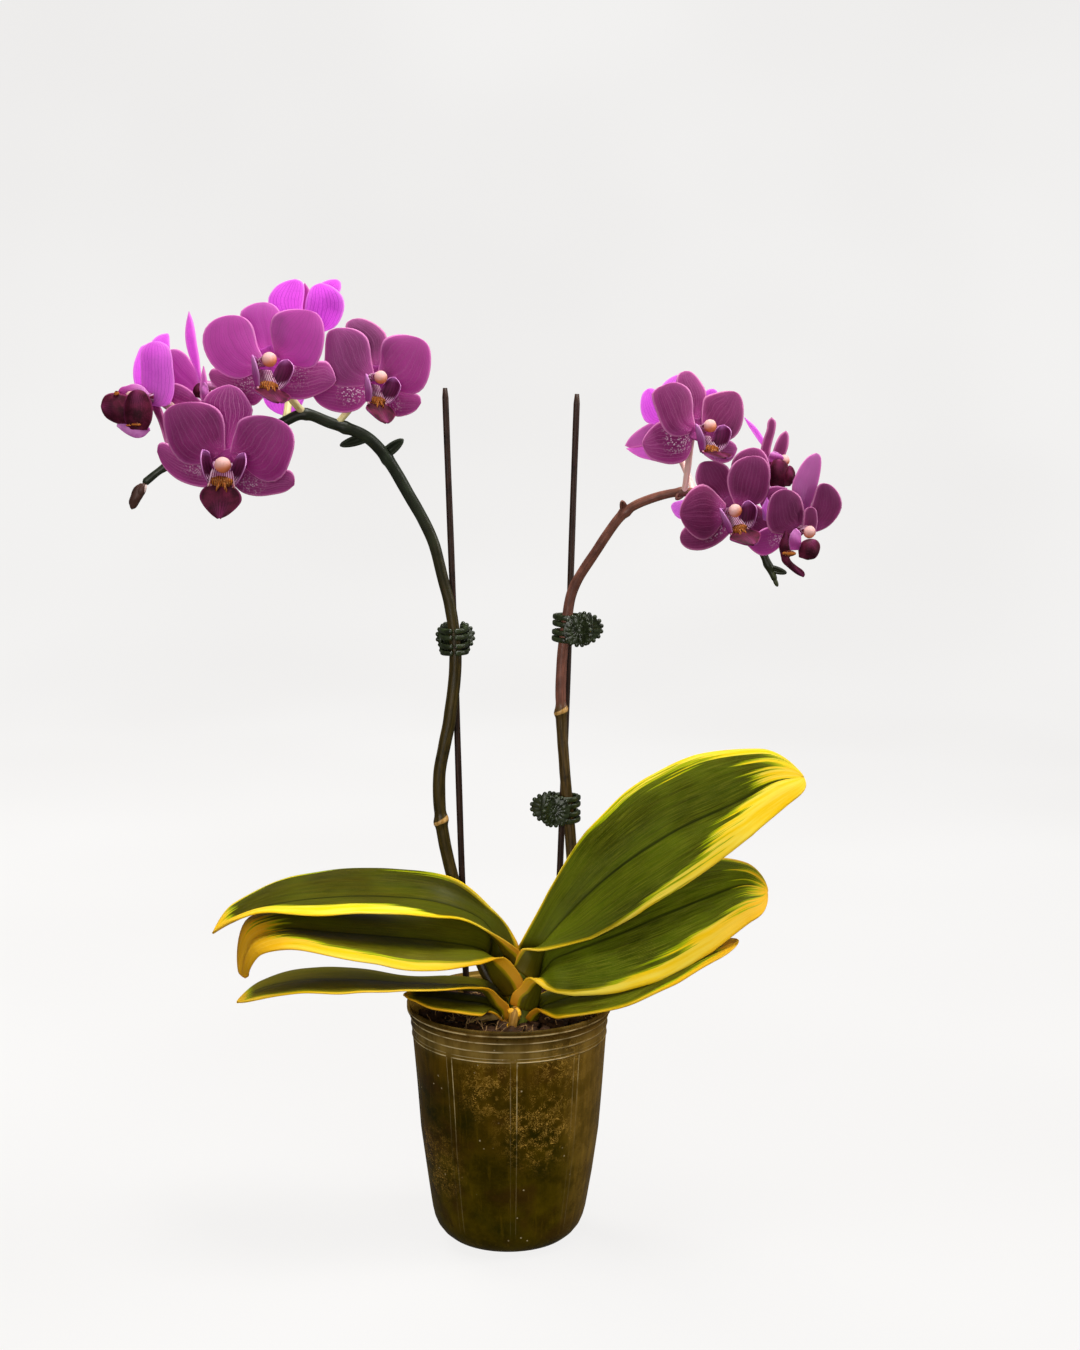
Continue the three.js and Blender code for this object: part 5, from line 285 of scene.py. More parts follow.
def spline(P, u, alpha=0.5):
    """Catmull-Rom through the points P (k, ...) at station numbers u in 0..k-1, with tangents from chord lengths."""
    P = np.asarray(P, float)
    k = len(P)
    if k == 2:
        u = np.asarray(u, float)[:, None]
        return P[0] * (1 - u) + P[1] * u
    flat = P.reshape(k, -1)
    d = np.maximum(np.linalg.norm(np.diff(flat, axis=0), axis=1), 1e-6) ** alpha
    M = np.zeros_like(flat)
    for i in range(k):
        if i == 0:
            M[i] = (flat[1] - flat[0]) / d[0]
        elif i == k - 1:
            M[i] = (flat[-1] - flat[-2]) / d[-1]
        else:
            M[i] = ((flat[i] - flat[i - 1]) / d[i - 1] * d[i] + (flat[i + 1] - flat[i]) / d[i] * d[i - 1]) / (d[i] + d[i - 1])
    u = np.clip(np.asarray(u, float), 0, k - 1 - 1e-9)
    i = u.astype(int)
    t = (u - i)[:, None]
    h = d[i][:, None]
    a, b, ma, mb = flat[i], flat[i + 1], M[i] * h, M[i + 1] * h
    r = (2 * t**3 - 3 * t**2 + 1) * a + (t**3 - 2 * t**2 + t) * ma + (-2 * t**3 + 3 * t**2) * b + (t**3 - t**2) * mb
    return r.reshape((len(u),) + P.shape[1:])


def even(P, n, dense=400):
    """Station numbers that are evenly spaced along the curve through P."""
    u = np.linspace(0, len(P) - 1, dense)
    q = spline(P, u)
    s = np.concatenate([[0], np.cumsum(np.linalg.norm(np.diff(q, axis=0), axis=1))])
    return np.interp(np.linspace(0, s[-1], n), s, u), s[-1]


def curve_frames(C):
    """Steady side and up directions along the points C."""
    T = unit(np.gradient(C, axis=0))
    side = np.cross(T[0], [0.13, -0.96, 0.21])
    side = side / np.linalg.norm(side)
    A, B = [], []
    for t in T:
        side = side - t * np.dot(side, t)
        side = side / np.linalg.norm(side)
        A.append(side)
        B.append(np.cross(t, side))
    return T, np.array(A), np.array(B)


def tube(C, R, sides, phase=None):
    """A closed solid round the points C. R[i][j] or R[i] is the radius. Gives points, faces, uv (along in cm, round in cm)."""
    n = len(C)
    T, A, B = curve_frames(C)
    ang = np.linspace(0, 2 * np.pi, sides, endpoint=False)
    R = np.asarray(R, float)
    if R.ndim == 1:
        R = np.repeat(R[:, None], sides, 1)
    V = C[:, None] + A[:, None] * (R * np.cos(ang))[..., None] + B[:, None] * (R * np.sin(ang))[..., None]
    F = []
    for i in range(n - 1):
        for j in range(sides):
            a, b = i * sides + j, i * sides + (j + 1) % sides
            F.append([a, b, b + sides, a + sides])
    F.append(list(range(sides))[::-1])
    F.append([(n - 1) * sides + j for j in range(sides)])
    s = np.concatenate([[0], np.cumsum(np.linalg.norm(np.diff(C, axis=0), axis=1))]) / 10
    uv = np.stack([np.repeat(s[:, None], sides, 1), np.repeat(np.abs(np.linspace(-1, 1, sides))[None], n, 0)], -1)
    return V.reshape(-1, 3), F, uv.reshape(-1, 2)


def lathe(profile, sides, bump=None):
    """A closed solid of revolution about Z. profile: (r, z) from the axis or closed on itself. bump(r, z, angle) -> radius."""
    pts = np.asarray(profile, float)
    ang = np.linspace(0, 2 * np.pi, sides, endpoint=False)
    V, rows = [], []
    for r, z in pts:
        if r < 1e-6:
            rows.append([len(V)])
            V.append((0, 0, z))
        else:
            row = []
            for a in ang:
                rr = bump(r, z, a) if bump else r
                row.append(len(V))
                V.append((rr * math.cos(a), rr * math.sin(a), z))
            rows.append(row)
    F = []
    closed = len(rows[0]) > 1
    seq = list(range(len(rows))) + ([0] if closed else [])
    for k in range(len(seq) - 1):
        a, b = rows[seq[k]], rows[seq[k + 1]]
        for j in range(sides):
            j2 = (j + 1) % sides
            if len(a) == 1 and len(b) > 1:
                F.append([a[0], b[j2], b[j]])
            elif len(b) == 1 and len(a) > 1:
                F.append([a[j], a[j2], b[0]])
            elif len(a) > 1:
                F.append([a[j], a[j2], b[j2], b[j]])
    return np.array(V), F


def ball(centre, radii, nu=18, nv=12, turn=None, bump=None):
    V, F = [], []
    for i in range(nv + 1):
        ph = math.pi * i / nv
        if i in (0, nv):
            V.append((0, 0, math.cos(ph)))
        else:
            for j in range(nu):
                a = 2 * math.pi * j / nu
                V.append((math.sin(ph) * math.cos(a), math.sin(ph) * math.sin(a), math.cos(ph)))
    V = np.array(V)
    if bump:
        V = V * np.array([bump(v) for v in V])[:, None]
    V = V * np.asarray(radii)
    if turn is not None:
        V = V @ np.asarray(turn).T
    V = V + np.asarray(centre)
    row = lambda i: 1 + (i - 1) * nu
    for j in range(nu):
        F.append([0, row(1) + j, row(1) + (j + 1) % nu])
        F.append([len(V) - 1, row(nv - 1) + (j + 1) % nu, row(nv - 1) + j])
    for i in range(1, nv - 1):
        for j in range(nu):
            a, b = row(i) + j, row(i) + (j + 1) % nu
            F.append([a, a + nu, b + nu, b])
    return V, F


# ------------------------------------------------------------------ materials
def leaf_material(name, under):
    m = Mat(name)
    mmv = m.uv("mm")
    st = m.noise(m.scale(mmv, (0.15, 5.2, 1)), 1.0, 4.0, 0.62)
    st2 = m.noise(m.scale(mmv, (0.18, 2.2, 1), (3.1, 1.7, 0)), 1.0, 2.0, 0.5)
    fine = m.noise(m.scale(mmv, (0.7, 30.0, 1)), 1.0, 3.0, 0.6)
    blot = m.noise(m.obj(), 40.0, 2.0, 0.5)
    grain = m.noise(m.obj(), 1100.0, 2.0, 0.6)
    s = m.math("ADD", m.math("MULTIPLY", m.math("SUBTRACT", st, 0.5), 1.6), m.math("MULTIPLY", m.math("SUBTRACT", st2, 0.5), 1.2))
    d = m.math("ADD", m.attr("edge"), m.math("MULTIPLY", s, m.attr("amp")))
    deep = m.mix(m.step(blot, 0.3, 0.7), "#303a02" if not under else "#332f03", "#526402" if not under else "#4e4a06")
    deep = m.mix(m.math("MULTIPLY", m.step(fine, 0.42, 0.66), 0.65), deep, "#7c8020")
    deep = m.mix(m.math("MULTIPLY", m.step(st, 0.42, 0.66), 0.25), deep, "#5e6408")
    deep = m.mix(m.math("MULTIPLY", m.step(m.noise(m.scale(mmv, (0.25, 9.0, 1), (7, 3, 0)), 1.0, 3.0), 0.5, 0.68), 0.4), deep, "#2c2204")
    # dusk browns the green towards olive-brown: partly the leaf's own colour, partly painted shade
    deep = m.mix(m.math("MULTIPLY", m.attr("dusk"), m.step(st2, 0.3, 0.7, 0.65, 1.0)), deep, m.mix(m.step(fine, 0.4, 0.7), "#463200", "#6e5a06"))
    deep = m.mix(m.math("MULTIPLY", m.step(grain, 0.5, 0.8), 0.18), deep, "#868838")
    # painted light: lightens the whole leaf, standing in for light on a leaf that lies under another
    deep = m.mix(m.math("MULTIPLY", m.attr("sun"), m.step(st2, 0.35, 0.65, 0.5, 1.0)), deep, "#857a16")
    # painted shade: darkens the whole leaf towards a near-black green
    deep = m.mix(m.math("MULTIPLY", m.attr("shade"), m.step(st2, 0.3, 0.6, 1.0, 0.7)), deep, "#1c2002")
    # painted shade: the midrib is darkened as the shade in its groove
    deep = m.mix(m.math("MULTIPLY", m.step(m.attr("rib"), 0.0, 1.0), 0.85), deep, "#121a02")
    deep = m.mix(m.math("MULTIPLY", m.step(m.attr("tt"), 0.42, 0.05), 0.4), deep, "#4d5204")
    deep = m.mix(m.math("MULTIPLY", m.step(m.attr("tt"), 0.16, 0.02), m.step(blot, 0.35, 0.65, 0.25, 0.75)), deep, "#4f3d04")
    warm = m.attr("warm")
    gold = m.mix(m.step(m.noise(m.scale(mmv, (0.3, 3.0, 1), (9, 2, 0)), 1.0, 2.0), 0.35, 0.7), "#ffd814", "#ffea58")
    amber = m.mix(m.step(fine, 0.35, 0.7), "#e09a0c", "#f6b822")
    gold = m.mix(warm, gold, amber)
    gold = m.mix(m.step(m.attr("tt"), 0.15, 0.02), gold, m.mix(m.step(blot, 0.3, 0.7), "#c07c10", "#e0a22c"))
    lime = m.mix(m.step(m.attr("amp"), 0.8, 4.0), m.mix(m.step(fine, 0.4, 0.7), "#9a8406", "#b09c0a"), m.mix(m.step(fine, 0.4, 0.7), "#8ea208", "#c2c416"))
    d = m.math("DIVIDE", d, m.math("ADD", 1.0, m.math("MULTIPLY", m.attr("amp"), 0.09)))
    c = m.mix(m.step(d, -0.9, -0.1), gold, lime)
    c = m.mix(m.step(d, -0.1, 0.8), c, deep)
    h = m.math("ADD", m.math("MULTIPLY", fine, 0.6), m.math("MULTIPLY", grain, 0.35))
    bump = m.bump(h, 0.42, 0.0006)
    rough = m.math("ADD", m.step(blot, 0.35, 0.65, 0.26, 0.4), m.math("MULTIPLY", fine, 0.12))
    p = m.principled(Base_Color=c, Roughness=rough, Normal=bump)
    p.inputs["Specular IOR Level"].default_value = 0.1
    t = m.n("BsdfTranslucent", {"Color": m.mix(0.35, c, "#d8d02c"), "Normal": bump})
    mixs = m.n("MixShader", {0: m.step(d, -0.8, 0.6, 0.26, 0.08), 1: p.outputs[0], 2: t.outputs[0]})
    return m.done(mixs)


def tepal_material(name, front):
    """The attribute tone runs from 0, a deep plum, over 0.5 to 1, a bright magenta: partly each flower's own colour,
    partly painted light and shade, the bright end standing in for tepals lit from behind. veiny strengthens the veins.
    """
    m = Mat(name)
    uv = m.uv("st")  # x along, y across -1..1
    mmv = m.uv("mm")
    tone, veiny = m.attr("tone"), m.attr("veiny")
    warp = m.noise(m.scale(mmv, (1.3, 1.3, 1)), 1.0, 3.0)
    warp2 = m.noise(m.scale(mmv, (3.4, 3.4, 1), (4, 7, 0)), 1.0, 2.0)
    x = m.n("SeparateXYZ", {0: uv})
    wob = m.math("ADD", m.math("MULTIPLY", m.math("SUBTRACT", warp, 0.5), 1.5), m.math("MULTIPLY", m.math("SUBTRACT", warp2, 0.5), 0.5))

    def lines(count, sharp):
        v = m.math("ADD", m.math("MULTIPLY", x.outputs[1], count), wob)
        f = m.math("ABSOLUTE", m.math("SUBTRACT", m.math("FRACT", m.math("ADD", v, 50.0)), 0.5))
        return m.step(f, sharp, 0.02)

    vein = m.math("MAXIMUM", lines(5.0, 0.14), m.math("MULTIPLY", lines(11.0, 0.2), 0.5))
    cross = m.voronoi(m.scale(mmv, (5.2, 3.0, 1)), 1.0, "DISTANCE_TO_EDGE")
    vein = m.math("MAXIMUM", vein, m.math("MULTIPLY", m.step(cross, 0.07, 0.0), 0.35))
    cell = m.noise(m.obj(), 1700.0, 2.0, 0.6)
    cloud = m.noise(m.obj(), 80.0, 3.0, 0.5)
    dusk = m.math("MULTIPLY", tone, 2.0, clamp=True)
    dawn = m.math("SUBTRACT", m.math("MULTIPLY", tone, 2.0), 1.0, clamp=True)

    def by_tone(a, b, c):
        return m.mix(dawn, m.mix(dusk, a, b), c)

    if front:
        lo, hi, vc = by_tone("#521438", "#682050", "#b03cb8"), by_tone("#681f46", "#88326f", "#dc68e4"), by_tone("#943f70", "#ca78b2", "#9434a0")
    else:
        lo, hi, vc = by_tone("#7c3f70", "#9a4fa0", "#bc58cc"), by_tone("#98598c", "#bc74c0", "#e48af0"), by_tone("#63305a", "#74387c", "#8c3496")
    base = m.mix(m.step(cloud, 0.3, 0.7), lo, hi)
    outer = m.math("MULTIPLY", m.step(x.outputs[0], 0.25, 0.98), m.step(cell, 0.0, 1.0, 0.7, 1.0))
    base = m.mix(m.math("MULTIPLY", outer, 0.4), base, by_tone("#8a386a", "#bc60ac", "#f08af6"))
    base = m.mix(m.math("MULTIPLY", vein, veiny), base, vc)
    base = m.mix(m.math("MULTIPLY", m.step(cell, 0.5, 0.85), 0.2), base, by_tone("#96487a", "#c070b0", "#ea98f0"))
    near = m.math("MULTIPLY", m.step(m.attr("tt"), 0.36, 0.0), m.step(cloud, 0.2, 0.8, 0.6, 1.0))
    base = m.mix(m.math("MULTIPLY", near, 0.75), base, "#cf55ac" if front else "#d9a2d8")
    base = m.mix(m.math("MULTIPLY", m.step(m.voronoi(m.scale(mmv, (16.0, 16.0, 1), (3, 1, 0)), 1.0), 0.3, 0.15), m.math("MULTIPLY", m.step(m.attr("tt"), 0.3, 0.05), 0.5)), base, "#f6c0ec")
    spot = m.voronoi(m.scale(mmv, (13.0, 13.0, 1)), 1.0)
    net = m.step(m.math("ADD", spot, m.math("MULTIPLY", m.math("SUBTRACT", cell, 0.5), 0.2)), 0.46, 0.26)
    base = m.mix(m.math("MULTIPLY", net, m.math("MULTIPLY", m.attr("speck"), 1.0, clamp=True)), base, "#fbe6f8")
    # painted light: the lighter band and the bright thin rim below stand in for light glowing through the thin edges
    # and a velvet sheen on them
    soft = m.step(m.math("ADD", m.attr("rim"), m.math("MULTIPLY", m.math("SUBTRACT", warp, 0.5), 2.0)), 3.4, 0.4)
    base = m.mix(m.math("MULTIPLY", soft, 0.4), base, by_tone("#a0406e", "#d058b8", "#f49cf8"))
    # pale lightens towards lilac: partly the tepal's own paler colour, partly painted light that lifts tepals lit from
    # behind or lying in shade
    base = m.mix(m.math("MULTIPLY", m.attr("pale"), m.step(cloud, 0.3, 0.7, 0.7, 1.0)), base, "#dca6e0")
    rim = m.step(m.math("ADD", m.attr("rim"), m.math("MULTIPLY", m.math("SUBTRACT", cell, 0.5), 0.3)), 1.05, 0.3)
    base = m.mix(m.math("MULTIPLY", rim, 0.92), base, by_tone("#d47cac", "#f49adc", "#fcbcfc"))
    h = m.math("ADD", m.math("MULTIPLY", vein, -0.35), m.math("MULTIPLY", cell, 0.4))
    bump = m.bump(h, 0.3, 0.00035)
    p = m.principled(Base_Color=base, Roughness=m.step(cell, 0.2, 0.9, 0.5, 0.68), Normal=bump)
    p.inputs["Specular IOR Level"].default_value = 0.14
    p.inputs["Sheen Weight"].default_value = 0.05
    p.inputs["Sheen Roughness"].default_value = 0.4
    glow = m.mix(m.math("MULTIPLY", vein, 0.5), by_tone("#b84088", "#e468cc", "#ff9cff"), by_tone("#8a3468", "#9a3c8c", "#a840b4"))
    t = m.n("BsdfTranslucent", {"Color": glow, "Normal": bump})
    s = m.n("MixShader", {0: m.step(tone, 0.0, 1.0, 0.2, 0.62), 1: p.outputs[0], 2: t.outputs[0]})
    return m.done(s)


def lip_material(name):
    """The attribute part tells apart: 0 middle lobe, 1 side lobe, 2 callus, 3 throat and column, 4 anther cap. The attribute
    side is 1 on the outside of a side lobe and on the underside of the middle lobe."""
    m = Mat(name)
    o = m.obj()
    part, side = m.attr("part"), m.step(m.attr("side"), 0.3, 0.7)
    cell = m.noise(o, 1500.0, 2.0, 0.6)
    cloud = m.noise(o, 260.0, 3.0)
    x = m.n("SeparateXYZ", {0: m.uv("st")})
    along, across = x.outputs[0], x.outputs[1]
    wine = m.mix(m.step(cloud, 0.35, 0.7), "#310a17", "#58172f")
    wine = m.mix(m.math("MULTIPLY", m.step(cell, 0.5, 0.8), 0.25), wine, "#8a2f57")
    ray = m.math("FRACT", m.math("ADD", m.math("MULTIPLY", across, 6.5), m.math("MULTIPLY", cloud, 0.8)))
    glow = m.math("MULTIPLY", m.step(m.math("ABSOLUTE", across), 0.75, 0.05), m.step(along, 0.35, 0.95))
    pinkish = m.mix(m.step(ray, 0.55, 0.8), "#a8407c", "#6a1a48")
    wine = m.mix(m.math("MULTIPLY", glow, 0.5), wine, pinkish)
    wine = m.mix(m.step(m.math("ABSOLUTE", across), 0.86, 1.0), wine, "#7e2c58")
    ear_in = m.mix(m.step(m.math("FRACT", m.math("MULTIPLY", across, 3.0)), 0.5, 0.9), "#4a1434", "#2e0a1e")
    ear_in = m.mix(m.math("MULTIPLY", m.step(along, 0.35, 0.95), 0.55), ear_in, "#7a2a62")
    ear_in = m.mix(m.math("MULTIPLY", m.step(m.math("ABSOLUTE", across), 0.72, 1.0), 0.5), ear_in, "#8a3a78")
    ear_in = m.mix(m.math("MULTIPLY", m.step(along, 0.78, 1.0), 0.75), ear_in, "#b66ab4")
    ear_in = m.mix(m.math("MULTIPLY", m.step(along, 0.3, 0.12), m.step(m.math("FRACT", m.math("MULTIPLY", across, 3.5)), 0.5, 0.7)), ear_in, "#e7b4dc")
    ear_out = m.mix(m.step(along, 0.2, 0.85), "#b84ea4", "#e696e0")
    ear_out = m.mix(m.math("MULTIPLY", m.step(m.math("ABSOLUTE", across), 0.75, 1.0), 0.6), ear_out, "#f2b4ec")
    ear_out = m.mix(m.math("MULTIPLY", m.step(m.math("FRACT", m.math("MULTIPLY", across, 4.5)), 0.6, 0.85), 0.35), ear_out, "#7a1f66")
    stripe = m.math("FRACT", m.math("ADD", m.math("MULTIPLY", across, 1.25), m.math("MULTIPLY", cloud, 1.2)))
    gold = m.mix(m.step(stripe, 0.42, 0.66), "#b66a26", "#4a140c")
    gold = m.mix(m.math("MULTIPLY", m.step(m.voronoi(o, 1500.0), 0.35, 0.15), 0.6), gold, "#eab87a")
    pale = m.mix(m.step(cloud, 0.3, 0.7), "#d494c4", "#f2d4e6")
    pale = m.mix(m.step(m.math("FRACT", m.math("ADD", m.math("MULTIPLY", across, 5.0), m.math("MULTIPLY", cloud, 0.5))), 0.5, 0.7), pale, "#7c2344")
    pale = m.mix(m.math("MULTIPLY", m.step(along, 0.6, 1.0), 0.4), pale, "#c8782a")
    # anther cap: orange at the lower right; the paler pink towards the upper left and the cream patches are a painted
    # highlight
    cap = m.mix(m.step(across, 0.2, 0.8), "#e48a50", "#f4c6c0")
    cap = m.mix(m.math("MULTIPLY", m.step(cloud, 0.55, 0.75), 0.3), cap, "#f7ead8")
    belly = m.mix(m.step(cloud, 0.3, 0.7), "#b465b4", "#d79ad8")
    c = m.mix(m.step(part, 0.4, 0.6), m.mix(side, wine, belly), m.mix(side, ear_in, ear_out))
    for at, col in ((1.5, gold), (2.5, pale), (3.5, cap)):
        c = m.mix(m.step(part, at - 0.1, at + 0.1), c, col)
    bump = m.bump(m.math("ADD", cell, m.math("MULTIPLY", cloud, 0.6)), 0.35, 0.0003)
    p = m.principled(Base_Color=c, Roughness=m.step(cell, 0.2, 0.9, 0.5, 0.7), Normal=bump)
    p.inputs["Specular IOR Level"].default_value = 0.1
    t = m.n("BsdfTranslucent", {"Color": m.mix(0.5, c, "#e070b8"), "Normal": bump})
    s = m.n("MixShader", {0: m.math("MAXIMUM", m.step(part, 0.3, 3.0, 0.08, 0.3), m.math("MULTIPLY", side, 0.35)), 1: p.outputs[0], 2: t.outputs[0]})
    return m.done(s)


def stem_material(name, base, light, dark, rough=0.45, streak=1.0, trans=0.0, flush=None, late=None, pale=("#a87c3c", "#cba060")):
    m = Mat(name)
    mmv = m.uv("mm")
    lines = m.noise(m.scale(mmv, (0.8, 9.0, 1)), 1.0, 4.0, 0.6)
    blot = m.noise(m.obj(), 130.0, 4.0, 0.6)
    speck = m.voronoi(m.obj(), 1300.0)
    c = m.mix(m.step(lines, 0.35, 0.65), base, light)
    c = m.mix(m.math("MULTIPLY", m.step(blot, 0.5, 0.75), 0.75), c, dark)
    c = m.mix(m.math("MULTIPLY", m.step(speck, 0.22, 0.1), 0.6), c, light)
    if flush:
        tint = m.mix(m.step(blot, 0.3, 0.7), flush[2], flush[3])
        tint = m.mix(m.math("MULTIPLY", m.step(lines, 0.46, 0.58), 0.55), tint, flush[3] if len(flush) < 5 else flush[4])
        c = m.mix(m.step(m.attr("tt"), flush[0], flush[1]), c, tint)
    if late:
        c = m.mix(m.step(m.attr("tt"), late[0], late[1]), c, m.mix(m.step(blot, 0.3, 0.7), late[2], late[3]))
    c = m.mix(m.step(m.attr("node"), 0.74, 0.92), c, m.mix(m.step(lines, 0.35, 0.65), pale[0], pale[1]))
    bump = m.bump(m.math("ADD", m.math("MULTIPLY", lines, 0.7), m.math("MULTIPLY", blot, 0.5)), 0.4, 0.0004 * streak)
    p = m.principled(Base_Color=c, Roughness=m.step(blot, 0.3, 0.8, rough - 0.08, rough + 0.12), Normal=bump)
    p.inputs["Specular IOR Level"].default_value = 0.22
    if trans:
        t = m.n("BsdfTranslucent", {"Color": c, "Normal": bump})
        return m.done(m.n("MixShader", {0: trans, 1: p.outputs[0], 2: t.outputs[0]}))
    return m.done(p)


def pot_material():
    m = Mat("stained_clear_plastic")
    o = m.obj()
    sx = m.n("SeparateXYZ", {0: o})
    X, Y = sx.outputs[0], sx.outputs[1]
    z = m.math("MULTIPLY", sx.outputs[2], 1000.0)
    ang = m.math("ARCTAN2", Y, X)
    pitch = math.radians(40)
    k = m.math("DIVIDE", m.math("SUBTRACT", ang, math.radians(-86) - pitch * 5.5), pitch)
    off = m.math("MULTIPLY", m.math("SUBTRACT", m.math("FRACT", k), 0.5), pitch * 41.0)
    rib = m.math("ABSOLUTE", off)
    drip = m.noise(m.scale(o, (1, 1, 0.2)), 110.0, 4.0, 0.62)
    hair = m.noise(m.scale(o, (1, 1, 0.06)), 420.0, 3.0, 0.6)
    blot = m.noise(o, 32.0, 4.0, 0.55)
    blot2 = m.noise(o, 75.0, 5.0, 0.65)
    grain = m.noise(o, 700.0, 4.0, 0.75)
    zz = m.math("ADD", z, m.math("MULTIPLY", m.math("SUBTRACT", blot, 0.5), 60.0))
    low = m.mix(m.step(blot2, 0.3, 0.7), "#352a00", "#564600")
    mid = m.mix(m.step(blot2, 0.3, 0.7), "#232100", "#4c3900")
    up = m.mix(m.step(drip, 0.3, 0.7), "#3d2c00", "#6c5009")
    top = m.mix(m.step(drip, 0.35, 0.65), "#6b5420", "#987c3c")
    c = m.mix(m.step(zz, 32.0, 62.0), low, mid)
    c = m.mix(m.step(zz, 62.0, 92.0), c, up)
    c = m.mix(m.step(z, 90.0, 97.0), c, top)
    c = m.mix(m.math("MULTIPLY", m.step(m.noise(o, 50.0, 3.0, 0.5, 0.4), 0.5, 0.68), 0.6), c, "#42290a")
    c = m.mix(m.math("MULTIPLY", m.step(m.noise(m.scale(o, (1, 1, 1), (5, 2, 1)), 42.0, 3.0), 0.55, 0.72), 0.5), c, "#1d2202")
    c = m.mix(m.math("MULTIPLY", m.step(grain, 0.52, 0.78), 0.4), c, "#654e0c")
    c = m.mix(m.math("MULTIPLY", m.step(hair, 0.56, 0.72), 0.3), c, "#70580c")

    def patch(at, r, inner=0.2):
        d = m.n("VectorMath", {0: o, 1: at}, operation="DISTANCE").outputs["Value"]
        return m.step(d, r, r * inner)

    flecks = m.math("MAXIMUM", patch((0.015, -0.038, 0.062), 0.026), m.math("MAXIMUM", m.math("MAXIMUM", m.math("MULTIPLY", patch((-0.033, -0.02, 0.04), 0.024), 0.8), m.math("MULTIPLY", patch((-0.008, -0.041, 0.080), 0.02), 0.9)), patch((0.024, -0.034, 0.092), 0.02)))
    curl = m.step(m.math("ABSOLUTE", m.math("SUBTRACT", m.noise(o, 330.0, 3.0, 0.6, 2.5), 0.5)), 0.035, 0.005)
    dots = m.step(m.voronoi(o, 520.0), 0.2, 0.08)
    mark = m.math("MULTIPLY", m.math("MAXIMUM", m.math("MULTIPLY", curl, 0.7), dots), m.math("MULTIPLY", flecks, m.step(m.noise(o, 260.0, 3.0), 0.4, 0.56)))
    c = m.mix(m.math("MULTIPLY", mark, 1.0), c, "#e2ae4e")
    lone = m.math("MULTIPLY", m.step(m.voronoi(m.scale(o, (1, 1, 1), (1, 1, 1)), 260.0), 0.13, 0.06), m.step(m.noise(o, 90.0, 2.0), 0.56, 0.66))
    c = m.mix(m.math("MULTIPLY", lone, 0.8), c, "#d8c49a")
    # pressed lines: rings under the rim, and a pair of lines along each rib
    def ring(zr, half, w=1.0):
        return m.math("MULTIPLY", m.step(m.math("ABSOLUTE", m.math("SUBTRACT", z, zr)), half, half * 0.35), w)

    open_ = m.step(rib, 1.15, 1.6)
    third = m.math("MULTIPLY", m.math("MAXIMUM", ring(93.3, 0.34), ring(94.7, 0.26, 0.45)), open_)
    rings = m.math("MAXIMUM", m.math("MAXIMUM", ring(101.9, 0.4), ring(98.0, 0.4, 0.85)), m.math("MAXIMUM", third, ring(105.5, 0.45)))
    pair = m.step(m.math("ABSOLUTE", m.math("SUBTRACT", rib, 1.35)), 0.32, 0.08)
    pair = m.math("MULTIPLY", pair, m.step(off, -0.4, 0.4, 0.4, 1.0))
    pair = m.math("MULTIPLY", pair, m.math("MULTIPLY", m.step(z, 93.4, 93.1), m.step(z, 48.0, 88.0, 0.12, 0.7)))
    line = m.math("MAXIMUM", rings, pair)
    line = m.math("MULTIPLY", line, m.step(m.noise(o, 130.0, 3.0), 0.36, 0.56, 0.3, 1.0))
    line = m.math("MULTIPLY", line, m.attr("line"))
    c = m.mix(m.math("MULTIPLY", line, 1.0), c, "#ead29a")
    # painted light: the right side is lighter and golden, standing in for light shining through the pot there
    thin = m.math("MULTIPLY", m.step(X, 0.02, 0.038), m.step(hair, 0.35, 0.65, 0.6, 1.0))
    c = m.mix(m.math("MULTIPLY", thin, 0.7), c, m.mix(m.step(blot2, 0.3, 0.7), "#80601a", "#b08838"))
    bump = m.bump(m.math("ADD", m.math("ADD", m.math("MULTIPLY", drip, 0.5), m.math("MULTIPLY", grain, 0.25)), m.math("MULTIPLY", line, 0.8)), 0.4, 0.0006)
    p = m.principled(Base_Color=c, Roughness=m.step(blot2, 0.3, 0.8, 0.2, 0.42), Normal=bump)
    p.inputs["Specular IOR Level"].default_value = 0.07
    tr = m.n("BsdfTransparent", {"Color": m.mix(0.5, "#d9c58a", c)})
    clear = m.math("MULTIPLY", m.step(z, 97.0, 106.0, 0.05, 0.62), m.step(line, 0.0, 1.0, 1.0, 0.2))
    clear = m.math("MAXIMUM", clear, m.math("MULTIPLY", m.math("MULTIPLY", m.step(Y, 0.004, 0.02), m.step(z, 99.0, 101.5)), 0.93))
    tl = m.n("BsdfTranslucent", {"Color": m.mix(0.4, c, "#a8843e"), "Normal": bump})
    s = m.n("MixShader", {0: m.step(z, 90.0, 104.0, 0.06, 0.28), 1: p.outputs[0], 2: tl.outputs[0]})
    s = m.n("MixShader", {0: clear, 1: s.outputs[0], 2: tr.outputs[0]})
    return m.done(s)


def bark_material(name, a, b, dark, light):
    m = Mat(name)
    o = m.obj()
    g = m.noise(m.scale(o, (1, 1, 3)), 210.0, 5.0, 0.65)
    k = m.voronoi(o, 260.0)
    c = m.mix(m.step(g, 0.3, 0.7), a, b)
    c = m.mix(m.math("MULTIPLY", m.step(k, 0.35, 0.1), 0.6), c, dark)
    c = m.mix(m.math("MULTIPLY", m.step(m.noise(o, 700.0, 3.0), 0.6, 0.8), 0.5), c, light)
    bump = m.bump(m.math("ADD", g, m.math("MULTIPLY", k, 0.5)), 0.8, 0.0012)
    p = m.principled(Base_Color=c, Roughness=m.step(g, 0.3, 0.8, 0.55, 0.9), Normal=bump)
    p.inputs["Specular IOR Level"].default_value = 0.2
    return m.done(p)


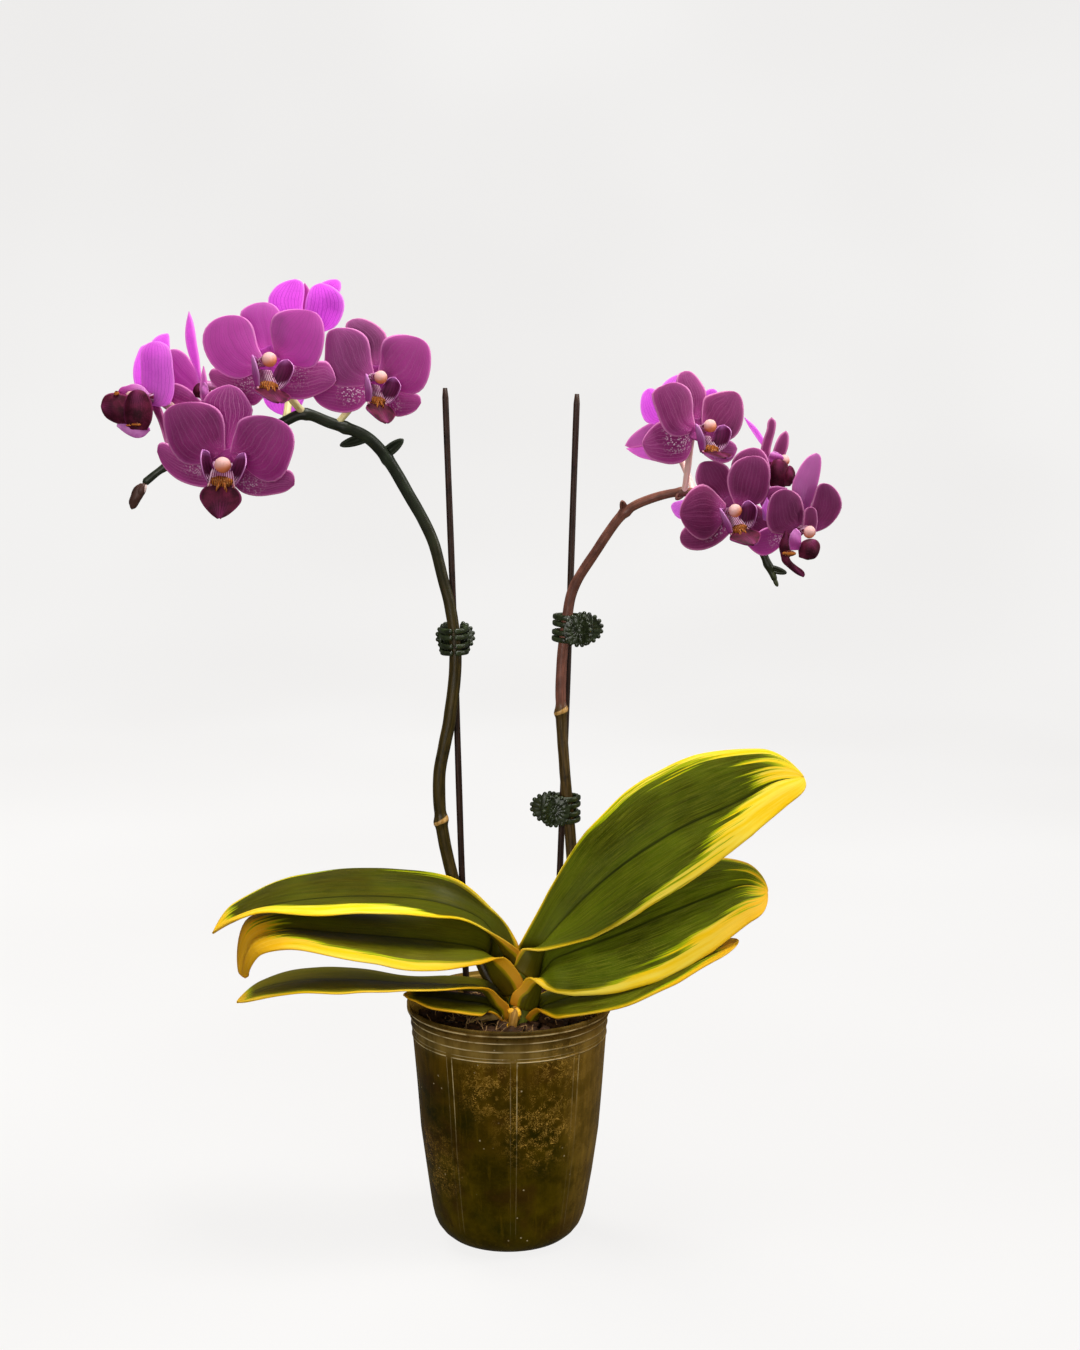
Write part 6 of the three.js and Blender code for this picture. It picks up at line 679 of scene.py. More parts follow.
def plastic_material(name, a, b):
    m = Mat(name)
    o = m.obj()
    g = m.noise(o, 420.0, 3.0)
    f = m.noise(o, 3000.0, 2.0)
    c = m.mix(m.step(g, 0.3, 0.7), a, b)
    bump = m.bump(f, 0.2, 0.0002)
    p = m.principled(Base_Color=c, Roughness=m.step(g, 0.3, 0.8, 0.28, 0.45), Normal=bump)
    return m.done(p)


def metal_material(name):
    m = Mat(name)
    o = m.obj()
    g = m.noise(o, 900.0, 3.0)
    c = m.mix(g, "#8d8a84", "#c3c0ba")
    p = m.principled(Base_Color=c, Roughness=m.step(g, 0.3, 0.8, 0.2, 0.4), Normal=m.bump(g, 0.15, 0.0002))
    p.inputs["Metallic"].default_value = 1.0
    return m.done(p)


LEAF_TOP, LEAF_UNDER = leaf_material("leaf_face", False), leaf_material("leaf_underside", True)
TEPAL_FACE, TEPAL_BACK = tepal_material("tepal_face", True), tepal_material("tepal_back", False)
LIP = lip_material("lip_wine")
SPIKE = {
    "left": stem_material("spike_green_brown", "#2c240c", "#483a18", "#1b1508", 0.38, flush=(0.42, 0.66, "#333a2c", "#20241a")),
    "right": stem_material("spike_rose_brown", "#382a12", "#5c4826", "#1e160a", 0.38, flush=(0.43, 0.45, "#89594a", "#5a382e"), late=(0.86, 0.9, "#2c2f1c", "#1c1f12")),
}
BUD = {"left": stem_material("bud_brown", "#33201a", "#5a3c34", "#1a0f0a", 0.5, pale=("#d8b8b0", "#f0dcd4")), "right": stem_material("tip_olive", "#262a18", "#454a2c", "#14160c", 0.5)}
TIP = stem_material("spike_tip", "#4d4a2c", "#7a744a", "#2c2716", 0.5)
PEDICEL = {
    "left": stem_material("pedicel_cream", "#d9cf8e", "#efe6ae", "#b3a35a", 0.4, trans=0.22, flush=(0.55, 0.1, "#d79fc0", "#b763a6")),
    "right": stem_material("pedicel_rose", "#f4c8be", "#ffe2d8", "#d8a09a", 0.4, trans=0.15, flush=(0.4, 0.05, "#d58cc0", "#b763a6")),
}
STAKE = stem_material("dark_cane", "#22150f", "#3c281e", "#110a07", 0.5)
ROOT = stem_material("root_skin", "#a8843e", "#cdb070", "#6e4f1e", 0.75, trans=0.05)
OLD_ROOT = stem_material("old_root_skin", "#6e4a12", "#a87c2c", "#3c2608", 0.6)
STUB = stem_material("dry_stub", "#c88410", "#ffc42c", "#8a5208", 0.5)
POT = pot_material()
BARK = bark_material("damp_bark", "#2a180b", "#452b14", "#0e0703", "#6d5230")
FILL = bark_material("packed_medium", "#241604", "#3a2a0e", "#100a02", "#5a4c22")
MOSS = bark_material("dry_moss", "#6d4a26", "#a9875a", "#2c1a0c", "#e3d3b4")
CLIP = plastic_material("clip_green_plastic", "#191f0d", "#2f391d")
WIRE = metal_material("spring_wire")


# ------------------------------------------------------------------ leaves
def leaf(name, data, seed):
    rng = random.Random(seed)
    rails = data["rails"]  # stations of five points: near, half near, middle, half far, far
    R = np.array(rails, float)
    k = len(R)
    tip_pow = data["tip"]
    nst = 100
    nt = 16
    last = k - 2
    off = R - R[:, 2:3]
    ub, _ = even(R[: last + 1, 2], nst - nt)
    # points crowd towards the tip, where the halves close in like the end of an ellipse
    th = np.linspace(0, 1, nt + 1)[1:]
    un = np.concatenate([ub, last + 1 - (1 - th * 0.985) ** 2])
    mid = spline(R[:, 2], un)
    off_u = spline(off[: last + 1], np.minimum(un, last))
    x = np.clip(un - last, 0, 1)
    s0, s1 = (spline(off[: last + 1], np.array([last - 0.08, last]))[i] for i in (0, 1))
    ds = np.linalg.norm(spline(R[:, 2], np.array([last - 0.08, last]))[1] - spline(R[:, 2], np.array([last - 0.08, last]))[0])
    run = np.linalg.norm(R[last + 1, 2] - R[last, 2])
    E = np.ones((len(un), 5))
    for j in (0, 1, 3, 4):
        w0, w1 = np.linalg.norm(s0[j]), np.linalg.norm(s1[j])
        c1 = min(max(tip_pow + (w1 - w0) / ds * run / max(w1, 1e-6), -0.35), 0.6)
        E[:, j] = np.maximum(1 - x, 0.0006) ** tip_pow * (1 + c1 * x)
    off_u = off_u * E[:, :, None]
    E = E[:, 0]
    ns = 41
    s = np.linspace(-1, 1, ns)
    # across: a smooth line through the five rails, with a soft fold at the middle
    P = np.zeros((nst, ns, 3))
    su = (s + 1) * 2
    for i in range(nst):
        P[i] = mid[i] + spline(off_u[i], su, 1.0)
    N = grid_normals(P)
    if N[nst // 2, ns // 2, 2] < 0:
        P = P[:, ::-1]
        N = grid_normals(P)
        s_sign = -1
    else:
        s_sign = 1
    half = np.stack([np.linalg.norm(off_u[:, 0], axis=1), np.linalg.norm(off_u[:, 4], axis=1)], 1)
    w = np.where(s[None, :] * s_sign < 0, half[:, :1], half[:, 1:])
    dist = np.abs(s)[None, :] * w
    arc = np.concatenate([[0], np.cumsum(np.linalg.norm(np.diff(mid, axis=0), axis=1))])
    length = arc[-1]
    tt = arc / length
    # groove over the midrib, gentle waves towards the margins
    groove = 0.55 * np.exp(-((dist / 1.3) ** 2)) * np.clip(1 - tt, 0.15, 1)[:, None]
    wave = np.array([[noise.noise(Vector((tt[i] * length / 17.0 + seed * 7.3, s[j] * 1.1 + seed, 0.0))) for j in range(ns)] for i in range(nst)])
    fade = np.clip((tt - 0.2) / 0.2, 0, 1)[:, None]
    P = P + N * (wave * np.abs(s)[None, :] ** 1.5 * data["wave"] * fade - groove)[..., None]
    N = grid_normals(P)
    thick = 0.55 + (data["thick"] - 0.55) * np.clip(1 - np.abs(s) ** 4, 0, 1)[None, :] * np.clip(E, 0.35, 1)[:, None]
    V, F, K = shell(P, thick, N)
    edge_mm = (1 - np.abs(s))[None, :] * w
    far = np.where(s[None, :] * s_sign > 0, 1, 0)
    m_near = np.interp(tt, *zip(*data["near_margin"]))
    m_far = np.interp(tt, *zip(*data["far_margin"]))
    margin = np.where(far == 1, m_far[:, None], m_near[:, None])
    tipdist = (1 - tt)[:, None] * length
    edge = np.minimum(edge_mm - margin, (tipdist - data["tip_gold"]) * 0.55)
    amp = np.interp(tt, *zip(*data["streak"]))[:, None] * np.ones_like(edge)
    rib = np.exp(-((dist / 0.9) ** 2))
    warm = np.interp(tt, *zip(*data["warm"]))[:, None] * np.ones_like(edge)
    across = s[None, :] * w.max(0)[None, :] + 0 * edge
    uv = np.stack([np.broadcast_to(arc[:, None] / 10, across.shape) + seed * 3.7, across / 10 + seed * 1.3], -1).reshape(-1, 2)
    two = lambda a: np.concatenate([a.reshape(-1)] * 2)
    build(
        name, V, F, [LEAF_TOP, LEAF_UNDER, LEAF_TOP], K,
        uvs={"mm": np.concatenate([uv, uv])},
        attrs={"dusk": np.full(2 * edge.size, data.get("dusk", 0.0)), "sun": np.full(2 * edge.size, data.get("sun", 0.0)), "shade": np.full(2 * edge.size, data.get("shade", 0.0)), "warm": two(warm), "edge": two(edge), "amp": two(amp), "rib": two(rib), "tt": two(np.broadcast_to(tt[:, None], edge.shape))},
        replaces=[name.replace("_blade", "")], slot="leaf",
    )


for i, (name, data) in enumerate(LEAVES.items()):
    leaf(name + "_blade", data, i + 1)

# ------------------------------------------------------------------ flowers
PET = [(0, 0.16), (0.06, 0.28), (0.14, 0.52), (0.26, 0.82), (0.4, 0.97), (0.55, 1.0), (0.7, 0.955), (0.82, 0.82), (0.91, 0.61), (0.97, 0.36), (1, 0.02)]
SEP = [(0, 0.26), (0.08, 0.44), (0.2, 0.68), (0.36, 0.89), (0.52, 1.0), (0.66, 0.97), (0.79, 0.82), (0.89, 0.6), (0.96, 0.35), (1, 0.02)]
TEPALS = {
    # direction in the flower's plane (90 is up), length, width, start, height at the start, slope, bend, cupping, outline
    "dorsal_sepal": (90, 31, 23, 1.5, -1.3, 0.05, 0.02, -0.10, SEP),
    "right_sepal": (-18, 29, 17, 1.5, -1.7, 0.02, -0.06, 0.10, SEP),
    "left_sepal": (198, 29, 17, 1.5, -1.7, 0.02, -0.06, 0.10, SEP),
    "right_petal": (32, 27.5, 26, 1.2, 0.6, 0.10, -0.10, -0.10, PET),
    "left_petal": (148, 27.5, 26, 1.2, 0.6, 0.10, -0.10, -0.10, PET),
}


def outline(tab, t):
    xs, ys = np.array(tab).T
    return spline(np.stack([xs, ys], 1), np.interp(t, xs, np.arange(len(xs))), 1.0)[:, 1]


def flower_frame(turn):
    y, p, r = [math.radians(a) for a in turn]
    f = np.array([math.sin(y) * math.cos(p), -math.cos(y) * math.cos(p), math.sin(p)])
    r0 = unit(np.cross([0, 0, 1.0], f))
    u0 = np.cross(f, r0)
    up = math.cos(r) * u0 + math.sin(r) * r0
    side = math.cos(r) * r0 - math.sin(r) * u0
    return np.array([side, up, f])


def tepal(kind, varies, rng):
    ang, L, W, b, z0, a1, a2, cup, tab = TEPALS[kind]
    da, fl, fw, ds, tw, sx, sy, sz = (list(varies.get(kind, (0, 1, 1, 0))) + [0] * 4)[:8]
    L, W, a1 = L * fl, W * fw, a1 + ds
    a = math.radians(ang + da + rng.uniform(-1.5, 1.5))
    n, ns = (27, 19)
    t = 0.5 * (1 - np.cos(np.pi * np.linspace(0, 1, n)))
    s = np.linspace(-1, 1, ns)
    h = W / 2 * outline(tab, t)
    # one edge is a little fuller than the other
    lop = 1 + 0.05 * rng.uniform(-1, 1) * np.sign(s)
    key = rng.uniform(0, 90)
    uneven = np.array([[1 + (0.055 if tab is PET else 0.03) * noise.noise(Vector((tt_ * 3.2 + key, (1.7 if s_ > 0 else 6.1), key))) + 0.012 * noise.noise(Vector((tt_ * 13.0 + key, (2.7 if s_ > 0 else 9.1), key))) for s_ in s] for tt_ in t])
    bend = rng.uniform(-0.9, 0.9)
    X = b + L * t[:, None] + 0 * s[None, :]
    Y = h[:, None] * s[None, :] * lop[None, :] * uneven + bend * (t[:, None] ** 2)
    Z = z0 + L * (a1 * t + a2 * t * t)[:, None] + cup * h[:, None] * (s**2)[None, :]
    ph = [rng.uniform(0, 6.28) for _ in range(5)]
    petal = tab is PET
    ripple = (0.55 if petal else 0.35) * np.sin(t[:, None] * 9 + ph[0] + 1.6 * np.sign(s)[None, :] * ph[1] / 3) * (np.abs(s) ** 2.2)[None, :] * np.clip(t * 3, 0, 1)[:, None]
    sag = (0.5 if petal else 0.35) * np.sin(t[:, None] * 5 + ph[2]) * np.cos(s[None, :] * 2 + ph[3]) * np.clip(t * 2.5, 0, 1)[:, None]
    crease = -0.32 * np.exp(-((h[:, None] * s[None, :] / 0.9) ** 2)) * np.clip(1.15 - t, 0, 1)[:, None]
    vein = 0.06 * np.cos(2 * np.pi * 6.5 * np.abs(s))[None, :] * np.clip(np.sin(np.pi * t), 0, 1)[:, None]
    curl = -(0.9 if petal else 1.2) * np.clip(t - 0.8, 0, 1)[:, None] ** 1.5 * (1 if rng.random() < 0.6 else -0.6) * 3
    Z = Z + ripple + sag + crease + vein + curl
    if tw:  # the petal is twisted about its own length, from the claw on
        q = math.radians(tw) * np.clip(t / 0.25, 0, 1)[:, None]
        mid = (z0 + L * (a1 * t + a2 * t * t))[:, None]
        Y, Z = Y * np.cos(q) - (Z - mid) * np.sin(q), mid + Y * np.sin(q) + (Z - mid) * np.cos(q)
    e, nn = np.array([math.cos(a), math.sin(a)]), np.array([-math.sin(a), math.cos(a)])
    P = np.stack([e[0] * X + nn[0] * Y + sx, e[1] * X + nn[1] * Y + sy, Z + sz], -1)
    rim = np.minimum((1 - np.abs(s))[None, :] * np.maximum(h, 0.3)[:, None], (1 - t)[:, None] * L * 0.9)
    th = 0.26 + 0.5 * np.clip(rim / 5, 0, 1)
    # lateral sepals carry pale speckles on the half next to the lip
    speck = np.zeros_like(rim)
    if kind in ("right_sepal", "left_sepal"):
        inner = -s if kind == "right_sepal" else s
        speck = np.clip(2.0 - np.abs(t - 0.28)[:, None] / 0.15, 0, 1) * np.clip(0.8 + 1.2 * inner[None, :], 0, 1)
    elif petal:
        speck = 0.5 * np.clip(1 - t[:, None] / 0.14, 0, 1) + 0 * s[None, :]
    return P, th, rim, speck, t, s, L, h


def between(lo, hi, dome, t, s, rng=None):
    """A petal from its two edges, each a row of points from the claw to the tip. dome swells it towards the viewer."""
    rows = []
    for E in (lo, hi):
        E = np.array(E, float)
        u, _ = even(E, 160)
        C = spline(E, u)
        rows.append(np.stack([np.interp(t, np.linspace(0, 1, 160), C[:, k]) for k in range(3)], -1))
    a, b = rows
    w = b - a
    d = unit(w[len(w) // 2])
    short = np.maximum(0, 0.3 - np.linalg.norm(w, axis=1))[:, None] / 2
    a, b = a - d * short, b + d * short
    h = np.linalg.norm(b - a, axis=1) / 2
    L = np.linalg.norm((a + b)[-1] - (a + b)[0]) / 2
    P = a[:, None] * (1 - s[None, :, None]) / 2 + b[:, None] * (1 + s[None, :, None]) / 2
    bulge = dome * h[:, None] * (1 - s[None, :] ** 2)
    if rng:
        bulge = bulge + 0.35 * np.sin(t[:, None] * 8 + rng.uniform(0, 6)) * (np.abs(s)[None, :] ** 2) * np.sin(np.pi * t)[:, None]
        bulge = bulge - 0.3 * np.exp(-((h[:, None] * s[None, :] / 0.9) ** 2)) * np.clip(1.15 - t, 0, 1)[:, None]
    P[..., 1] -= bulge
    rim = np.minimum((1 - np.abs(s))[None, :] * np.maximum(h, 0.3)[:, None], (1 - t)[:, None] * L * 0.9)
    return P, 0.26 + 0.5 * np.clip(rim / 5, 0, 1), rim, L, h


def lip_lobes(lobes):
    """A lip seen from its side: lobes given by their edges, and small round parts."""
    soup = Soup()
    t = 0.5 * (1 - np.cos(np.pi * np.linspace(0, 1, 23)))
    s = np.linspace(-1, 1, 15)
    for q in lobes:
        if "at" in q:
            V, F = ball(q["at"], q["radii"], 20, 14, bump=lambda v: 1 + 0.12 * noise.noise(Vector(v) * 2.3))
            up = np.clip((V[:, 2] - V[:, 2].min()) / np.ptp(V[:, 2]), 0, 1)
            soup.add(V, F, uvs={"st": np.stack([up, up], 1)}, attrs={"part": np.full(len(V), float(q["part"])), "side": np.zeros(len(V))})
            continue
        P, th, rim, L, h = between(q["lo"], q["hi"], q["dome"], t, s)
        P[..., 1] += 0.25 * np.sin(t[:, None] * 11 + 2 * s[None, :])
        V, F, K = shell(P, 0.35 + 0.4 * np.clip(rim / 2, 0, 1))
        st = np.stack(np.meshgrid(t, s, indexing="ij"), -1).reshape(-1, 2)
        soup.add(V, F, uvs={"st": np.concatenate([st, st])}, attrs={"part": np.full(len(V), float(q["part"])), "side": np.full(len(V), float(q["side"]))})
    return soup


def lip_shapes(lip):
    """The lip in the flower's own axes: X to the right, Y up, Z to the viewer."""
    turn, size, forward, lift = lip
    soup = Soup()
    s9 = np.linspace(-1, 1, 15)

    def put(P, th, part, front):
        """front: a direction on the side that is the inside or the top."""
        N = grid_normals(P)
        mid = N[P.shape[0] // 2, P.shape[1] // 2]
        if np.dot(mid, front) < 0:
            N = -N
        V, F, K = shell(P, th, N)
        n, m = P.shape[:2]
        st = np.stack(np.meshgrid(np.linspace(0, 1, n), np.linspace(-1, 1, m), indexing="ij"), -1).reshape(-1, 2)
        soup.add(V, F, uvs={"st": np.concatenate([st, st])}, attrs={"part": np.full(len(V), part), "side": np.repeat([0.0, 1.0], n * m)})

    # middle lobe: heart-shaped, keeled, nearly flat, its tip narrow
    phi = math.radians(forward)
    t = 0.5 * (1 - np.cos(np.pi * np.linspace(0, 1, 29)))
    w = np.interp(t, [0, 0.08, 0.2, 0.35, 0.5, 0.65, 0.8, 0.92, 1], [2.2, 4.5, 7.2, 8.6, 8.2, 6.8, 4.8, 2.9, 0.7])
    w = np.convolve(np.pad(w, 2, mode="edge"), [0.1, 0.2, 0.4, 0.2, 0.1], "valid")
    w[0], w[-1] = 2.0, 0.6
    bendd = phi + 0.22 - 0.42 * t
    dl = np.diff(t, prepend=0) * 13.5
    yy = -9.6 - np.cumsum(np.cos(bendd) * dl)
    zz = 8.2 + np.cumsum(np.sin(bendd) * dl)
    P = np.zeros((29, 15, 3))
    nrm = np.stack([0 * t, np.sin(bendd), np.cos(bendd)], -1)
    for i in range(29):
        fold = -0.05 * w[i] * s9**2 + 0.5 * np.exp(-((s9 * w[i] / 0.8) ** 2)) + 0.35 * np.sin(t[i] * 7 + 2 * np.sign(s9)) * np.abs(s9) ** 2
        P[i] = np.stack([s9 * w[i], yy[i] + 1.6 * np.abs(s9) ** 2 * math.cos(bendd[i]) * max(0, 1 - t[i] * 2.5), np.full(15, zz[i])], -1) + nrm[i] * fold[:, None]
    put(P, 0.8, 0, (0, math.sin(phi), math.cos(phi)))
    # side lobes stand up on both sides of the column, like two spoons turned towards it
    for k in (-1, 1):
        t = np.linspace(0, 1, 21)
        s = np.linspace(-1, 1, 15)
        w = 5.2 * np.sin(np.pi * np.clip(t * 0.76 + 0.22, 0, 1)) ** 0.6 + 0.15
        w *= 1 + 0.05 * np.sin(t * 9 + k)
        cx = k * (4.5 + 4.4 * np.sin(t * 1.3) - 0.9 * t**3)
        cy = -9.2 + 13.2 * t
        cz = 7.2 + 1.9 * np.sin(t * 2.6)
        wide = unit(np.array([k * 0.42, 0.1, 0.9]))
        outw = unit(np.array([k * 0.9, -0.1, -0.42]))
        P = np.zeros((21, 15, 3))
        for i in range(21):
            roll = 0.42 * w[i] * (1 - s**2) - 0.25 * w[i] - 0.5 * t[i] ** 2 * s**2
            P[i] = np.array([cx[i], cy[i], cz[i]]) + wide * (w[i] * s)[:, None] + outw * roll[:, None]
            P[i, :, 0] += k * 0.7 * t[i] ** 2 * s
            P[i, :, 1] -= 0.9 * t[i] ** 2 * s**2
        put(P, 0.5, 1, -outw)
    # channel from the column's foot to the callus
    t = np.linspace(0, 1, 13)
    s = np.linspace(-1, 1, 13)
    P = np.zeros((13, 13, 3))
    for i in range(13):
        wd = 3.6 + 1.9 * t[i]
        P[i, :, 0] = s * wd
        P[i, :, 1] = -1.2 - 9.2 * t[i]
        P[i, :, 2] = 1.2 + 6.4 * t[i] + 1.9 * s**2
    put(P, 0.9, 3, (0, 0, 1))
    # callus: a warty fan-shaped cushion with two short teeth
    V, F = ball((0, -8.4, 8.3), (4.7, 2.3, 2.0), 30, 16, bump=lambda v: 1 + 0.10 * noise.noise(Vector(v) * 4.1) + 0.07 * math.cos(v[0] * 22.0))
    soup.add(V, F, uvs={"st": np.stack([V[:, 1], V[:, 0]], 1)}, attrs={"part": np.full(len(V), 2.0)})
    for k in (-1, 1):
        C = spline([[k * 0.9, -8.8, 10.2], [k * 1.3, -9.8, 11.3], [k * 1.9, -11.0, 11.6], [k * 2.2, -11.9, 11.1]], np.linspace(0, 3, 12))
        V, F, _ = tube(C, np.linspace(0.85, 0.25, 12), 8)
        soup.add(V, F, uvs={"st": np.stack([V[:, 1], V[:, 0]], 1)}, attrs={"part": np.full(len(V), 2.0)})
    # turn and size
    a = -math.radians(turn[0] if isinstance(turn, (list, tuple)) else turn)
    M = np.array([[math.cos(a), -math.sin(a), 0], [math.sin(a), math.cos(a), 0], [0, 0, 1]])
    soup.v = [((v * [size, size, 1]) @ M.T) for v in soup.v]
    return soup


def column_shapes():
    soup = Soup()
    C = spline([[0, 0.1, 0.2], [0, 0.4, 3.2], [0, 1.0, 6.0], [0, 1.3, 8.2]], np.linspace(0, 3, 18))
    R = np.interp(np.linspace(0, 1, 18), [0, 0.3, 0.75, 1], [2.2, 1.9, 2.5, 2.3])
    ang = np.linspace(0, 2 * np.pi, 20, endpoint=False)
    RR = R[:, None] * (1 + 0.16 * np.cos(2 * ang)[None, :] * np.linspace(0, 1, 18)[:, None])
    V, F, uv = tube(C, RR, 20)
    soup.add(V, F, uvs={"st": np.stack([uv[:, 0], V[:, 0] / 3], 1)}, attrs={"part": np.full(len(V), 3.0)})
    # anther cap, with a small beak at its lower front
    V, F = ball((0, 0.9, 8.8), (3.3, 3.2, 2.8), 24, 16, bump=lambda v: 1 + 0.10 * max(0.0, -v[1]) * max(0.0, v[2]) - 0.05 * max(0.0, 1 - abs(v[0]) * 5) * max(0.0, v[2]))
    # up runs towards the cap's upper left, where its painted highlight goes
    up = np.clip((V[:, 1] - 0.35 * V[:, 0] - (0.9 - 3.2)) / 6.4, 0, 1)
    soup.add(V, F, uvs={"st": np.stack([up, up], 1)}, attrs={"part": np.full(len(V), 4.0)})
    return soup


def place(V, o, R, size):
    return np.asarray(o) + (V * size) @ R


SPECKLED = {"left_1": 0.25, "left_2": 0.45, "left_3": 1.0, "right_1": 1.2, "right_2": 0.9, "right_3": 1.0}

for name, f in FLOWERS.items():
    rng = random.Random(name)
    R = flower_frame(f["turn"])
    side = name.split("_")[0]
    tag = "flower_" + name
    for kind in TEPALS:
        P, th, rim, speck, t, s, L, h = tepal(kind, f["varies"], rng)
        own = f["sheets"].get(kind)
        if own:
            P, th, rim, L, h = between(own["lo"], own["hi"], own["dome"], t, s, rng)
            k_ = own["speck"]
            speck = abs(k_) * np.clip(2.0 - np.abs(t - 0.22)[:, None] / 0.16, 0, 1) * np.clip(0.8 + 1.2 * s[None, :] * np.sign(k_), 0, 1)
        V, F, K = shell(P, th)
        if (-grid_normals(P)[13, 9, 1] if own else grid_normals(P)[13, 9, 2]) < 0:
            K = [{0: 1, 1: 0, 2: 2}[k] for k in K]
        if not own:
            V = place(V, f["centre"], R, f["size"])
        st = np.stack(np.meshgrid(t, s, indexing="ij"), -1).reshape(-1, 2)
        mmv = np.stack([np.broadcast_to(t[:, None] * L / 10, rim.shape), s[None, :] * h[:, None] / 10], -1).reshape(-1, 2) + [rng.uniform(0, 30), rng.uniform(0, 30)]
        two = lambda a: np.concatenate([np.broadcast_to(a, rim.shape).reshape(-1)] * 2)
        build(
            tag + "_" + kind, V, F, [TEPAL_FACE, TEPAL_BACK, TEPAL_FACE], K,
            uvs={"st": np.concatenate([st, st]), "mm": np.concatenate([mmv, mmv])},
            attrs={
                "rim": two(rim), "speck": two(speck * (1 if own else SPECKLED.get(name, 0.8))), "tt": two(t[:, None]),
                "pale": np.full(2 * rim.size, f["pales"].get(kind, 0.0)),
                "tone": np.full(2 * rim.size, min(1.0, max(0.0, f["tones"].get(kind, f["tone"]) + rng.uniform(-0.05, 0.05)))),
                "veiny": np.full(2 * rim.size, (own or {}).get("veiny", 0.36 if "petal" in kind else 0.9)),
            },
            replaces=[tag + "_tepals"], slot="tepal",
        )
    if "left_petal" in f["sheets"] and f["cup"]:
        # where the five claws meet
        rr, aa = np.linspace(0.03, 1, 9), np.linspace(0, 2 * np.pi, 33)
        wave = 1 + 0.12 * np.cos(5 * aa + 0.6)
        P = np.stack([7.2 * rr[:, None] * wave * np.cos(aa), 6.6 * rr[:, None] * wave * np.sin(aa), 0.9 * rr[:, None] ** 2 + 0.15 * np.sin(aa * 7) - 0.3], -1)
        V, F, K = shell(P, 0.6)
        if grid_normals(P)[4, 8, 2] < 0:
            K = [{0: 1, 1: 0, 2: 2}[k] for k in K]
        st = np.stack(np.meshgrid(rr, np.sin(aa), indexing="ij"), -1).reshape(-1, 2)
        st = np.concatenate([st, st])
        cup = lambda a: np.full(len(V), float(a))
        build(tag + "_claws", place(V, f["centre"], R, f["size"]), F, [TEPAL_FACE, TEPAL_BACK, TEPAL_FACE], K, uvs={"st": st, "mm": st}, attrs={"rim": cup(6), "speck": cup(0), "tt": np.clip(0.05 + 0.2 * np.tile(np.repeat(rr, 33), 2), 0, 1), "pale": cup(0), "tone": cup(min(1, f["tone"] + 0.15)), "veiny": cup(0.3)}, replaces=[tag + "_tepals"], slot="tepal")
    q = math.radians(f["aside"])
    side_turn = np.array([[math.cos(q), 0, math.sin(q)], [0, 1, 0], [-math.sin(q), 0, math.cos(q)]])
    pivot = np.array([0, 0, 7.5])
    if f["lobes"]:
        soup = lip_lobes(f["lobes"])
    else:
        soup = lip_shapes(f["lip"])
        soup.v = [place((v + [0, f["lip"][3], 0] - pivot) @ side_turn.T + pivot, f["centre"], R, f["size"]) for v in soup.v]
    soup.object(tag + "_labellum", [LIP], replaces=[tag + "_lip"], slot="lip")
    soup = column_shapes()
    soup.v = [place((v - pivot) @ side_turn.T + pivot, f["centre"], R, f["size"]) + np.array(f["column"]) for v in soup.v]
    soup.object(tag + "_column", [LIP], replaces=[tag + "_lip"], slot="lip")
    # the flower's own stalk, ribbed where it swells into the ovary
    at = np.array(f["joins"], float)
    back = place(np.array([0, 0, -0.2]), f["centre"], R, f["size"])
    neck = place(np.array([0, -0.3, -3.5]), f["centre"], R, f["size"])
    behind = place(np.array([0, -1.5, -8.5]), f["centre"], R, f["size"])
    near = at + (behind - at) * 0.45
    n = 40
    ctrl = np.array([back, neck, behind, near, at])
    if f["route"]:
        ctrl = np.array([back] + f["route"] + [at])
    u, length = even(ctrl, n)
    C = spline(ctrl, u)
    ss = np.linspace(0, 1, n)
    rad = f["size"] * np.interp(ss, [0, 0.05, 0.14, 0.32, 0.6, 0.9, 1], [2.7, 2.3, 1.95, 2.05, 1.95, 1.85, 2.2])
    ang = np.linspace(0, 2 * np.pi, 18, endpoint=False)
    RR = rad[:, None] * f["stalk"] * (1 + 0.07 * np.cos(6 * ang[None, :] + 3 * ss[:, None]) * np.interp(ss, [0, 0.1, 0.35, 0.6], [0.2, 1, 1, 0.2])[:, None])
    V, F, uv = tube(C, RR, 18)
    build(tag + "_stalk", V, F, [PEDICEL[side]], uvs={"mm": uv}, attrs={"tt": np.repeat(ss, 18), "node": np.zeros(len(V))}, replaces=[tag + "_tepals"], slot="spike")

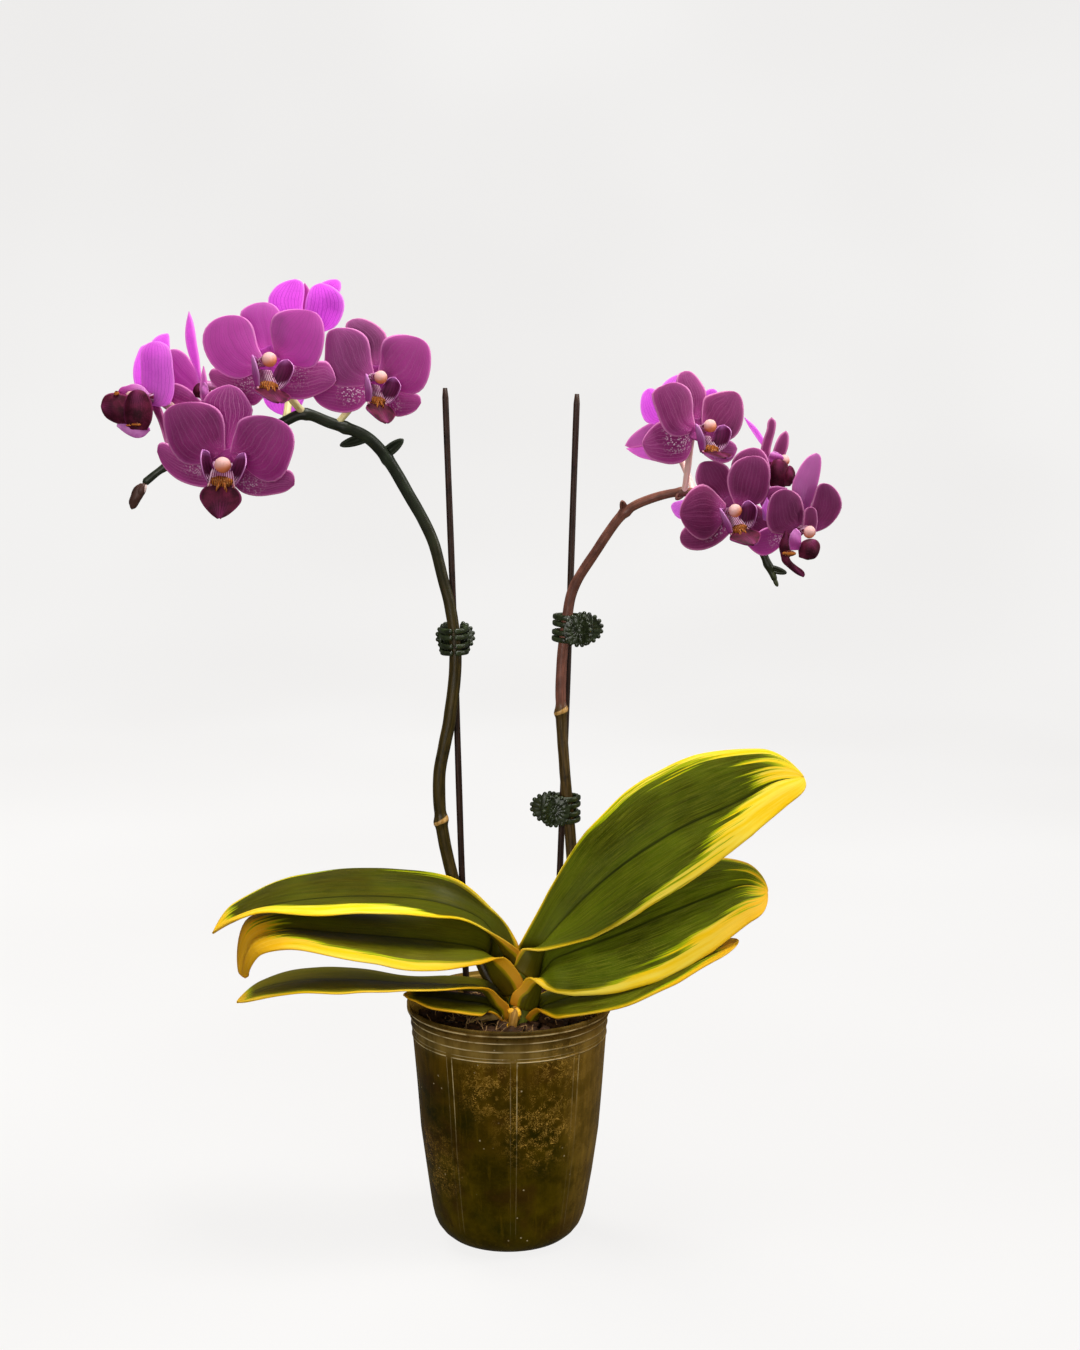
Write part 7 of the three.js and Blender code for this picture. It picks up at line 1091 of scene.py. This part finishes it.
# ------------------------------------------------------------------ spikes
for name, sp in SPIKES.items():
    side = name.split("_")[-1]
    ctrl = np.array(sp["path"], float)
    n = 330
    u, length = even(ctrl, n, 900)
    C = spline(ctrl, u)
    rad = np.interp(u, np.arange(len(ctrl)), sp["radius"])
    ss = np.linspace(0, 1, n)
    node = np.zeros(n)
    soup = Soup()
    for at, strength in sp["nodes"]:
        d = (ss - at) * length
        rad = rad + strength * 0.45 * np.exp(-((d / 1.7) ** 2)) - strength * 0.12 * np.exp(-(((d - 3.4) / 2.0) ** 2))
        node = np.maximum(node, strength * np.exp(-((d / 0.95) ** 2)))
    # little zigzags and swellings, as grown
    sides = 20
    ang = np.linspace(0, 2 * np.pi, sides, endpoint=False)
    lump = np.array([[noise.noise(Vector((s_ * length / 9, math.cos(a) * 0.8, math.sin(a) * 0.8 + (3 if side == "left" else 8)))) for a in ang] for s_ in ss])
    RR = rad[:, None] * (1 + 0.055 * lump)
    RR[-1] *= 0.5
    V, F, uv = tube(C, RR, sides)
    T, A, B = curve_frames(C)
    # a dry scale clasps each joint, slanting up and widening to the right
    off = V.reshape(-1, sides, 3)[:n] - C[:, None, :]
    lean = off[..., 0] / np.maximum(rad[:, None], 0.1)
    scar = np.zeros((n, sides))
    push = np.zeros((n, sides))
    for at, strength in sp["nodes"]:
        d = (ss[:, None] - at) * length - 1.25 * lean
        wide = 1.7 + 1.2 * (lean + 1) / 2
        scar = np.maximum(scar, strength * np.clip(1.25 - np.abs(d) / wide, 0, 1))
        push += strength * 0.45 * np.exp(-((np.clip(d, -6, 6) / wide * 1.5) ** 2))
    k_ = 1 + push / np.maximum(rad[:, None], 0.3)
    V = V.copy()
    V[: n * sides] = (C[:, None, :] + off * k_[..., None]).reshape(-1, 3)
    soup.add(V, F, uvs={"mm": uv}, attrs={"tt": np.repeat(ss, sides), "node": scar.reshape(-1)})
    for at, tip, wide in sp["bracts"]:
        i = int(at * (n - 1))
        tipv = np.array(tip, float)
        basec = C[i]
        ax = unit(tipv - basec)
        sid = unit(np.cross(ax, [0, 1, 0.001]))
        out = np.cross(sid, ax)
        q, w = 13, 11
        Ln = np.linalg.norm(tipv - basec)
        P = np.zeros((q, w, 3))
        for a_ in range(q):
            fr = a_ / (q - 1)
            hw = wide * (1 - fr**3) ** 0.6 * (0.95 + 0.15 * math.sin(math.pi * fr)) + 0.06
            for b_ in range(w):
                x = b_ / (w - 1) * 2 - 1
                P[a_, b_] = basec + ax * Ln * fr + sid * hw * x + out * (hw * 0.9 * (1 - x * x) - 0.3)
        V, F, K = shell(P, 1.0)
        soup.add(V, F, attrs={"node": np.full(len(V), 0.22), "tt": np.full(len(V), at)})
    soup.object(name + "_stem", [SPIKE[side]], replaces=[name], slot="spike")
    # growing tip: a bud in its scales, or a few small closed ones
    soup = Soup()
    tip0 = C[-1]
    if sp["bud"]:
        b0, b1 = (np.array(q_, float) for q_ in sp["bud"])
        ax = unit(b1 - b0)
        sid = unit(np.cross(ax, [0, 1, 0.001]))
        turn = np.stack([sid, np.cross(sid, ax), ax], 1)
        half = np.linalg.norm(b1 - b0) / 2
        V, F = ball((b0 + b1) / 2, (2.45, 2.3, half), 28, 24, turn=turn, bump=lambda v: 1 + 0.05 * noise.noise(Vector(v) * 3.1) + 0.05 * math.sin(v[2] * 7 + v[0] * 3) - 0.12 * max(0.0, -v[2] - 0.4))
        soup.add(V, F, attrs={"node": np.zeros(len(V)), "tt": np.ones(len(V))})
        V, F = ball((b0 + b1) / 2 - ax * half * 0.35 + sid * 0.7 + np.array([0.4, -0.3, 0.3]), (1.9, 2.0, half * 0.55), 22, 16, turn=turn)
        soup.add(V, F, attrs={"node": np.zeros(len(V)), "tt": np.ones(len(V))})
        V, F = ball(b0 + ax * half * 0.55 + np.array([2.2, -1.0, -0.1]), (0.75, 0.6, 2.3), 16, 12, turn=turn)
        soup.add(V, F, attrs={"node": np.ones(len(V)), "tt": np.ones(len(V))})
    else:
        turn = np.stack([A[-1], B[-1], T[-1]], 1)
        for dx, r0, ln, off_ in ((-9.0, 1.35, 3.6, 0.15), (-5.5, 1.35, 2.8, 0.2), (-2.6, 1.25, 2.8, -0.3), (0.4, 1.0, 2.2, 0.1)):
            V, F = ball(tip0 + T[-1] * dx + A[-1] * off_, (r0, r0 * 0.95, ln), 20, 14, turn=turn)
            soup.add(V, F, attrs={"node": np.zeros(len(V)), "tt": np.full(len(V), 1.0)})
    soup.object(name + "_tip", [BUD[side]], replaces=[name], slot="spike")

# ------------------------------------------------------------------ stakes
for name, (top, foot) in STAKES.items():
    a, b = np.array(foot, float), np.array(top, float)
    n = 90
    ss = np.linspace(0, 1, n)
    C = a + (b - a) * ss[:, None]
    C = C + np.stack([0.22 * np.sin(ss * 9 + (1 if "left" in name else 2)), 0.18 * np.cos(ss * 7), 0 * ss], 1) * (np.sin(math.pi * ss)[:, None])
    rad = 1.5 * np.interp(ss, [0, 0.95, 0.992, 1], [1.0, 0.93, 0.9, 0.62])
    ang = np.linspace(0, 2 * np.pi, 16, endpoint=False)
    RR = rad[:, None] * (1 + 0.04 * np.sin(3 * ang + 1)[None, :] + 0.02 * np.sin(40 * ss)[:, None])
    V, F, uv = tube(C, RR, 16)
    build(name + "_cane", V, F, [STAKE], uvs={"mm": uv}, attrs={"tt": np.repeat(ss, 16), "node": np.zeros(len(V))}, replaces=[name], slot="stake")

# ------------------------------------------------------------------ crown: the core that the sheaths clasp, with old stubs
soup = Soup()
ctrl = np.array([[4.9, -6.2, 93.0], [4.9, -6.0, 100.0], [5.0, -4.6, 109.0], [5.0, -2.6, 118.0], [4.9, -1.2, 126.0]])
u, length = even(ctrl, 40)
C = spline(ctrl, u)
ss = np.linspace(0, 1, 40)
ang = np.linspace(0, 2 * np.pi, 24, endpoint=False)
rad = np.interp(ss, [0, 0.2, 0.5, 0.8, 1.0], [5.2, 5.6, 4.2, 2.7, 0.7])
RR = rad[:, None] * (1 + 0.08 * np.sin(ang * 3 + ss[:, None] * 11) + 0.05 * np.sin(30 * ss)[:, None])
V, F, uv = tube(C, RR, 24)
soup.add(V, F, mat=0, uvs={"mm": uv}, attrs={"tt": np.zeros(len(V)), "node": np.zeros(len(V))})
for a, b, r in (((3.4, -10.4, 103.0), (3.9, -15.4, 106.8), 2.2), ((1.8, -12.0, 103.6), (1.4, -15.4, 107.6), 1.5), ((1.2, -14.0, 99.8), (1.0, -18.4, 101.8), 1.5)):
    a, b = np.array(a), np.array(b)
    ss = np.linspace(0, 1, 24)
    C = a + (b - a) * ss[:, None]
    rad = r * np.interp(ss, [0, 0.5, 0.85, 0.96, 1], [1.1, 1.0, 1.02, 0.85, 0.4])
    ang = np.linspace(0, 2 * np.pi, 22, endpoint=False)
    RR = rad[:, None] * np.array([[1 + 0.28 * noise.noise(Vector((math.cos(q_) * 1.5 + r, math.sin(q_) * 1.5, p_ * 2.4 + a[0]))) for q_ in ang] for p_ in ss])
    V, F, uv = tube(C, RR, 22)
    soup.add(V, F, mat=1, uvs={"mm": uv}, attrs={"tt": np.zeros(len(V)), "node": np.zeros(len(V))})
soup.object("crown_core", [stem_material("crown_green", "#4f5a18", "#7f8428", "#2a300d", 0.5), STUB], replaces=["crown_stem"], slot="crown")

# ------------------------------------------------------------------ aerial roots
for name, r in ROOTS.items():
    ctrl = np.array(r["path"], float)
    n = 46
    u, length = even(ctrl, n)
    C = spline(ctrl, u)
    ss = np.linspace(0, 1, n)
    ang = np.linspace(0, 2 * np.pi, 16, endpoint=False)
    lump = np.array([[noise.noise(Vector((s_ * length / 4, math.cos(a), math.sin(a)))) for a in ang] for s_ in ss])
    rad = r["radius"] * np.interp(ss, [0, 0.5, 0.85, 1], [1.0, 1.02, 0.9, 0.6])
    V, F, uv = tube(C, rad[:, None] * (1 + 0.10 * lump), 16)
    build(name + "_skin", V, F, [ROOT if "left" in name else OLD_ROOT], uvs={"mm": uv}, attrs={"tt": np.repeat(ss, 16), "node": np.zeros(len(V))}, replaces=[name], slot="root")

# ------------------------------------------------------------------ pot
RINGS = (101.9, 98.0, 93.3)
RIBS = [math.radians(-90 + 4 + 40 * k) for k in range(9)]
OUT = [(0, 0.35), (10, 0.3), (19, 0.15), (22, 0.0), (25.5, 0.35), (28, 1.5), (30.4, 3.4), (32.4, 6.2), (33.6, 9.2), (34.4, 13)]
z = 13.0
while z < 92:
    z += 2.2
    OUT.append((np.interp(z, [13, 50, 98], [34.4, 39.3, 43.0]), z))
z = OUT[-1][1]
while z < 103.0:
    z += 0.28
    r = np.interp(z, [50, 98, 103.6], [39.3, 43.0, 43.6])
    OUT.append((r, z))
OUT += [(43.7, 103.7), (44.3, 104.1), (44.9, 104.5), (45.0, 105.2), (45.0, 106.6), (45.0, 107.2), (44.7, 107.6), (44.2, 107.7), (43.8, 107.4)]
INN = [(43.7, 106.6), (43.55, 105.2), (43.0, 104.4), (42.5, 103.6), (42.2, 100), (41.9, 96), (38.3, 50), (33.4, 13.4), (32.6, 10.0), (31.6, 7.4), (29.7, 4.9), (27.6, 3.0), (25, 1.9), (21.8, 1.3), (12, 1.25), (0, 1.25)]


def pot_wall(r, z, a):
    if r < 30 or (r, z) in inner_set:
        return r
    extra = sum(0.32 * math.exp(-(((z - zr) / 0.42) ** 2)) for zr in RINGS)
    if z < 93.4:
        fade = min(1.0, (93.4 - z) / 1.2) * min(1.0, max(0.0, (z - 8) / 10))
        for b in RIBS:
            d = (a - b + math.pi) % (2 * math.pi) - math.pi
            extra += 0.34 * fade * math.exp(-((d * r / 0.75) ** 2))
    # the thin wall is a little out of true
    extra += 0.35 * noise.noise(Vector((math.cos(a) * 1.3, math.sin(a) * 1.3, z / 45.0))) * min(1, z / 20)
    extra += 1.1 * max(0.0, math.cos(a)) * min(1.0, z / 30)
    return r + extra - (0.25 if z < 103 else 0.3)


inner_set = set(INN)
profile = OUT + INN
V, F = lathe(profile, 216, pot_wall)
rr = np.hypot(V[:, 0], V[:, 1])
aa = np.arctan2(V[:, 1], V[:, 0])
base_r = np.interp(V[:, 2], [13, 50, 98, 103.6], [34.4, 39.3, 43.0, 43.6])
outside = rr > base_r - 0.75
line = outside.astype(float)  # the pressed lines show on the outside only
build("pot_shell", V, F, [POT], attrs={"line": line}, replaces=["pot"], slot="pot")

# ------------------------------------------------------------------ growing medium
rng = random.Random(5)
soup = Soup()
prof = [(0, 1.9), (14, 1.9), (21.4, 1.95), (24.6, 2.5), (27.0, 3.5), (29.2, 5.4), (31.0, 7.9), (32.0, 10.5), (32.9, 14)]
z = 14
while z < 92:
    z += 2.6
    prof.append((np.interp(z, [14, 50, 96], [32.9, 37.7, 41.2]), z))
prof += [(41.2, 95), (40.6, 97.2), (39, 98.4), (35, 98.6), (30, 98.2), (24, 98.6), (18, 98.9), (12, 99.0), (6, 99.1), (0, 99.1)]
prof = [(0.0001 if r == 0 and False else r, z) for r, z in prof]


def packed(r, z, a):
    if z < 3:
        return r
    k = noise.fractal(Vector((math.cos(a) * r / 8, math.sin(a) * r / 8, z / 8)), 1.0, 2.0, 4)
    return r - 0.25 + min(0.0, 0.8 * k) if r > 30 and z < 96 else r


V, F = lathe(prof, 120, packed)
top = V[:, 2] > 97.5
for i in np.where(top)[0]:
    V[i, 2] += 0.9 * noise.noise(Vector(V[i]) / 5.0) - 0.3
soup.add(V, F, mat=1)


def chip(c, size, rot):
    """A bark chip: a split, rounded block."""
    q = []
    lx, ly, lz = size
    nx, ny, nz = 5, 4, 3
    pts, idx = [], {}
    for i in range(nx):
        for j in range(ny):
            for k in range(nz):
                if i in (0, nx - 1) or j in (0, ny - 1) or k in (0, nz - 1):
                    x, y, zz = i / (nx - 1) * 2 - 1, j / (ny - 1) * 2 - 1, k / (nz - 1) * 2 - 1
                    l = max(1e-6, (abs(x) ** 4 + abs(y) ** 4 + abs(zz) ** 4) ** 0.25)
                    p = np.array([x, y, zz]) / l ** 0.55
                    idx[i, j, k] = len(pts)
                    pts.append(p * [lx / 2, ly / 2, lz / 2])
    P = np.array(pts)
    off = np.array([noise.noise(Vector(p) / 2.2 + Vector(c)) for p in P])
    P = P * (1 + 0.28 * off[:, None])
    faces = []
    for i in range(nx - 1):
        for j in range(ny - 1):
            faces.append([idx[i, j, 0], idx[i, j + 1, 0], idx[i + 1, j + 1, 0], idx[i + 1, j, 0]])
            faces.append([idx[i, j, nz - 1], idx[i + 1, j, nz - 1], idx[i + 1, j + 1, nz - 1], idx[i, j + 1, nz - 1]])
    for i in range(nx - 1):
        for k in range(nz - 1):
            faces.append([idx[i, 0, k], idx[i + 1, 0, k], idx[i + 1, 0, k + 1], idx[i, 0, k + 1]])
            faces.append([idx[i, ny - 1, k], idx[i, ny - 1, k + 1], idx[i + 1, ny - 1, k + 1], idx[i + 1, ny - 1, k]])
    for j in range(ny - 1):
        for k in range(nz - 1):
            faces.append([idx[0, j, k], idx[0, j, k + 1], idx[0, j + 1, k + 1], idx[0, j + 1, k]])
            faces.append([idx[nx - 1, j, k], idx[nx - 1, j + 1, k], idx[nx - 1, j + 1, k + 1], idx[nx - 1, j, k + 1]])
    return P @ np.array(rot).T + c, faces


for i in range(230):
    r = 38.5 * math.sqrt(rng.random())
    a = rng.uniform(0, 2 * math.pi)
    c = np.array([r * math.cos(a), r * math.sin(a), 98.6 + rng.uniform(-0.6, 1.6)])
    if math.hypot(c[0] - 5, c[1] + 5) < 7.5:
        continue
    size = (rng.uniform(5, 11), rng.uniform(4, 7), rng.uniform(2, 4))
    rot = np.array((Matrix.Rotation(rng.uniform(0, 6.28), 3, "Z") @ Matrix.Rotation(rng.uniform(-0.5, 0.5), 3, "X") @ Matrix.Rotation(rng.uniform(-0.4, 0.4), 3, "Y")))
    reach = math.hypot(c[0], c[1]) + size[0] / 2
    if reach > 41.0:
        c[:2] *= (41.0 - size[0] / 2) / math.hypot(c[0], c[1])
    V, F = chip(c, size, rot)
    soup.add(V, F, mat=0)
# strands of dry moss and dead root fibre
for i in range(150):
    r = 37 * math.sqrt(rng.random())
    a = rng.uniform(0, 2 * math.pi)
    if i < 95:  # most of it lies at the left, where the photo shows it above the rim
        a = rng.uniform(2.3, 4.6)
        r = rng.uniform(17, 39)
    c = np.array([r * math.cos(a), r * math.sin(a), 100.0])
    if math.hypot(c[0] - 5, c[1] + 5) < 8:
        continue
    pts = [c]
    d = np.array([rng.uniform(-1, 1), rng.uniform(-1, 1), rng.uniform(0.1, 0.9)])
    for k in range(4):
        d = d + np.array([rng.uniform(-0.8, 0.8), rng.uniform(-0.8, 0.8), rng.uniform(-0.75, 0.45)])
        q = pts[-1] + unit(d) * rng.uniform(1.2, 2.8)
        q[2] = min(max(q[2], 98.8), 105.8)
        lim = math.hypot(q[0], q[1])
        if lim > 41:
            q[:2] *= 41 / lim
        pts.append(q)
    C = spline(pts, np.linspace(0, 4, 15))
    V, F, _ = tube(C, np.linspace(0.34, 0.12, 15) * rng.uniform(0.6, 1.2), 6)
    soup.add(V, F, mat=2)
soup.object("bark_and_moss", [BARK, FILL, MOSS], replaces=["growing_medium"], slot="medium")

# ------------------------------------------------------------------ clips
JAW = [(5.6, 7.2), (4.2, 5.7), (2.6, 4.2), (1.2, 3.1), (-0.6, 2.8), (-2.4, 3.7), (-4.6, 4.9), (-7.3, 5.5), (-10, 4.9), (-12.0, 3.4), (-13.1, 1.8), (-13.5, 0.45)]
DISC_X, DISC_R = -0.9, 6.35


def on_jaw(x):
    q = np.array(JAW)[:8][::-1]
    return float(np.interp(x, q[:, 0], q[:, 1]))


def jaw_shapes(tines, lugs, flip):
    """One jaw in the clip's own axes: X from the stem to the pads, Z along the pin."""
    soup = Soup()
    line = np.array([(x, y, 0) for x, y in JAW], float)
    # thumb pad: a disc over the hinge that follows the jaw's section, with ridges like petals
    na, nr = 97, 15
    P = np.zeros((nr, na, 3))
    for j in range(na):
        a = 2 * math.pi * j / (na - 1)
        for i in range(nr):
            f = i / (nr - 1)
            r = DISC_R * (0.05 + 0.95 * f)
            x, zz = DISC_X + r * math.cos(a), r * math.sin(a)
            petal = abs(math.cos(a * 7))
            y = on_jaw(max(-7.3, min(5.55, x))) + 0.75 + 0.42 * petal * math.sin(math.pi * min(1, f * 1.15)) ** 0.7 - 0.25 * math.exp(-(((f - 0.42) / 0.07) ** 2))
            P[i, j] = (x, y, zz)
    V, F, K = shell(P, 1.2)
    soup.add(V, F)
    # beads round the rim of the disc, and a smaller ring of them inside
    for k in range(17):
        a = 2 * math.pi * (k + 0.5) / 17
        x, zz = DISC_X + (DISC_R + 0.15) * math.cos(a), (DISC_R + 0.15) * math.sin(a)
        if x < -6.4:
            continue
        V, F = ball((x, on_jaw(max(-7.3, min(5.55, x))) + 0.75, zz), (1.02, 1.0, 1.02), 14, 10)
        soup.add(V, F)
    for k in range(11):
        a = 2 * math.pi * (k + 0.5) / 11
        x, zz = DISC_X + 3.7 * math.cos(a), 3.7 * math.sin(a)
        V, F = ball((x, on_jaw(x) + 1.35, zz), (0.62, 0.5, 0.62), 12, 8)
        soup.add(V, F)
    V, F = ball((DISC_X, on_jaw(DISC_X) + 1.2, 0), (1.5, 0.75, 1.5), 18, 12)
    soup.add(V, F)

    def bar(pts, hy, hz, z0, n=26, round_ends=True, lean=0.0):
        """A bar of rounded section along pts at height z0."""
        u, _ = even(pts, n)
        C = spline(pts, u)
        T = unit(np.gradient(C, axis=0))
        Nn = np.stack([-T[:, 1], T[:, 0], 0 * T[:, 0]], 1)
        sec = []
        for k in range(20):
            a = 2 * math.pi * k / 20
            c, s = math.cos(a), math.sin(a)
            sec.append((np.sign(c) * abs(c) ** 0.75, np.sign(s) * abs(s) ** 0.75))
        sc = np.ones(n)
        if round_ends:
            sc[0], sc[1], sc[-3], sc[-2], sc[-1] = 0.7, 0.93, 1.06, 0.95, 0.55
        V = np.array([[C[i] + Nn[i] * hy * c * sc[i] + np.array([0, 0, z0 + lean * i / n + hz * s * sc[i]]) for c, s in sec] for i in range(n)])
        F = []
        for i in range(n - 1):
            for k in range(20):
                a, b = i * 20 + k, i * 20 + (k + 1) % 20
                F.append([a, a + 20, b + 20, b])
        F.append(list(range(20)))
        F.append([(n - 1) * 20 + k for k in range(20)][::-1])
        soup.add(V.reshape(-1, 3), F)

    bar(line[2:7], 0.6, 6.4, 0.0, 22)
    for j, zt in enumerate(tines):
        bar(line[5:12], 0.85, 1.16, zt, 34, lean=0.35 * (-1) ** j)
    for zl in lugs:
        # lug: a ring about the pin with a web up to the spine
        ri, ro, hz = 0.95, 1.75, 0.6
        n = 26
        V = []
        for k in range(n):
            a = 2 * math.pi * k / n
            c, s = math.cos(a), math.sin(a)
            oy = s * ro
            ox = c * ro
            if s > 0:
                oy = s * 2.9
                ox = c * ro
            V += [(ox, oy, zl + hz), (ri * c, ri * s, zl + hz), (ri * c, ri * s, zl - hz), (ox, oy, zl - hz)]
        F = []
        for k in range(n):
            a, b = k * 4, ((k + 1) % n) * 4
            for e in range(4):
                e2 = (e + 1) % 4
                F.append([a + e, a + e2, b + e2, b + e])
        soup.add(np.array(V, float), F)
    if flip:
        soup.v = [v * [1, -1, 1] for v in soup.v]
        soup.f = [q[::-1] for q in soup.f]
    return soup


for name, c in CLIPS.items():
    zax = unit(np.array(c["up"], float))
    xax = np.array(c["pads"], float)
    xax = unit(xax - zax * np.dot(xax, zax))
    yax = np.cross(zax, xax)
    M = np.stack([xax, yax, zax])
    pin = np.array(c["pin"], float)
    for suffix, tines, lugs, flip, body in (("jaw_fixed", (-5.1, -1.7, 1.7, 5.1), (-5.2, 5.2), False, "plant"), ("jaw_moving", (-5.1, -1.7, 1.7, 5.1), (-3.6, 3.6), True, name + "_jaw")):
        soup = jaw_shapes(tines, lugs, flip)
        soup.v = [pin + v @ M for v in soup.v]
        soup.object(name + "_" + suffix + "_moulding", [CLIP], body=body, replaces=[name + "_" + suffix], slot="clip")
    # torsion spring
    n = 150
    t = np.linspace(0, 1, n)
    a = np.pi / 2 - 2 * np.pi * 3 * np.clip((t - 0.06) / 0.88, 0, 1)
    C = np.stack([1.3 * np.cos(a), 1.3 * np.sin(a), -2.1 + 4.2 * np.clip((t - 0.06) / 0.88, 0, 1)], 1)
    for i in range(n):
        if t[i] < 0.06:
            C[i] = np.array([0, 1.3, -2.1]) + (np.array([3, 0.9, -2.2]) - np.array([0, 1.3, -2.1])) * (1 - t[i] / 0.06)
        elif t[i] > 0.94:
            C[i] = np.array([0, 1.3, 2.1]) + (np.array([3, 1.1, 2.2]) - np.array([0, 1.3, 2.1])) * ((t[i] - 0.94) / 0.06)
    V, F, _ = tube(C, np.full(n, 0.25), 10)
    build(name + "_spring_wire", pin + V @ M, F, [WIRE], replaces=[name + "_spring"], slot="metal")
    node = NODES[name + "_pin"]
    node.data.materials.clear()
    node.data.materials.append(WIRE)

# ------------------------------------------------------------------ floor and backdrop
def stage_material():
    """Paper under even studio light: it glows a little of its own, and takes a faint soft shadow."""
    m = Mat("studio_sweep")
    o = m.obj()
    g = m.noise(o, 1.6, 2.0)
    glow = m.mix(m.step(g, 0.3, 0.7), (0.83, 0.82, 0.812, 1), (0.868, 0.86, 0.852, 1))
    e = m.n("Emission", {"Color": glow, "Strength": 1.0})
    d = m.n("BsdfDiffuse", {"Color": m.mix(g, (0.05, 0.0495, 0.049, 1), (0.055, 0.0545, 0.054, 1))})
    return m.done(m.n("AddShader", {0: e.outputs[0], 1: d.outputs[0]}))


path = [(-3.0, 0.0), (-2.0, 0.0), (0.0, 0.0), (1.2, 0.0)]
for k in range(1, 17):
    a = math.pi / 2 * k / 16
    path.append((1.2 + 0.9 * math.sin(a), 0.9 - 0.9 * math.cos(a)))
path.append((2.1, 4.0))
V, F = [], []
for y, zz in path:
    V += [(-4.5, y, zz - 0.0002), (4.5, y, zz - 0.0002)]
for i in range(len(path) - 1):
    F.append([2 * i, 2 * i + 1, 2 * i + 3, 2 * i + 2])
me = bpy.data.meshes.new("studio_sweep")
me.from_pydata(V, [], F)
me.polygons.foreach_set("use_smooth", np.ones(len(me.polygons), bool))
me.materials.append(stage_material())
sweep = bpy.data.objects.new("studio_sweep", me)
bpy.context.scene.collection.objects.link(sweep)
sweep.visible_diffuse = False
sweep.visible_glossy = False
sweep.visible_transmission = True

# ------------------------------------------------------------------ light
scene = bpy.context.scene
world = bpy.data.worlds.new("soft_room")
world.use_nodes = True
bg = world.node_tree.nodes["Background"]
bg.inputs[0].default_value = (1.0, 0.99, 0.98, 1)
bg.inputs[1].default_value = 0.1
scene.world = world


def area(name, at, to, size, power, color=(1, 1, 1)):
    l = bpy.data.lights.new(name, "AREA")
    l.shape = "RECTANGLE"
    l.size, l.size_y = size
    l.energy = power
    l.color = color
    o = bpy.data.objects.new(name, l)
    o.location = at
    d = Vector(to) - Vector(at)
    o.rotation_euler = d.to_track_quat("-Z", "Y").to_euler()
    scene.collection.objects.link(o)
    o.visible_camera = False
    return o


area("key_top", (0.22, -0.12, 1.3), (0.0, 0.0, 0.22), (0.5, 0.45), 17.0, (1.0, 0.99, 0.96))
area("window_back", (-0.7, 0.85, 1.0), (0.0, 0.0, 0.28), (0.7, 0.6), 19.0, (1.0, 0.98, 0.95)).visible_glossy = False
area("front_fill", (-0.35, -1.6, 0.5), (0.0, 0.0, 0.22), (1.0, 0.8), 15.0, (1.0, 0.98, 0.95))
area("right_strip", (1.1, 0.0, 0.6), (0.0, 0.0, 0.25), (0.25, 0.9), 7.0, (1.0, 0.99, 0.97))

# ------------------------------------------------------------------ camera
cam = bpy.data.cameras.new("view")
cam.lens = 2099.0 / 1350.0 * 36.0
cam.sensor_width = 36.0
cam.clip_start, cam.clip_end = 0.02, 30.0
co = bpy.data.objects.new("view", cam)
co.location = (0.0141, -0.895, 0.401)
co.rotation_euler = (math.radians(90 - 9.37), 0, 0)
scene.collection.objects.link(co)
scene.camera = co
scene.view_settings.view_transform = "Standard"
scene.view_settings.look = "None"
scene.view_settings.exposure = 0.0
scene.view_settings.gamma = 1.0
